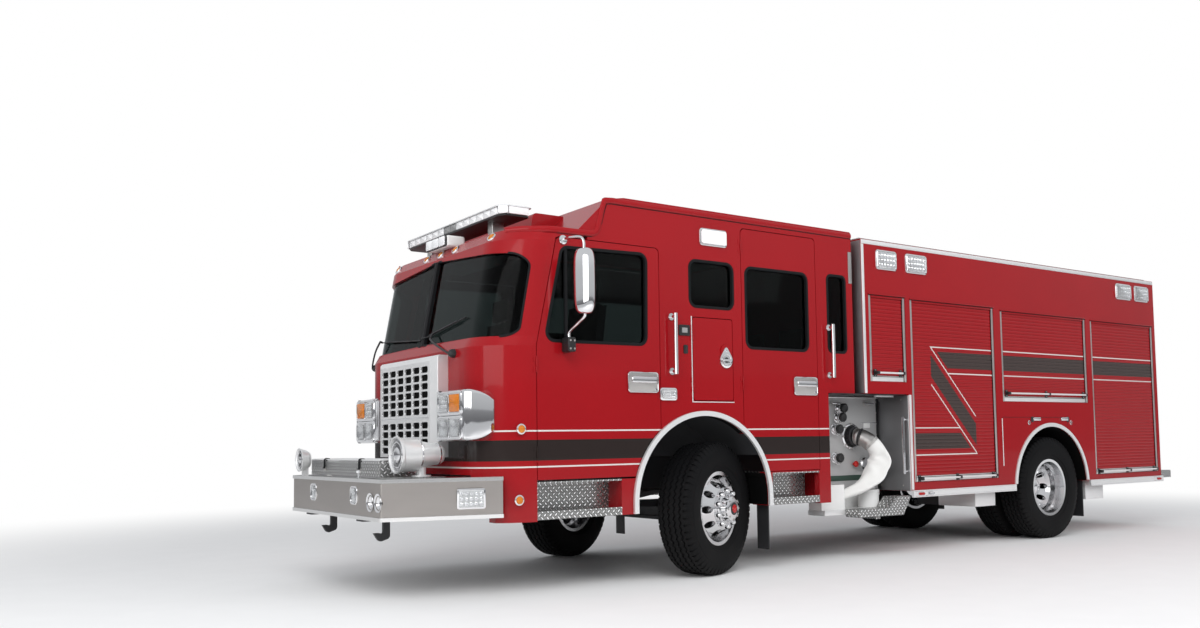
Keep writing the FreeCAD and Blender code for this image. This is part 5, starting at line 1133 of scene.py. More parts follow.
def slat_curtain(length, low, high):
    """A curtain of slats: local X along it, local Z up it, local Y out of it; its face at Y 0."""
    pitch = sizes().slat_pitch
    count = int((high - low) / pitch)
    points = [(low, -0.004)]
    for i in range(count):
        base = low + i * pitch
        points += [(base + 0.001, -0.0052), (base + 0.003, -0.0018), (base + pitch * 0.3, -0.0002),
            (base + pitch * 0.7, -0.0002), (base + pitch - 0.0045, -0.0014),
            (base + pitch - 0.0018, -0.005)]
    points.append((high, -0.005))
    part = bmesh.new()
    stations = [length * i / 8 for i in range(9)]
    rows = [[part.verts.new((x, depth, z)) for x in stations] for z, depth in points]
    for row, following in zip(rows, rows[1:]):
        for a, b, c, d in zip(row, row[1:], following[1:], following):
            part.faces.new((a, b, c, d))
    return part


def side_place(x, y):
    """Local X runs rearwards along the left side, local Z up and local Y outwards."""
    return Matrix(((-1, 0, 0, x), (0, 1, 0, y), (0, 0, 1, 0), (0, 0, 0, 1)))


def one_shutter(piece, front, rear, low, high, bar_up):
    """One curtain with its bottom rail, lift bar, side tracks and brush strips, on the left side."""
    face = BODY_SIDE - SHUTTER_INSET
    ahead = front - TRACK_WIDTH
    behind = rear + TRACK_WIDTH
    curtain = slat_curtain(front - rear - 2 * TRACK_WIDTH, low + 0.055, high)
    piece.add(curtain, "curtain_paint", side_place(ahead, face), smooth=False)
    piece.add(block((behind, face - 0.022, low + 0.002), (ahead, face + 0.004, low + 0.055), 0.004),
        "satin")
    piece.add(block((behind + 0.01, face + 0.003, low + 0.044), (ahead - 0.01, face + 0.007, low + 0.049),
        0.001), "seal")
    for edge, way in ((front, -1), (rear, 1)):
        outer = edge + way * 0.001
        inner = edge + way * TRACK_WIDTH
        piece.add(block((outer, face - 0.024, low + 0.001), (inner, face + 0.0125, high - 0.001), 0.0025),
            "stainless")
        piece.add(block((inner - way * 0.001, face - 0.004, low + 0.004),
            (inner + way * 0.005, face + 0.006, high - 0.004), 0.001), "seal")
    piece.add(block((behind, face, high - 0.022), (ahead, face + 0.0125, high - 0.001), 0.003),
        "red_paint")
    bar_z = low + bar_up
    bar_y = BODY_SIDE + 0.028
    ends = (ahead - 0.035, behind + 0.035)
    bar = tube([(ends[0], bar_y, bar_z), (ends[1], bar_y, bar_z)], 0.019, sides=16)
    piece.add(bar, "satin")
    spots = [ends[0] - 0.012, ends[1] + 0.012]
    if front - rear > WIDE_SHUTTER:
        spots.insert(1, (front + rear) / 2)
    for x in spots:
        piece.add(block((x - 0.022, face + 0.002, bar_z - 0.034), (x + 0.022, face + 0.007, bar_z + 0.034),
            0.002), "black_plastic")
        piece.add(block((x - 0.015, face + 0.004, bar_z - 0.015),
            (x + 0.015, bar_y + 0.012, bar_z + 0.015), 0.006, 3), "black_plastic")
        for dz in (-0.026, 0.026):
            spot = on_side(x, face + 0.007, bar_z + dz)
            piece.add(turned([(0, 0.0045), (0.0022, 0.004), (0.003, 0.0025), (0.003, 0)], 10), "stainless",
                spot)


SHUTTER_BARS = (0.08, 0.03, 0.085, 0.03)


def make_shutters():
    """The side curtains and the one at the rear, with their frames and lift bars."""
    piece = Piece("shutters")
    for (front, rear, low, high), bar_up in zip(SHUTTERS, SHUTTER_BARS):
        one_shutter(piece, front, rear, low, high, bar_up)
    piece.mirror()
    half, low, high = REAR_SHUTTER
    face = BODY_REAR + SHUTTER_INSET
    inner = half - TRACK_WIDTH
    turn = Matrix(((0, -1, 0, face), (1, 0, 0, -inner), (0, 0, 1, 0), (0, 0, 0, 1)))
    piece.add(slat_curtain(2 * inner, low + 0.055, high), "curtain_paint", turn, smooth=False)
    piece.add(block((face - 0.004, -inner, low + 0.002), (face + 0.022, inner, low + 0.055), 0.004),
        "satin")
    for way in (1, -1):
        piece.add(block((face - 0.012, way * (half - 0.001), low), (face + 0.024, way * inner, high),
            0.0025), "satin")
    piece.add(tube([(face - 0.04, -half + 0.09, low + 0.085), (face - 0.04, half - 0.09, low + 0.085)],
        0.019, sides=16), "satin")
    for y in (-half + 0.1, half - 0.1):
        piece.add(block((face - 0.05, y - 0.016, low + 0.068), (face + 0.002, y + 0.016, low + 0.102),
            0.006, 3), "black_plastic")
    made = piece.finish("root", "red_paint", 30)
    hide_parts("roll_up_doors")


# Windows

SEAL_REVEAL = 0.024


def edge_seal(piece, points, outs, faces, inward, lap):
    """An L-shaped rubber strip round a window: it lines the cut edge and laps the panel outside it."""
    section = [(-0.005, 0.0, SEAL_REVEAL), (-0.005, 0.003, 0.0), (-0.002, 0.005, 0.0),
        (lap - 0.003, 0.0045, 0.0), (lap, 0.0015, 0.0), (lap, -0.001, 0.0), (0.001, -0.001, 0.0),
        (0.001, 0.0, SEAL_REVEAL)]
    part = bmesh.new()
    rings = [[part.verts.new(point + out * across + face * up + inward * deep) for across, up,
        deep in section] for point, out, face in zip(points, outs, faces)]
    piece.add(skin_rings(part, rings, closed=True), "seal")


def outline_normals(path):
    """The outward direction at each point of a closed 2D outline."""
    centre = sum(path, Vector((0, 0))) / len(path)
    normals = []
    for i, point in enumerate(path):
        before = path[i - 1]
        after = path[(i + 1) % len(path)]
        normal = Vector((after.y - before.y, before.x - after.x)).normalized()
        normals.append(normal if normal.dot(point - centre) > 0 else -normal)
    return normals


def side_seal(piece, outline, radius=0.06):
    """The rubber of a side window, whose edge lies on the cab's side."""
    path = rounded(outline, radius, 7)
    outs = [Vector((n.x, 0, n.y)) for n in outline_normals(path)]
    out = Vector((0, 1, 0))
    points = [Vector((p.x, CAB_SIDE, p.y)) for p in path]
    edge_seal(piece, points, outs, [out] * len(path), -out, sizes().seal_width)


def make_side_seals():
    """Rubber round every side window, on the piece that carries the window."""
    for sign, side in SIDES:
        piece = Piece("seals_front_door_" + side)
        side_seal(piece, FRONT_DOOR_WINDOW)
        bar_x = AXLE_F + 1.3815
        piece.add(block((bar_x - 0.011, CAB_SIDE - 0.022, 1.846), (bar_x + 0.011, CAB_SIDE + 0.001, 2.536),
            0.003), "seal")
        piece.flip(sign)
        piece.finish("door_front_" + side, "glass")
        piece = Piece("seals_rear_door_" + side)
        side_seal(piece, REAR_DOOR_WINDOW)
        piece.flip(sign)
        piece.finish("door_rear_" + side, "glass")
    piece = Piece("seals_fixed")
    side_seal(piece, MIDDLE_WINDOW)
    side_seal(piece, CORNER_WINDOW, 0.04)
    piece.mirror()
    piece.finish("root", "glass")


def skin_of(*names):
    """A search tree over CAD objects, for finding points on their outside."""
    whole = bmesh.new()
    for name in names:
        whole.from_mesh(NODES[name].data)
    tree = BVHTree.FromBMesh(whole)
    whole.free()
    return tree


def from_front(tree, y, z):
    """The first point and normal a level ray from ahead of the vehicle meets."""
    hit, normal, _, _ = tree.ray_cast(Vector((8.0, y, z)), Vector((-1, 0, 0)))
    if hit is None:
        raise RuntimeError("Nothing in front at %.3f, %.3f" % (y, z))
    return hit, normal


# Each wiper: foot and elbow as (y, z), then the blade's two ends
WIPERS = (
    ((0.66, 1.765), (0.19, 1.915), (-0.005, 1.935), (0.7, 2.035)),
    ((-1.06, 1.77), (-0.86, 1.985), (-0.95, 1.985), (-0.06, 1.925)))


def one_wiper(piece, tree, foot, elbow, tip, heel):
    """A thick arm from its pivot, and a blade that lies on the glass."""
    ahead = Vector((1, 0, 0))
    base = from_front(tree, *foot)[0]
    knee = from_front(tree, *elbow)[0] + ahead * 0.05
    arm = [base + ahead * 0.03, base + ahead * 0.048 + (knee - base) * 0.06,
        base.lerp(knee, 0.6) + ahead * 0.034, knee]
    piece.add(tube(smooth_path(arm, 5), 0.018, 0.014, 10, across=(0, 0, 1)), "black_metal")
    piece.add(turned([(-0.012, 0.034), (0.022, 0.032), (0.04, 0.024), (0.05, 0.01), (0.052, 0)], 28),
        "black_plastic", aim(base, ahead))
    blade = []
    for i in range(13):
        share = i / 12
        hit, _ = from_front(tree, tip[0] + (heel[0] - tip[0]) * share, tip[1] + (heel[1] - tip[1]) * share)
        blade.append(hit + ahead * 0.014)
    piece.add(tube(blade, 0.018, 0.009, 8, across=(1, 0, 0)), "black_plastic")
    spine = [point + ahead * 0.016 for point in blade[2:-2]]
    piece.add(tube(spine, 0.009, 0.007, 8, across=(0, 0, 1)), "black_metal")
    near = min(blade, key=lambda point: (point - knee).length)
    piece.add(tube([near + ahead * 0.012, knee], 0.018, 0.018, 10), "black_metal")


def make_windscreen_trim():
    """Rubber round both windscreen panes, the centre strip, and the wipers with their arms."""
    tree = skin_of("cab_front", "cab_glass", "cab_roof")
    shell = skin_of("cab_front", "cab_roof")
    piece = Piece("windscreen_trim")
    path = rounded(WINDSCREEN_PANE, WINDSCREEN_RADII, 9)
    normals = outline_normals(path)
    for way in (1, -1):
        points, outs, faces = [], [], []
        for point, normal in zip(path, normals):
            out = point + normal * 0.006
            hit, skin = from_front(shell, way * out.x, out.y)
            flat = Vector((0, way * normal.x, normal.y))
            flat = (flat - skin * flat.dot(skin)).normalized()
            points.append(hit - flat * (0.006 / max(flat.y * way * normal.x + flat.z * normal.y, 0.15)))
            outs.append(flat)
            faces.append(skin)
        edge_seal(piece, points, outs, faces, Vector((-1, 0, 0)), sizes().seal_width * 0.6)
    post = [from_front(shell, 0.0, 1.872 + 0.0685 * i)[0] for i in range(11)]
    piece.add(tube(post, 0.054, 0.014, 12, across=(0, 1, 0)), "seal")
    for foot, elbow, tip, heel in WIPERS:
        one_wiper(piece, tree, foot, elbow, tip, heel)
    piece.finish("root", "glass")


# Lamps

def led_cluster(piece, place, columns, rows, pitch, glass):
    """Round emitters behind a lens, in rows."""
    for i in range(columns):
        for j in range(rows):
            x = (i - (columns - 1) / 2) * pitch
            y = (j - (rows - 1) / 2) * pitch
            spot = place @ move(x, y, 0)
            piece.add(turned([(0, pitch * 0.42), (0.004, pitch * 0.36), (0.0065, pitch * 0.18),
                (0.007, 0)], 12), glass, spot)


SIDE_LAMPS = (
    (AXLE_F + 0.112, AXLE_F - 0.18, 2.678, 2.826, "cab", "frosted_lens"),
    (AXLE_F + 0.539, AXLE_F + 0.366, 1.408, 1.513, "cab", "clear_lens"),
    (BODY_FRONT - 0.19, BODY_FRONT - 0.475, 2.65, 2.84, "body", "clear_lens"),
    (BODY_FRONT - 0.603, BODY_FRONT - 0.91, 2.65, 2.84, "body", "clear_lens"),
    (BODY_REAR + 0.84, BODY_REAR + 0.52, 2.65, 2.84, "body", "clear_lens"),
    (BODY_REAR + 0.44, BODY_REAR + 0.14, 2.65, 2.84, "body", "clear_lens"))


def make_side_lamps():
    """Square lamps in bright rims on the sides of the cab and the body."""
    piece = Piece("side_lamps")
    for front, rear, low, high, panel, glass in SIDE_LAMPS:
        y = (CAB_SIDE if panel == "cab" else BODY_SIDE) + 0.0005
        place = on_side((front + rear) / 2, y, (low + high) / 2)
        width = abs(front - rear) - 0.004
        height = high - low - 0.004
        rim = 0.016
        inner_w = width - 2 * rim
        inner_h = height - 2 * rim
        piece.add(slab(oblong(width, height, 0.025), 0.014, 0.005), "chrome", place)
        lift = place @ move(0, 0, 0.0142)
        piece.add(slab(oblong(inner_w, inner_h, 0.014), 0.003, 0.001), "reflector", lift)
        pitch = min(inner_h / 3.2, 0.04)
        led_cluster(piece, lift @ move(0, 0, 0.003), int(inner_w / pitch), int(inner_h / pitch), pitch,
            "reflector")
        cover = lift @ move(0, 0, 0.0095)
        piece.add(slab(oblong(inner_w + 0.004, inner_h + 0.004, 0.015), 0.0075, 0.005), glass, cover)
    piece.mirror()
    piece.finish("root", "lamp")


def make_rear_lamps():
    """Three square lamps on each side of the rear wall, under ribbed lenses."""
    piece = Piece("rear_lamps")
    for z, glass in ((1.325, "red_lens"), (1.495, "amber_lens"), (1.665, "clear_lens")):
        place = aim((BODY_REAR - 0.001, 1.045, z), (-1, 0, 0))
        piece.add(slab(oblong(0.168, 0.148, 0.018), 0.02, 0.006), "chrome", place)
        lift = place @ move(0, 0, 0.014)
        led_cluster(piece, lift @ move(0, 0, 0.003), 4, 3, 0.034, "reflector")
        piece.add(slab(oblong(0.14, 0.12, 0.014), 0.012, 0.004), glass, lift)
    piece.mirror()
    piece.finish("root", "lamp")


BAR_FRONT = AXLE_F + 1.765
BAR_LOW = 2.803
BAR_HIGH = 2.883
BAR_DEPTH = 0.285
BAR_MIDDLE = (BAR_LOW + BAR_HIGH) / 2 + 0.002
BAR_MODULES = 14
BAR_SPAN = 1.62


def bar_shell(grow, low, high):
    """The light bar's plan, grown outwards, between two heights."""
    outline = rounded([(BAR_FRONT - BAR_DEPTH - grow, -0.895 - grow), (BAR_FRONT - 0.06, -0.895 - grow),
        (BAR_FRONT + grow, -0.83 - grow), (BAR_FRONT + grow, 0.83 + grow),
        (BAR_FRONT - 0.06, 0.895 + grow), (BAR_FRONT - BAR_DEPTH - grow, 0.895 + grow)],
        [0.03, 0.035, 0.035, 0.035, 0.035, 0.03], 5)
    part = slab(outline, high - low, 0.007)
    part.transform(move(0, 0, low))
    return part


def make_light_bar():
    """The light bar: base, LED modules behind lenses, pale cover and end lamps, on two feet."""
    piece = Piece("light_bar")
    piece.add(bar_shell(-0.02, BAR_LOW, BAR_LOW + 0.016), "black_plastic")
    piece.add(bar_shell(-0.004, BAR_HIGH - 0.01, BAR_HIGH), "pale_cover")
    piece.add(bar_shell(-0.045, BAR_LOW + 0.014, BAR_HIGH - 0.008), "white_paint")
    for i in range(BAR_MODULES):
        y = (i - (BAR_MODULES - 1) / 2) * BAR_SPAN / BAR_MODULES
        glass = "lamp_grey" if i in (6, 7) else "frosted_lens"
        width = BAR_SPAN / BAR_MODULES - 0.008
        for x, way in ((BAR_FRONT - 0.03, 1), (BAR_FRONT - 0.255, -1)):
            place = aim((x - 0.014 * way, y, BAR_MIDDLE), (way, 0, 0))
            piece.add(slab(oblong(width, 0.056, 0.006), 0.004, 0.001), "pale_reflector", place)
            lift = place @ move(0, 0, 0.004)
            led_cluster(piece, lift, 5, 2, 0.021, "reflector")
            lift = place @ move(0, 0, 0.0125)
            piece.add(slab(oblong(width + 0.006, 0.056, 0.004), 0.016, 0.005), glass, lift)
    for way in (1, -1):
        place = aim((BAR_FRONT - 0.045, way * 0.862, BAR_MIDDLE), (1, way * 0.9, 0))
        piece.add(slab(oblong(0.075, 0.056, 0.006), 0.012, 0.004), "frosted_lens", place)
        place = aim((BAR_FRONT - 0.165, way * 0.876, BAR_MIDDLE), (0, way, 0))
        piece.add(slab(oblong(0.17, 0.056, 0.006), 0.012, 0.004), "frosted_lens", place)
        foot = block((BAR_FRONT - 0.19, way * 0.56 - 0.04, LOW_ROOF),
            (BAR_FRONT - 0.09, way * 0.56 + 0.04, BAR_LOW + 0.004), 0.006, 3)
        piece.add(foot, "stainless")
        piece.add(block((BAR_FRONT - 0.21, way * 0.56 - 0.055, LOW_ROOF),
            (BAR_FRONT - 0.07, way * 0.56 + 0.055, LOW_ROOF + 0.008), 0.003), "stainless")
    return piece


def brow_light(piece):
    """The white box over the windscreen, with three lamps in a black frame."""
    rim = [Vector((CAB_NOSE - 0.166, q.x, 2.711 + q.y)) for q in oblong(0.362, 0.082, 0.018)]
    piece.add(tube(rim, 0.008, 0.01, 8, closed=True), "black_plastic")
    piece.add(block((CAB_NOSE - 0.33, -0.19, LOW_ROOF), (CAB_NOSE - 0.168, 0.19, 2.755), 0.02, 4),
        "white_paint")
    for i in range(3):
        place = on_front(CAB_NOSE - 0.166, (i - 1) * 0.118, 2.711)
        piece.add(slab(oblong(0.104, 0.07, 0.01), 0.005, 0.001), "reflector", place)
        led_cluster(piece, place @ move(0, 0, 0.005), 3, 2, 0.031, "reflector")
        piece.add(slab(oblong(0.108, 0.074, 0.01), 0.004, 0.001), "frosted_lens",
            place @ move(0, 0, 0.0115))


def marker_lamp(piece, place, glass, width, height):
    """A low marker lamp in a bright base."""
    piece.add(slab(oblong(width, height, height * 0.49), 0.008, 0.003), "chrome", place)
    lift = place @ move(0, 0, 0.007)
    piece.add(slab(oblong(width - 0.014, height - 0.01, (height - 0.01) * 0.49), 0.018, 0.008), glass,
        lift)


def round_marker(piece, place):
    """A small round amber lamp in a bright bezel."""
    radius = 0.036
    piece.add(turned([(0, radius * 1.1), (0.008, radius * 1.1), (0.014, radius), (0.012, radius * 0.82)],
        32), "chrome", place)
    piece.add(turned([(0.006, radius * 0.8), (0.014, radius * 0.72), (0.02, radius * 0.42), (0.022, 0)],
        28), "amber_lens", place)


def make_roof_lamps():
    """The light bar, the brow light and the row of amber marker lamps under the roof's edge."""
    piece = make_light_bar()
    brow_light(piece)
    tree = skin_of("cab_front", "cab_roof")
    for y in (0.0, 0.266, -0.266, 0.864, -0.864):
        hit, normal = from_front(tree, y, 2.622)
        lean = Vector((normal.x, normal.y, max(normal.z, 0.0))).normalized()
        round_marker(piece, aim(hit - lean * 0.002, lean))
    made = piece.finish("root", "lamp")
    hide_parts("lamps")


LAMP_FACE = AXLE_F + 2.139
LAMP_LOW = 1.114
LAMP_HIGH = 1.483


def square_lamp(piece, place, width, height, glass, bulb):
    """A square lamp: rim, pale bowl with rows of emitters or one round bulb, and its lens."""
    piece.add(bead(oblong(width + 0.004, height + 0.004, 0.014), 0.004, 0.01, 0.012), "chrome", place)
    piece.add(slab(oblong(width, height, 0.012), 0.002, 0.0005), "pale_reflector", place)
    lift = place @ move(0, 0, 0.0022)
    if bulb:
        piece.add(turned([(0.0, 0.0), (0.001, 0.02), (0.0035, 0.046), (0.0055, 0.058), (0.0035, 0.062)],
            36), "reflector", lift)
    else:
        led_cluster(piece, lift, int(width / 0.03), int(height / 0.03), 0.03, "reflector")
    piece.add(slab(oblong(width - 0.004, height - 0.004, 0.011), 0.006, 0.0025), glass,
        place @ move(0, 0, 0.0085))


def lamp_housing():
    """The left headlight housing: a full rounded shell, lower at its rear, that wraps the cab's corner."""
    tree = skin_of("cab_front")
    inner = from_front(tree, 0.62, 1.3)[0].x - 0.02
    outer = from_front(tree, 1.01, 1.3)[0].x - 0.02
    sweep = smooth_path([(LAMP_FACE - 0.024, 0.595, 0), (LAMP_FACE - 0.007, 0.602, 0),
        (LAMP_FACE, 0.62, 0), (LAMP_FACE, 0.99, 0), (LAMP_FACE - 0.01, 1.034, 0),
        (CAB_NOSE + 0.066, 1.07, 0), (CAB_NOSE + 0.01, 1.092, 0), (CAB_NOSE - 0.05, 1.096, 0),
        (CAB_NOSE - 0.104, 1.085, 0)], 4)
    outline = [(inner, 0.595)] + [(point.x, point.y) for point in sweep] + [(outer, 1.01)]
    part = slab(outline, LAMP_HIGH - LAMP_LOW, 0.0)
    rims = [e for e in part.edges if abs(e.verts[0].co.z - e.verts[1].co.z) < 1e-6]
    bmesh.ops.bevel(part, geom=rims, offset=0.03, segments=7, profile=0.5, affect="EDGES")
    for vert in part.verts:
        share = vert.co.z / (LAMP_HIGH - LAMP_LOW)
        back = min(max((CAB_NOSE + 0.07 - vert.co.x) / 0.174, 0.0), 1.0) ** 1.7
        vert.co.z += LAMP_LOW + back * (0.055 * (1 - share) - 0.06 * share)
    return part


def make_headlight_modules():
    """Each headlight housing, with two square lamps under a bright frame in each of its halves."""
    piece = Piece("headlight_modules")
    piece.add(lamp_housing(), "chrome")
    for low, kinds, bulb in ((1.31, ("clear_lens", "amber_lens"), False),
            (1.132, ("clear_lens", "clear_lens"), True)):
        middle = low + 0.0775
        place = on_front(LAMP_FACE - 0.004, 0.8125, middle)
        piece.add(bead(oblong(0.376, 0.156, 0.024), 0.006, 0.02, 0.02, 10), "chrome", place)
        piece.add(slab(oblong(0.372, 0.152, 0.02), 0.0055, 0.0005), "dark_trim", place)
        for y, glass in zip((0.7225, 0.9025), kinds):
            square_lamp(piece, on_front(LAMP_FACE + 0.001, y, middle), 0.158, 0.128, glass, bulb)
    piece.mirror()
    made = piece.finish("root", "lamp")
    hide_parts("headlights")


HORN_MOUTHS = (0.743, 0.887)
WING_LAMP = Vector((AXLE_F + 2.1295, 1.1245, 0.7135))
WING_FACING = Vector((0.259, 0.801, 0.0))


def make_bumper_lamps():
    """Square fog lamps, two horn mouths and the wing lamps of the bumper."""
    piece = Piece("bumper_lamps")
    face = NOSE_X - 0.008
    for y in (0.432, -0.432):
        square_lamp(piece, on_front(face - 0.012, y, 0.74), 0.104, 0.104, "clear_lens", True)
        ring = [Vector((face + 0.001, y + p.x, 0.74 + p.y)) for p in oblong(0.126, 0.122, 0.03)]
        piece.add(tube(ring, 0.012, 0.012, 10, closed=True), "chrome")
    for y in HORN_MOUTHS:
        place = on_front(face - 0.03, y, 0.7)
        mouth = turned([(-0.03, 0.0), (-0.03, 0.016), (0.0, 0.022), (0.018, 0.036), (0.028, 0.054),
            (0.0345, 0.066), (0.0365, 0.064), (0.0355, 0.059), (0.024, 0.044), (0.012, 0.032),
            (0.004, 0.0)], 40)
        piece.add(mouth, "chrome", place)
        piece.add(turned([(0.006, 0.026), (0.01, 0.02), (0.016, 0.01), (0.017, 0)], 24), "black_plastic",
            place)
    for way in (1, -1):
        spot = Vector((WING_LAMP.x, way * WING_LAMP.y, WING_LAMP.z))
        place = aim(spot, (WING_FACING.x, way * WING_FACING.y, 0.0))
        piece.add(slab(oblong(0.2, 0.144, 0.016), 0.01, 0.003), "chrome", place)
        lift = place @ move(0, 0, 0.0102)
        piece.add(slab(oblong(0.172, 0.119, 0.008), 0.002, 0.0005), "pale_reflector", lift)
        led_cluster(piece, lift @ move(0, 0, 0.002), 5, 3, 0.034, "reflector")
        piece.add(slab(oblong(0.17, 0.117, 0.008), 0.006, 0.002), "clear_lens", lift @ move(0, 0, 0.0095))
    piece.finish("root", "lamp")


# Front end

GRILLE_COLUMNS = 6
GRILLE_PITCH = 0.1516
GRILLE_ROWS = [1.05 + 0.063 * i for i in range(4)] + [1.345 + 0.063 * i for i in range(6)]


def make_grille_trim():
    """A rounded rim in every grille cell, and a near-black radiator core behind them, its own dark with
    painted shade.
    """
    piece = Piece("grille_trim")
    tree = skin_of("grille")
    hit, _ = from_front(tree, 0.0, 1.298)
    face = hit.x
    cell = rounded([(-0.0615, -0.026), (0.0615, -0.026), (0.0615, 0.026), (-0.0615, 0.026)], 0.0175, 4)
    for column in range(GRILLE_COLUMNS):
        y = (column - (GRILLE_COLUMNS - 1) / 2) * GRILLE_PITCH
        for z in GRILLE_ROWS:
            piece.add(bead(cell, 0.0, 0.003, 0.005), "chrome", on_front(face - 0.001, y, z))
    # Radiator core in near black: its own dark with painted shade behind the grille.
    piece.add(block((face - 0.022, -0.505, 1.02), (face - 0.0125, 0.505, 1.69), 0.001), "dark_painted_shade")
    line = [(face + 0.0005, way * 0.452, 1.298) for way in (-1, 1)]
    piece.add(tube(line, 0.014, 0.008, 10, across=(0, 0, 1)), "chrome")
    piece.finish("root", "chrome")


def vanes(piece, place, count, inner, outer, along, depth):
    """Thin upright blades that run out from a hub, behind a round mouth."""
    for i in range(count):
        blade = block((inner, -0.0012, along - depth), (outer, 0.0012, along), 0.0)
        blade.transform(Matrix.Rotation(2 * pi * i / count, 4, "Z"))
        piece.add(blade, "chrome", place, smooth=False)


def make_siren_details():
    """The big siren's bladed mouth, domed hub and clamp bands, and the small horn's ribbed face."""
    piece = Piece("siren_details")
    place = on_front(AXLE_F + 2.488, 0.67, 1.022)
    vanes(piece, place, 36, 0.05, 0.117, -0.003, 0.012)
    for radius, along in ((0.1275, 0.004), (0.09, -0.004)):
        piece.add(tube(circle(radius, along, 60), 0.008, 0.008, 8, closed=True), "chrome", place)
    piece.add(turned([(-0.012, 0.056), (-0.004, 0.055), (0.002, 0.046), (0.005, 0.028), (0.006, 0.0)], 40),
        "chrome", place)
    for along, radius in ((-0.312, 0.0745), (-0.158, 0.1085)):
        band = turned([(along - 0.007, radius), (along - 0.006, radius + 0.004),
            (along + 0.006, radius + 0.006), (along + 0.007, radius + 0.002)], 48)
        piece.add(band, "chrome", place)
    place = on_front(NOSE_X - 0.03, -0.85, 0.985)
    vanes(piece, place, 28, 0.03, 0.084, -0.002, 0.022)
    for radius, along in ((0.0895, 0.0035), (0.058, -0.002)):
        piece.add(tube(circle(radius, along), 0.006, 0.006, 8, closed=True), "chrome", place)
    piece.add(turned([(-0.024, 0.032), (-0.004, 0.03), (0.0, 0.018), (0.001, 0)], 32), "chrome", place)
    piece.finish("root", "chrome")


TRAY_RIGHT = -0.975
TRAY_LEFT = 0.5


def make_deck_fittings():
    """Tread plates on the bumper's deck, the tray's rolled rim, rubber latches and the hooks' bolts."""
    piece = Piece("deck_fittings")
    top = 0.861
    piece.add(block((NOSE_X - 0.5, 0.54, top), (NOSE_X - 0.06, 0.9, top + 0.0035), 0.001), "tread_plate")
    x0 = NOSE_X - 0.452
    x1 = NOSE_X - 0.172
    rim = [(x, y, 0.985) for x, y in rounded([(x0 + 0.006, TRAY_RIGHT + 0.006),
        (x1 - 0.006, TRAY_RIGHT + 0.006), (x1 - 0.006, TRAY_LEFT - 0.006),
        (x0 + 0.006, TRAY_LEFT - 0.006)], 0.012, 4)]
    piece.add(tube([Vector(p) for p in rim], 0.014, 0.014, 10, closed=True), "satin")
    piece.add(block((x0 + 0.01, TRAY_RIGHT + 0.01, 0.974), (x1 - 0.01, TRAY_LEFT - 0.01, 0.984), 0.003),
        "tread_plate")
    piece.add(block((x1, TRAY_RIGHT + 0.004, 0.866), (x1 + 0.0025, TRAY_LEFT - 0.004, 0.974), 0.001),
        "tread_plate")
    piece.add(block((x0 + 0.004, TRAY_LEFT, 0.866), (x1 - 0.004, TRAY_LEFT + 0.0025, 0.974), 0.001),
        "tread_plate")
    for y in (-0.64, 0.12):
        strap = [(x1 - 0.03, y, 0.993), (x1 - 0.005, y, 0.995), (x1 + 0.008, y, 0.984),
            (x1 + 0.009, y, 0.95), (x1 + 0.01, y, 0.915)]
        piece.add(tube(smooth_path(strap, 4), 0.034, 0.008, 10, across=(0, 1, 0)), "seal")
        piece.add(block((x1 + 0.001, y - 0.026, 0.896), (x1 + 0.008, y + 0.026, 0.924), 0.003),
            "stainless")
        piece.add(tube([(x1 + 0.012, y - 0.02, 0.92), (x1 + 0.012, y + 0.02, 0.92)], 0.009), "seal")
    spot = aim((NOSE_X - 0.075, 0.35, top), (0, 0, 1))
    piece.add(turned([(0, 0.02), (0.004, 0.02), (0.006, 0.008), (0.03, 0.008), (0.034, 0.018),
        (0.048, 0.02), (0.054, 0.012), (0.055, 0)], 28), "chrome", spot)
    for y in (-0.54, 0.54):
        for dy in (-0.04, 0.04):
            spot = aim((NOSE_X - 0.2, y + dy, 0.6), (0, 0, -1))
            piece.add(turned([(0, 0.016), (0.01, 0.016), (0.012, 0.01), (0.012, 0)], 6), "satin", spot)
    piece.finish("root", "stainless")


# Doors, mirrors and rails

HANDLES = (("door_front_", AXLE_F + 0.548, AXLE_F + 0.842, 1.468, 1.629),
    ("door_rear_", AXLE_F - 1.2, AXLE_F - 0.912, 1.471, 1.632))


def paddle_handle(piece, front, rear, low, high):
    """A bright pull handle: dished plate with a rim, the paddle and a key barrel."""
    y = CAB_SIDE + 0.008
    middle_x = (front + rear) / 2
    middle_z = (low + high) / 2
    width = abs(front - rear)
    place = on_side(middle_x, y, middle_z)
    piece.add(bead(oblong(width - 0.01, high - low - 0.01, 0.022), 0.002, 0.009, 0.009), "chrome", place)
    piece.add(slab(oblong(width - 0.016, high - low - 0.016, 0.018), 0.002, 0.0005), "stainless",
        place @ move(0, 0, -0.001))
    grip_z = low + (high - low) * 0.62
    grip = block((middle_x - width / 2 + 0.03, y - 0.002, grip_z - 0.026),
        (middle_x + width / 2 - 0.03, y + 0.026, grip_z + 0.026), 0.01, 4)
    piece.add(grip, "chrome")
    lock = on_side(middle_x - width / 2 + 0.03, y + 0.001, low + 0.028)
    piece.add(turned([(0, 0.011), (0.004, 0.011), (0.006, 0.009), (0.006, 0)], 24), "chrome", lock)
    piece.add(block((middle_x - width / 2 + 0.0285, y + 0.0065, low + 0.022),
        (middle_x - width / 2 + 0.0315, y + 0.0078, low + 0.034), 0.0003), "black_plastic")


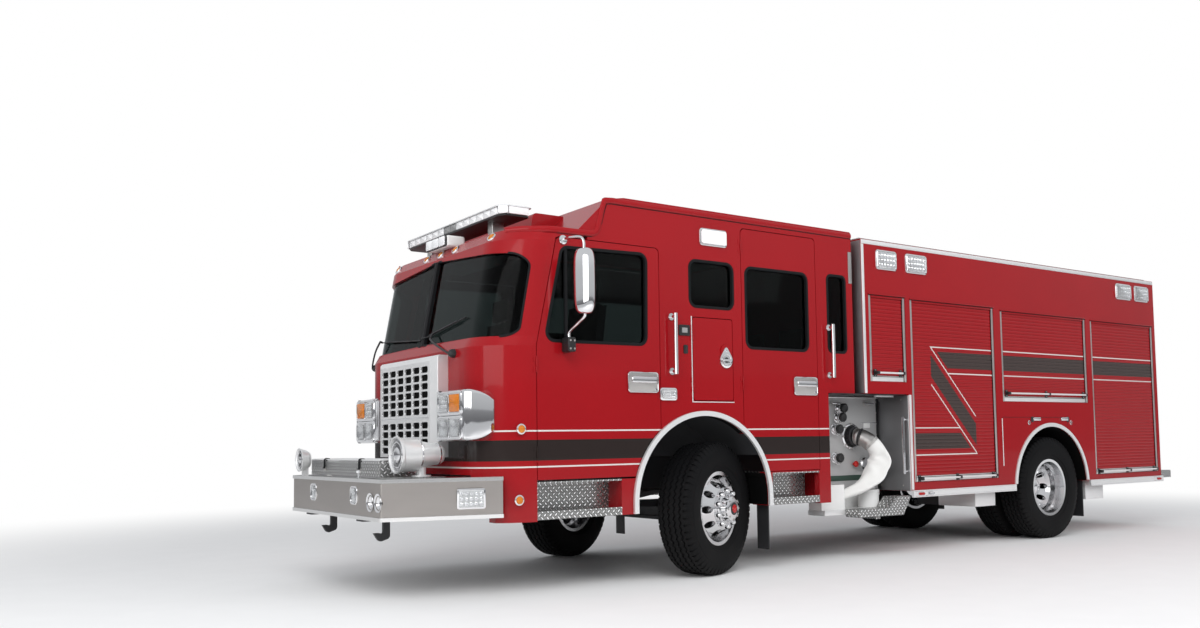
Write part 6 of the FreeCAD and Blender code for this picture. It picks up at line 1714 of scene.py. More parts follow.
def make_door_hardware():
    """Handles of the cab doors, and the ring latch and vent of each locker door."""
    for sign, side in SIDES:
        for name, front, rear, low, high in HANDLES:
            piece = Piece("handle_" + name + side)
            paddle_handle(piece, front, rear, low, high)
            piece.flip(sign)
            piece.finish(name + side, "chrome")
        piece = Piece("ring_latch_" + side)
        place = on_side(AXLE_F - 0.15, CAB_SIDE + 0.0005, 1.748)
        drop = [(0.066 * cos(radians(a)), 0.066 * sin(radians(a))) for a in range(150, 391, 10)]
        piece.add(slab(drop + [(0.014, 0.1), (0.0, 0.106), (-0.014, 0.1)], 0.0135, 0.003), "chrome", place)
        face = place @ move(0, 0, 0.013)
        piece.add(tube(circle(0.046, 0.002), 0.012, 0.008, 8, closed=True), "chrome", face)
        piece.add(turned([(0.0003, 0.04), (0.0008, 0.0)], 32), "dark_trim", face)
        piece.add(block((-0.042, -0.009, 0.0), (0.042, 0.009, 0.008), 0.003), "chrome", face)
        piece.add(turned([(0, 0.009), (0.003, 0.009), (0.004, 0.006), (0.004, 0)], 20), "chrome",
            face @ move(0, 0.08, 0))
        piece.flip(sign)
        piece.finish("locker_door_" + side, "chrome")


def make_key_plates():
    """A blank keypad plate, the small black latch below it and a bright joint on each side."""
    piece = Piece("key_plates")
    place = on_side(AXLE_F + 0.28, CAB_SIDE + 0.0005, 1.975)
    piece.add(slab(oblong(0.112, 0.086, 0.01), 0.01, 0.003), "black_plastic", place)
    piece.add(slab(oblong(0.056, 0.04, 0.004), 0.0115, 0.0005), "lamp_grey", place)
    place = on_side(AXLE_F + 0.268, CAB_SIDE + 0.0005, 1.823)
    piece.add(slab(oblong(0.042, 0.07, 0.01), 0.006, 0.002), "black_plastic", place)
    piece.add(slab(oblong(0.018, 0.044, 0.006), 0.01, 0.002), "black_metal", place)
    piece.add(block((AXLE_F + 0.2, CAB_SIDE - 0.001, 1.405), (AXLE_F + 0.208, CAB_SIDE + 0.004, 2.094),
        0.001), "satin")
    piece.add(block((AXLE_F - 0.236, CAB_SIDE - 0.001, 1.399), (AXLE_F + 0.208, CAB_SIDE + 0.004, 1.406),
        0.001), "satin")
    piece.mirror()
    piece.finish("root", "underbody")


MIRROR_X = AXLE_F + 1.37
MIRROR_MIDDLE = (1.335 + 1.51) / 2


def pillow(half, flat):
    """A full head with soft corners; its back is flat, at a share of its half depth."""
    part = bmesh.new()
    bmesh.ops.create_uvsphere(part, u_segments=48, v_segments=30, radius=1.0)
    for vert in part.verts:
        x, y, z = (abs(v) for v in vert.co)
        size = ((x ** 2.4 + y ** 2.4) ** (4.5 / 2.4) + z ** 4.5) ** (1 / 4.5)
        scaled = vert.co / size
        vert.co = Vector((max(scaled.x, -flat) * half[0], scaled.y * half[1], scaled.z * half[2]))
    return part


def make_mirrors():
    """Each mirror: its bright convex head with two glasses, its bent arms and the black foot with bolts."""
    for sign, side in SIDES:
        piece = Piece("mirror_" + side)
        head = move(MIRROR_X, MIRROR_MIDDLE, 2.2555) @ Matrix.Rotation(radians(20), 4, "Z")
        piece.add(pillow((0.05, 0.0875, 0.2405), 0.6), "chrome", head)
        place = head @ aim((-0.0305, 0, 0), (-1, 0, 0))
        piece.add(bead(oblong(0.136, 0.44, 0.048), 0.003, 0.014, 0.014, 10), "seal", place)
        piece.add(slab(oblong(0.128, 0.3, 0.03), 0.002, 0.0005), "reflector", place @ move(0, 0.062, 0))
        piece.add(slab(oblong(0.128, 0.112, 0.03), 0.005, 0.002), "reflector", place @ move(0, -0.156, 0))
        foot = CAB_SIDE + 0.002
        piece.add(block((MIRROR_X - 0.005, foot, 1.752), (MIRROR_X + 0.06, foot + 0.106, 1.86), 0.012, 3),
            "black_plastic")
        for x, z in ((0.01, 1.775), (0.045, 1.775), (0.01, 1.835), (0.045, 1.835)):
            spot = on_side(MIRROR_X + x, foot + 0.105, z)
            piece.add(turned([(0, 0.008), (0.003, 0.008), (0.004, 0.005), (0.004, 0)], 6), "stainless",
                spot)
        lower = [(0.026, foot + 0.058, 1.85), (0.026, foot + 0.06, 1.9), (0.01, foot + 0.15, 1.955),
            (0.0, MIRROR_MIDDLE, 2.0), (0.0, MIRROR_MIDDLE, 2.04)]
        upper = [(0.04, foot, 2.59), (0.04, foot + 0.085, 2.59), (0.012, MIRROR_MIDDLE - 0.03, 2.58),
            (0.0, MIRROR_MIDDLE, 2.54), (0.0, MIRROR_MIDDLE, 2.47)]
        for run in (lower, upper):
            path = smooth_path([(MIRROR_X + x, y, z) for x, y, z in run], 7)
            piece.add(tube(path, 0.022, sides=14), "chrome")
        piece.add(turned([(0, 0.034), (0.01, 0.034), (0.014, 0.026), (0.014, 0)], 28), "chrome",
            on_side(MIRROR_X + 0.04, foot, 2.59))
        piece.flip(sign)
        made = piece.finish("door_front_" + side, "chrome")
        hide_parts("mirror_" + side)


def make_body_trims():
    """Bright strips along the body's upper edge, its front edge and the rub rails, with their lamps."""
    piece = Piece("body_trims")
    y = BODY_SIDE
    piece.add(block((BODY_REAR + 0.004, y - 0.001, BODY_TOP - 0.042),
        (BODY_FRONT - 0.004, y + 0.003, BODY_TOP - 0.004), 0.001), "satin")
    piece.add(block((BODY_FRONT - 0.036, y - 0.001, 1.5), (BODY_FRONT - 0.002, y + 0.003,
        BODY_TOP - 0.045), 0.001), "satin")
    piece.add(block((BODY_LOW_FRONT - 0.036, y - 0.001, 0.6), (BODY_LOW_FRONT - 0.004, y + 0.003, 1.492),
        0.001), "satin")
    piece.add(block((CAB_REAR_TOP + 0.002, CAB_SIDE - 0.001, 2.5),
        (CAB_REAR_TOP + 0.046, CAB_SIDE + 0.006, 2.79), 0.002), "stainless")
    piece.add(block((BODY_FRONT + 0.0002, 0.7, 1.5), (BODY_FRONT + 0.003, y - 0.003, BODY_TOP - 0.012),
        0.001), "liner")
    for front, rear, _, high in SHUTTERS:
        piece.add(block((rear - 0.004, y - 0.001, high + 0.002), (front + 0.004, y + 0.01, high + 0.012),
            0.002), "red_paint")
        piece.add(block((rear - 0.002, y - 0.002, high - 0.004), (front + 0.002, y + 0.0015, high + 0.002),
            0.0), "seal", smooth=False)
    rail_y = y + 0.0245
    for x0, x1 in ((AXLE_R + 0.684, BODY_LOW_FRONT), (BODY_REAR, AXLE_R - 0.684)):
        for z in (0.54, 0.585):
            piece.add(tube([(x0 + 0.004, rail_y - 0.003, z), (x1 - 0.004, rail_y - 0.003, z)], 0.009,
                0.009, 8), "chrome")
        piece.add(block((x0 + 0.01, rail_y - 0.002, 0.549), (x1 - 0.01, rail_y + 0.0003, 0.576), 0.0),
            "tread_plate", smooth=False)
    marks = ((BODY_LOW_FRONT - 0.1, "red_lens"), (BODY_LOW_FRONT - 0.24, "clear_lens"),
        (BODY_REAR + 0.12, "red_lens"))
    for x, glass in marks:
        marker_lamp(piece, on_side(x, rail_y + 0.0002, 0.5625), glass, 0.09, 0.036)
    for x, z in ((AXLE_F + 1.77, 1.193), (AXLE_F + 1.79, 0.69)):
        spot = on_side(x, CAB_SIDE - 0.001, z)
        piece.add(turned([(0, 0.038), (0.006, 0.038), (0.009, 0.032), (0.01, 0.028)], 32), "chrome", spot)
        piece.add(turned([(0.006, 0.029), (0.014, 0.026), (0.018, 0.016), (0.019, 0)], 32), "amber_lens",
            spot)
    piece.mirror()
    piece.finish("root", "stainless")


ARCH_CENTRE_Z = 0.82


def arch_lining(tree, axle, y, low, high, reach):
    """A strip that follows a wheel arch's inside, seen from a point at y, between two widths."""
    centre = Vector((axle, y, ARCH_CENTRE_Z))
    heights = (0.545, 0.593, 0.62, 0.7, 0.77, 0.796)
    rays = [(Vector((axle, y, z)), Vector((1, 0, 0))) for z in heights]
    rays += [(centre, Vector((cos(pi * i / 36), 0, sin(pi * i / 36)))) for i in range(37)]
    rays += [(Vector((axle, y, z)), Vector((-1, 0, 0))) for z in reversed(heights)]
    part = bmesh.new()
    rows = []
    for start, way in rays:
        hit, _, _, _ = tree.ray_cast(start, way)
        near = None if hit is None else hit - way * 0.003
        seen = near is not None and abs(near.x - axle) < reach
        rows.append([part.verts.new((near.x, across, near.z)) for across in (low, high)] if seen else None)
    for row, following in zip(rows, rows[1:]):
        if row and following:
            part.faces.new((row[0], row[1], following[1], following[0]))
    return part


def make_arch_liners():
    """The near-black lining of the wheel arches: a dark liner with painted shade inside the arches."""
    tree = skin_of("cab_sides")
    piece = Piece("arch_liners")
    # Near-black strips inside the arches: the liner's dark with painted shade.
    piece.add(arch_lining(tree, AXLE_F, 1.075, 0.93, 1.134, 0.64), "dark_painted_shade")
    piece.add(arch_lining(tree, AXLE_F, 1.175, 1.133, CAB_SIDE - 0.003, 0.64), "dark_painted_shade")
    piece.add(block((AXLE_F - 0.643, 0.93, 0.78), (AXLE_F - 0.556, CAB_SIDE - 0.01, 0.812), 0.002),
        "dark_painted_shade")
    tree = skin_of("body_sides")
    piece.add(arch_lining(tree, AXLE_R, 1.05, 0.62, 1.19, 0.72), "dark_painted_shade")
    piece.add(arch_lining(tree, AXLE_R, 1.215, 1.189, BODY_SIDE - 0.003, 0.72), "dark_painted_shade")
    piece.mirror()
    piece.finish("root", "underbody")


def make_arch_panels():
    """Joints, bright edge and two catches with lamps of each rear arch panel, and the cases below it."""
    piece = Piece("arch_panels")
    y = BODY_SIDE
    piece.add(block((AXLE_R + 0.846, y - 0.001, 0.787), (AXLE_R + 0.858, y + 0.0015, 1.272), 0.0005),
        "satin")
    for low, high in (((AXLE_R - 0.312, 1.282), (AXLE_R + 0.856, 1.286)),
            ((AXLE_R - 0.316, 1.19), (AXLE_R - 0.312, 1.286))):
        piece.add(block((low[0], y - 0.001, low[1]), (high[0], y + 0.0006, high[1]), 0.0), "seal",
            smooth=False)
    for x, z, hinge_x, way in ((0.39, 1.228, 0.33, -1), (-0.376, 1.227, -0.318, 1)):
        lamp = on_side(AXLE_R + x, y - 0.001, z)
        piece.add(turned([(0, 0.024), (0.005, 0.024), (0.008, 0.02)], 28), "chrome", lamp)
        piece.add(turned([(0.004, 0.021), (0.01, 0.018), (0.013, 0.01), (0.014, 0)], 28), "clear_lens",
            lamp)
        pivot = on_side(AXLE_R + hinge_x, y - 0.001, 1.262)
        piece.add(turned([(0, 0.03), (0.004, 0.03), (0.007, 0.024), (0.008, 0)], 28), "black_plastic",
            pivot)
        lever = on_side(AXLE_R + hinge_x + way * 0.07, y + 0.003, 1.265)
        piece.add(slab(oblong(0.13, 0.034, 0.012), 0.012, 0.004), "chrome", lever)
    for front, rear, low in ((AXLE_R + 1.22, AXLE_R + 0.9, 0.39), (AXLE_R - 0.75, AXLE_R - 1.1, 0.377)):
        piece.add(block((rear - 0.003, 1.149, low - 0.002), (front + 0.003, 1.153, 0.588), 0.001), "satin")
        for x in (rear - 0.003, front - 0.0005):
            piece.add(block((x, 0.7, low - 0.002), (x + 0.0035, 1.151, 0.588), 0.001), "satin")
        piece.add(block((rear, 0.7, low - 0.003), (front, 1.151, low + 0.0005), 0.001), "satin")
    piece.mirror()
    piece.finish("root", "stainless")


def make_roof_rails():
    """The rounded lip along each side of the cab's raised roof, down its slope and over the front door, with
    a thin dark line under it as a painted shadow.
    """
    piece = Piece("roof_rails")
    y = CAB_SIDE + 0.001
    tree = skin_of("cab_front", "cab_roof")
    corner = [from_front(tree, across, 2.64)[0] for across in (0.98, 1.08, 1.15)]
    front = [(point.x - 0.006, point.y, 2.66) for point in corner]
    path = smooth_path(front + [(corner[-1].x - 0.12, y, 2.662), (AXLE_F + 1.24, y, 2.664),
        (AXLE_F + 1.118, y, 2.678), (AXLE_F + 1.082, y, 2.762), (AXLE_F + 1.04, y, 2.905),
        (AXLE_F + 0.985, y, 2.938), (AXLE_F + 0.6, y, 2.938), (CAB_REAR_TOP + 0.004, y, 2.938)], 6)
    piece.add(tube(path, 0.022, 0.046, 14, across=(0, 1, 0)), "red_paint")
    # Thin lines in window rubber just under the lip: a painted shadow beneath it.
    lines = (((AXLE_F + 1.06, y, 2.745), (AXLE_F + 1.02, y, 2.88), (AXLE_F + 0.975, y, 2.912),
        (AXLE_F + 0.7, y, 2.912), (CAB_REAR_TOP + 0.004, y, 2.912)),
        ((corner[-1].x - 0.15, y, 2.638), (AXLE_F + 1.4, y, 2.639), (AXLE_F + 1.15, y, 2.64)))
    for line in lines:
        piece.add(tube(smooth_path(line, 5), 0.004, 0.006, 6, across=(0, 1, 0)), "seal")
    piece.mirror()
    piece.finish("root", "red_paint")


# Pump bay

PUMP_X = BODY_LOW_FRONT + 0.39
PUMP_PANEL_TOP = 1.485


def knurled_cap(piece, place, radius, height, material, ribs=14):
    """A round cap with ribs about its edge and a shallow dished top."""
    piece.add(turned([(0, 0.0), (0, radius), (height * 0.8, radius), (height * 0.95, radius * 0.9),
        (height, radius * 0.75), (height * 0.9, radius * 0.6), (height * 0.88, 0)], 40), material, place)
    for i in range(ribs):
        angle = 2 * pi * i / ribs
        spot = Vector((radius * cos(angle), radius * sin(angle), 0))
        ends = [spot + Vector((0, 0, height * share)) for share in (0.1, 0.78)]
        piece.add(tube(ends, radius * 0.16, sides=8), material, place)


def make_pump_details():
    """The left panel's valve caps, coupling lugs, pull rods, blank labels and red knob."""
    piece = Piece("pump_details")
    y = PUMP_SIDE
    for dx, z in ((0.15, 1.377), (0.17, 1.29), (0.215, 1.18), (0.22, 0.912)):
        place = on_side(PUMP_X + dx, y + 0.001, z)
        piece.add(turned([(0, 0.052), (0.006, 0.052), (0.009, 0.046), (0.009, 0.03), (0.03, 0.03),
            (0.034, 0.036), (0.052, 0.036), (0.056, 0.03)], 40), "chrome", place)
        knurled_cap(piece, place @ move(0, 0, 0.058), 0.041, 0.032, "black_plastic")
        angles = [2 * pi * i / 36 for i in range(36)]
        ring = [Vector((0.05 * cos(angle), 0.05 * sin(angle) - 0.012, 0.048)) for angle in angles]
        piece.add(tube(ring, 0.005, 0.005, 8, closed=True), "chrome", place)
    place = on_side(PUMP_X, y + 0.0005, 1.112)
    piece.add(turned([(0, 0.107), (0, 0.12), (0.012, 0.12), (0.016, 0.112), (0.018, 0.1)], 48), "chrome",
        place)
    for turn in ring_of(8, 0.112, 0.012):
        spot = place @ turn
        piece.add(turned([(0, 0.01), (0.012, 0.01), (0.014, 0.006), (0.014, 0)], 6), "stainless", spot)
    for x, z, width, height in ((0.06, 1.215, 0.09, 0.052), (0.345, 1.04, 0.075, 0.045),
            (0.02, 0.7, 0.11, 0.04)):
        place = on_side(BODY_LOW_FRONT + 0.1 + x, y - 0.0005, z)
        piece.add(slab(oblong(width, height, 0.006), 0.0028, 0.0008), "white_label", place)
    for x, z in ((PUMP_X - 0.26, 1.42), (PUMP_X - 0.2, 1.42), (PUMP_X + 0.245, 1.42)):
        spot = on_side(x, y, z)
        piece.add(turned([(0, 0.018), (0.005, 0.018), (0.006, 0.007), (0.036, 0.007)], 24), "stainless",
            spot)
        piece.add(tube([(x - 0.03, y + 0.042, z), (x + 0.03, y + 0.042, z)], 0.018, sides=12), "chrome")
    spot = on_side(BODY_LOW_FRONT + 0.3575, y, 0.849)
    piece.add(turned([(0, 0.012), (0.02, 0.012), (0.022, 0.026), (0.03, 0.03), (0.042, 0.028),
        (0.05, 0.014), (0.051, 0)], 32), "red_knob", spot)
    for x in (BODY_LOW_FRONT + 0.02, CAB_REAR_LOW - 0.04):
        for i in range(9):
            spot = on_side(x, y - 0.0005, 0.6 + i * 0.105)
            piece.add(turned([(0, 0.0085), (0.003, 0.008), (0.0045, 0.005), (0.0048, 0)], 16), "stainless",
                spot)
    piece.add(block((BODY_LOW_FRONT + 0.004, y - 0.001, PUMP_PANEL_TOP - 0.012),
        (CAB_REAR_LOW - 0.026, y + 0.006, PUMP_PANEL_TOP), 0.002), "satin")
    piece.add(block((BODY_LOW_FRONT + 0.004, y, 0.695), (CAB_REAR_LOW - 0.026, y + 0.004, 0.745), 0.001),
        "green_label")
    for z in (1.075, 1.235):
        piece.add(block((BODY_LOW_FRONT + 0.01, y, z), (BODY_LOW_FRONT + 0.25, y + 0.003, z + 0.007),
            0.001), "chrome")
    piece.finish("root", "chrome")


DIAL = 0.058


def make_right_pump_details():
    """Two blank gauges with their ticks and pointers, three capped valves and the large capped inlet."""
    piece = Piece("pump_details_right")
    y = PUMP_SIDE
    for dx in (-0.09, 0.06):
        spot = aim((PUMP_X + dx, -y, 1.33), (0, -1, 0))
        piece.add(turned([(0, DIAL + 0.008), (0.016, DIAL + 0.008), (0.021, DIAL + 0.003), (0.021, DIAL),
            (0.016, DIAL - 0.002)], 40), "chrome", spot)
        piece.add(turned([(0.0155, DIAL), (0.0158, 0)], 40), "white_label", spot)
        for i in range(11):
            angle = radians(225 - 27 * i)
            ray = Vector((cos(angle), sin(angle), 0))
            tick = [ray * DIAL * share + Vector((0, 0, 0.0165)) for share in (0.74, 0.9)]
            piece.add(tube(tick, 0.0016, 0.0008, 6), "black_plastic", spot)
        pointer = [(0, 0, 0.0175), (-0.6 * DIAL, -0.45 * DIAL, 0.0175)]
        piece.add(tube(pointer, 0.003, 0.0012, 6), "red_knob", spot)
    for dx, z in ((-0.2, 0.8), (0.17, 1.29), (-0.19, 1.3)):
        place = aim((PUMP_X + dx, -y - 0.001, z), (0, -1, 0))
        piece.add(turned([(0, 0.052), (0.006, 0.052), (0.009, 0.046), (0.009, 0.034), (0.04, 0.034),
            (0.046, 0.042)], 40), "chrome", place)
        knurled_cap(piece, place @ move(0, 0, 0.05), 0.046, 0.034, "chrome")
    place = aim((PUMP_X, -y - 0.018, 1.0), (0, -1, 0))
    knurled_cap(piece, place, 0.104, 0.086, "chrome", 20)
    for way in (1, -1):
        grip = tube(smooth_path([(0.09 * way, 0, 0.06), (0.135 * way, 0, 0.066), (0.15 * way, 0, 0.066)],
            4), 0.02)
        piece.add(grip, "chrome", place)
    piece.finish("root", "chrome")


HOSE_SIDES = 44


def sleeve(points, radii):
    """A round pipe along points with a radius at each; its ends are open."""
    part = bmesh.new()
    points = [Vector(p) for p in points]
    side = None
    rings = []
    for i, (point, radius) in enumerate(zip(points, radii)):
        along = (points[min(i + 1, len(points) - 1)] - points[max(i - 1, 0)]).normalized()
        side = along.orthogonal() if side is None else side - along * side.dot(along)
        side.normalize()
        flat = along.cross(side)
        angles = [2 * pi * k / HOSE_SIDES for k in range(HOSE_SIDES)]
        rings.append([part.verts.new(point + (side * cos(a) + flat * sin(a)) * radius) for a in angles])
    return skin_rings(part, rings)


INLET = Vector((PUMP_X, PUMP_SIDE, 1.112))
ELBOW_KNEE = Vector((PUMP_X - 0.025, PUMP_SIDE + 0.14, 1.105))
ELBOW_END = Vector((BODY_LOW_FRONT + 0.315, PUMP_SIDE + 0.19, 1.045))
HOSE_ACROSS = (-0.66, 0.75, 0.0)


def elbow_point(share):
    """A point on the elbow's middle line, from its collar at 0 to its end at 1."""
    start = INLET + Vector((0, 0.06, 0))
    return start.lerp(ELBOW_KNEE, share).lerp(ELBOW_KNEE.lerp(ELBOW_END, share), share)


def elbow_run(start, end, radii):
    """A sleeve along a share of the elbow, with a radius at each station."""
    count = len(radii) - 1
    return sleeve([elbow_point(start + (end - start) * i / count) for i in range(count + 1)], radii)


def make_elbow():
    """The suction elbow: ribbed black collar, bright rings, brushed bell and the band on the hose."""
    piece = Piece("elbow")
    place = aim(INLET, (0, 1, 0))
    piece.add(turned([(0.001, 0.0), (0.001, 0.105), (0.018, 0.105), (0.02, 0.086), (0.064, 0.086),
        (0.068, 0.08), (0.068, 0.06)], 48), "black_metal", place)
    for i in range(16):
        turn = Matrix.Rotation(2 * pi * i / 16, 4, "Z")
        lug = block((0.08, -0.007, 0.022), (0.0915, 0.007, 0.062), 0.003)
        lug.transform(turn)
        piece.add(lug, "black_metal", place)
    piece.add(elbow_run(0.0, 1.0, [0.0715] * 13), "black_metal")
    piece.add(elbow_run(0.02, 0.26, [0.072, 0.0765, 0.0775, 0.0775, 0.0765, 0.072]), "stainless")
    piece.add(elbow_run(0.27, 0.34, [0.072, 0.0835, 0.085, 0.0835, 0.072]), "black_metal")
    piece.add(elbow_run(0.35, 0.985, [0.072, 0.08, 0.079, 0.078, 0.077, 0.0765, 0.0765, 0.078, 0.078,
        0.072]), "stainless")
    made = piece.finish("root", "underbody")
    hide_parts("suction_elbow")


def soft_tube(stations):
    """A soft hose along stations of (point, width, height, width direction, how creased it is)."""
    part = bmesh.new()
    rings = []
    count = len(stations)
    for i, (point, width, height, across, crease) in enumerate(stations):
        before = stations[max(i - 1, 0)][0]
        after = stations[min(i + 1, count - 1)][0]
        along = (after - before).normalized()
        flat = Vector(across).cross(along).normalized()
        side = along.cross(flat).normalized()
        ring = []
        for k in range(HOSE_SIDES):
            angle = 2 * pi * k / HOSE_SIDES
            fold = crease * 0.42 * sin(angle) * cos(3 * angle + 0.5 * sin(i * 0.45))
            ripple = 1 + crease * 0.05 * sin(2 * angle + i * 0.35)
            ring.append(part.verts.new(point + side * cos(angle) * width / 2 * ripple + flat
                * (sin(angle) + fold) * height / 2))
        rings.append(ring)
    return skin_rings(part, rings, ended=True)


def make_hose():
    """The white soft hose: bound on the elbow, folded flat at its crease and led into the white box."""
    x, y, z = ELBOW_END
    knots = [
        (x + 0.006, y - 0.006, z + 0.006, 0.154, 0.154, 0.0),
        (x - 0.02, y + 0.018, z - 0.03, 0.15, 0.134, 0.1),
        (x - 0.04, y + 0.038, z - 0.078, 0.16, 0.098, 0.3),
        (x - 0.05, y + 0.048, z - 0.125, 0.19, 0.062, 0.9),
        (x - 0.046, y + 0.052, z - 0.17, 0.21, 0.044, 1.2),
        (x - 0.026, y + 0.05, z - 0.22, 0.214, 0.048, 1.2),
        (x + 0.006, y + 0.045, z - 0.27, 0.206, 0.056, 1.0),
        (x + 0.055, y + 0.036, z - 0.322, 0.186, 0.064, 0.8),
        (x + 0.12, y + 0.02, z - 0.375, 0.152, 0.074, 0.5),
        (x + 0.2, y - 0.006, z - 0.42, 0.124, 0.082, 0.4),
        (x + 0.275, y - 0.036, z - 0.452, 0.108, 0.086, 0.3),
        (x + 0.345, y - 0.07, z - 0.482, 0.098, 0.084, 0.2)]
    points = smooth_path([k[:3] for k in knots], 6)
    extra = smooth_path([k[3:] for k in knots], 6)
    stations = [(p, e.x, e.y, HOSE_ACROSS, max(e.z, 0.0)) for p, e in zip(points, extra)]
    piece = Piece("hose_soft")
    piece.add(soft_tube(stations), "hose")
    made = piece.finish("root", "hose_fabric", 60)
    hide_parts("hose")
    piece = Piece("hose_binding")
    along = (Vector(knots[1][:3]) - Vector(knots[0][:3])).normalized()
    place = aim(Vector(knots[0][:3]), along)
    for at in (0.006, 0.018):
        piece.add(tube(circle(0.0785, at), 0.006, 0.006, 8, closed=True), "stainless", place)
    piece.finish("root", "hose_fabric")


def make_bay_lining():
    """The pump bay's brushed rear wall, its dark ceiling with a lamp, and the tray's channel."""
    piece = Piece("bay_lining")
    wall = BODY_LOW_FRONT
    low, high = 0.592, 1.489
    piece.add(block((wall + 0.0002, PUMP_SIDE - 0.001, low), (wall + 0.024, PUMP_SIDE + 0.005, high),
        0.001), "black_plastic")
    piece.add(block((wall + 0.01, PUMP_SIDE + 0.0002, 0.545),
        (CAB_REAR_LOW - 0.03, PUMP_SIDE + 0.004, 0.592), 0.001), "tread_plate")
    piece.add(block((wall + 0.0002, PUMP_SIDE + 0.004, low), (wall + 0.003, BODY_SIDE - 0.012, high),
        0.001), "liner")
    piece.add(block((wall + 0.0002, BODY_SIDE - 0.012, low), (wall + 0.005, BODY_SIDE - 0.001, high),
        0.001), "satin")
    for z in (0.64, 1.06, 1.45):
        for y in (PUMP_SIDE + 0.03, BODY_SIDE - 0.095):
            piece.add(turned([(0, 0.008), (0.003, 0.007), (0.004, 0)], 12), "stainless",
                on_front(wall + 0.003, y, z))
    tree = skin_of("body_sides", "body_ends")
    roof, _, _, _ = tree.ray_cast(Vector((wall + 0.3, 1.05, 1.3)), Vector((0, 0, 1)))
    piece.add(block((wall + 0.01, PUMP_SIDE + 0.006, roof.z - 0.006),
        (CAB_REAR_LOW - 0.02, BODY_SIDE - 0.02, roof.z - 0.0005), 0.001), "black_plastic")
    piece.add(block((wall + 0.09, 1.1, roof.z - 0.024), (wall + 0.33, 1.135, roof.z - 0.005), 0.006, 3),
        "pale_cover")
    tray_low, tray_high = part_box("pump_tray")
    piece.add(block((tray_low.x - 0.001, PUMP_SIDE + 0.014, tray_low.z - 0.001),
        (tray_high.x + 0.001, tray_high.y + 0.001, 0.4465), 0.003), "satin")
    pot = Vector((wall + 0.29, PUMP_SIDE + 0.112, 0.445))
    piece.add(turned([(0.135, 0.0985), (0.137, 0.102), (0.15, 0.102), (0.166, 0.1015), (0.167, 0.094)],
        48), "white_paint", Matrix.Translation(pot))
    piece.add(turned([(0.15, 0.0), (0.15, 0.088)], 40), "dark_trim", Matrix.Translation(pot))
    piece.finish("root", "stainless")


# Seats

# Each left seat: the back of its cushion, its middle and the height of its base
SEATS = ((AXLE_F + 0.92, 0.72, 1.345), (AXLE_F - 1.19, 0.87, 1.03), (AXLE_F - 1.19, 0.32, 1.03))


PAD_CUTS = 14


def pad(size, crown, channels):
    """A stuffed pad about the origin: crowned faces, sides drawn in between its corners, sewn channels."""
    part = bmesh.new()
    bmesh.ops.create_cube(part, size=1.0)
    bmesh.ops.subdivide_edges(part, edges=part.edges[:], cuts=PAD_CUTS, use_grid_fill=True)
    half = Vector(size) / 2
    for vert in part.verts:
        u, v, w = (2 * channel for channel in vert.co)
        fat = (1 - u ** 4) * (1 - v ** 4)
        edge = max(abs(u), abs(v))
        thick = 1 - 0.3 * edge ** 8
        drawn = 1 - 0.035 * (1 - w * w)
        sewn = 0.0
        if channels and abs(w) > 0.5:
            sewn = 0.1 * exp(-((((u + 1) * channels / 2) % 1.0 - 0.5) / 0.1) ** 2) * (1 - v ** 8)
        vert.co = Vector((half.x * u * drawn, half.y * v * drawn,
            half.z * w * thick * (1 + crown * fat) - copysign(half.z * sewn, w)))
    return normals_out(part)


# The stuffed pads of a seat: place, lean in degrees, size, crown and channels
PADS = (
    ((0.24, 0.215), -4, (0.47, 0.47, 0.105), 0.16, 3),
    ((0.008, 0.535), -97.5, (0.6, 0.45, 0.1), 0.14, 4),
    ((-0.036, 0.955), -92, (0.195, 0.29, 0.078), 0.1, 0))


def make_seats():
    """Cushion, back and headrest of each seat, in grained vinyl with sewn channels."""
    piece = Piece("seat_pads")
    for x, y, z in SEATS:
        for (dx, dz), lean, size, crown, channels in PADS:
            turn = Matrix.Rotation(radians(lean), 4, "Y")
            piece.add(pad(size, crown, channels), "seat", move(x + dx, y, z + dz) @ turn)
        for way in (1, -1):
            low = (x - 0.03, y + way * 0.05, z + 0.82)
            piece.add(tube([low, (x - 0.034, y + way * 0.05, z + 0.88)], 0.012), "satin")
    piece.mirror()
    made = piece.finish("root", "upholstery", 60)
    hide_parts("seats")


# Operators

class FIREENGINE_OT_stage(bpy.types.Operator):
    """Set the floor, lights, white background and the camera of the photograph"""
    bl_idname = "fire_engine.stage"
    bl_label = "Stage and Camera"

    def execute(self, context):
        make_stage()
        return {"FINISHED"}


class FIREENGINE_OT_finishes(bpy.types.Operator):
    """Give the CAD pieces their paint, metal, glass and rubber"""
    bl_idname = "fire_engine.finishes"
    bl_label = "Paint and Finishes"

    def execute(self, context):
        apply_finishes()
        return {"FINISHED"}


class FIREENGINE_OT_tyres(bpy.types.Operator):
    """Build the tyres with their tread"""
    bl_idname = "fire_engine.tyres"
    bl_label = "Tyres"

    def execute(self, context):
        make_tyres()
        return {"FINISHED"}


class FIREENGINE_OT_hubs(bpy.types.Operator):
    """Build nut covers, hub caps and valve stems"""
    bl_idname = "fire_engine.hubs"
    bl_label = "Hub Details"

    def execute(self, context):
        make_hub_details()
        return {"FINISHED"}


class FIREENGINE_OT_shutters(bpy.types.Operator):
    """Build the roll-up doors with slats, tracks and lift bars"""
    bl_idname = "fire_engine.shutters"
    bl_label = "Roll-up Doors"

    def execute(self, context):
        make_shutters()
        return {"FINISHED"}


class FIREENGINE_OT_windows(bpy.types.Operator):
    """Build the rubber seals of all windows, and the wipers"""
    bl_idname = "fire_engine.windows"
    bl_label = "Window Seals and Wipers"

    def execute(self, context):
        make_side_seals()
        make_windscreen_trim()
        return {"FINISHED"}


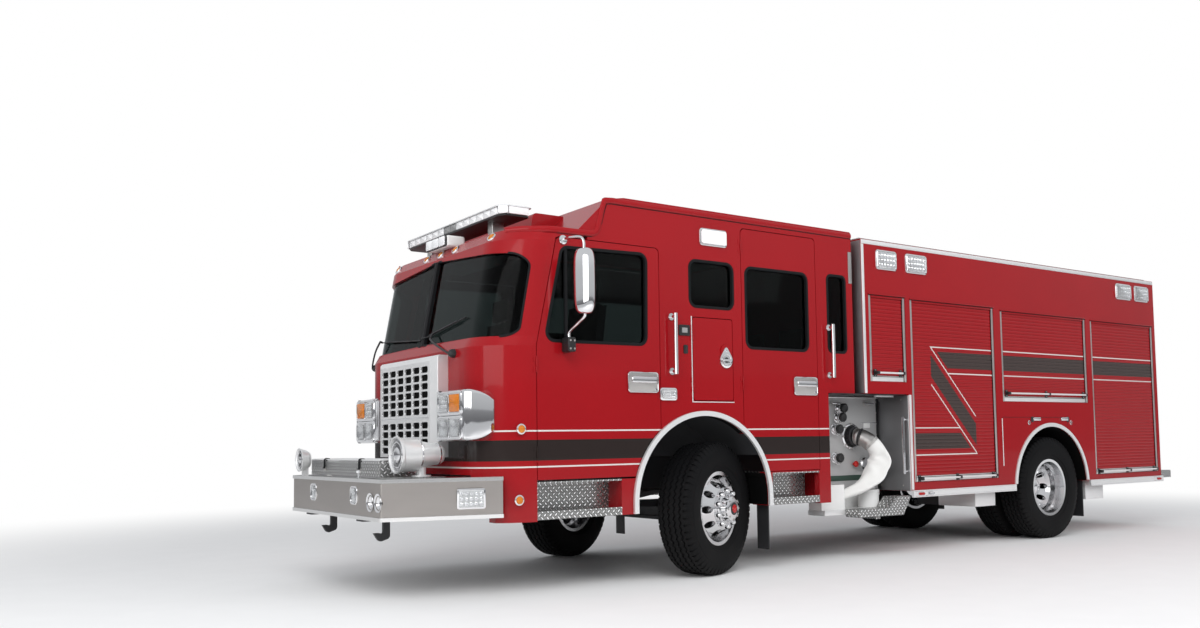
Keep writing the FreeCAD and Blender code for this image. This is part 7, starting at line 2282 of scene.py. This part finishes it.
class FIREENGINE_OT_roof_lamps(bpy.types.Operator):
    """Build the light bar, the brow light and the roof markers"""
    bl_idname = "fire_engine.roof_lamps"
    bl_label = "Roof Lamps"

    def execute(self, context):
        make_roof_lamps()
        return {"FINISHED"}


class FIREENGINE_OT_side_lamps(bpy.types.Operator):
    """Build the warning and scene lamps on the sides and the rear"""
    bl_idname = "fire_engine.side_lamps"
    bl_label = "Side and Rear Lamps"

    def execute(self, context):
        make_side_lamps()
        make_rear_lamps()
        return {"FINISHED"}


class FIREENGINE_OT_headlights(bpy.types.Operator):
    """Build the headlight modules and the bumper's lamps and horns"""
    bl_idname = "fire_engine.headlights"
    bl_label = "Headlights and Bumper Lamps"

    def execute(self, context):
        make_headlight_modules()
        make_bumper_lamps()
        return {"FINISHED"}


class FIREENGINE_OT_front(bpy.types.Operator):
    """Build the grille's cells, the sirens' details and what stands on the bumper"""
    bl_idname = "fire_engine.front"
    bl_label = "Front End Details"

    def execute(self, context):
        make_grille_trim()
        make_siren_details()
        make_deck_fittings()
        return {"FINISHED"}


class FIREENGINE_OT_hardware(bpy.types.Operator):
    """Build door handles, ring latches and mirror faces"""
    bl_idname = "fire_engine.hardware"
    bl_label = "Door Hardware and Mirrors"

    def execute(self, context):
        make_door_hardware()
        make_mirrors()
        make_key_plates()
        return {"FINISHED"}


class FIREENGINE_OT_trims(bpy.types.Operator):
    """Build the bright strips, rub rails and their marker lamps"""
    bl_idname = "fire_engine.trims"
    bl_label = "Body Trims"

    def execute(self, context):
        make_body_trims()
        make_roof_rails()
        make_arch_liners()
        make_arch_panels()
        return {"FINISHED"}


class FIREENGINE_OT_pump(bpy.types.Operator):
    """Build the pump panel's valves, gauges, caps and labels"""
    bl_idname = "fire_engine.pump"
    bl_label = "Pump Panels"

    def execute(self, context):
        make_pump_details()
        make_right_pump_details()
        return {"FINISHED"}


class FIREENGINE_OT_seats(bpy.types.Operator):
    """Build the seats' cushions, backs and headrests"""
    bl_idname = "fire_engine.seats"
    bl_label = "Seats"

    def execute(self, context):
        make_seats()
        return {"FINISHED"}


class FIREENGINE_OT_hose(bpy.types.Operator):
    """Build the suction elbow, the soft hose and the pump bay's lining"""
    bl_idname = "fire_engine.hose"
    bl_label = "Hose"

    def execute(self, context):
        make_elbow()
        make_hose()
        make_bay_lining()
        return {"FINISHED"}


class FIREENGINE_PT_panel(bpy.types.Panel):
    """Buttons for every piece of the fire engine"""
    bl_idname = "FIREENGINE_PT_panel"
    bl_label = "Fire Engine"
    bl_space_type = "VIEW_3D"
    bl_region_type = "UI"
    bl_category = "Fire Engine"

    def draw(self, context):
        column = self.layout.column()
        for name in ("body", "band", "line", "amber", "red_lens"):
            column.prop(context.scene.fire_engine_paint, name)
        for name in ("slat_pitch", "tread_depth", "seal_width", "line_width", "lug_nuts"):
            column.prop(context.scene.fire_engine_sizes, name)
        for operator in OPERATORS:
            column.operator(operator.bl_idname)


OPERATORS = (FIREENGINE_OT_stage, FIREENGINE_OT_finishes, FIREENGINE_OT_tyres, FIREENGINE_OT_hubs,
    FIREENGINE_OT_shutters, FIREENGINE_OT_windows, FIREENGINE_OT_roof_lamps, FIREENGINE_OT_side_lamps,
    FIREENGINE_OT_headlights, FIREENGINE_OT_front, FIREENGINE_OT_hardware, FIREENGINE_OT_trims,
    FIREENGINE_OT_pump, FIREENGINE_OT_hose, FIREENGINE_OT_seats)

CLASSES = (FireEnginePaint, FireEngineSizes) + OPERATORS + (FIREENGINE_PT_panel,)


def register():
    for cls in CLASSES:
        bpy.utils.register_class(cls)
    bpy.types.Scene.fire_engine_paint = bpy.props.PointerProperty(type=FireEnginePaint)
    bpy.types.Scene.fire_engine_sizes = bpy.props.PointerProperty(type=FireEngineSizes)


def unregister():
    del bpy.types.Scene.fire_engine_sizes
    del bpy.types.Scene.fire_engine_paint
    for cls in reversed(CLASSES):
        bpy.utils.unregister_class(cls)


def main():
    register()
    for operator in OPERATORS:
        group, name = operator.bl_idname.split(".")
        if getattr(getattr(bpy.ops, group), name)() != {"FINISHED"}:
            raise RuntimeError(operator.bl_label + " did not finish")


if __name__ == "__main__":
    main()
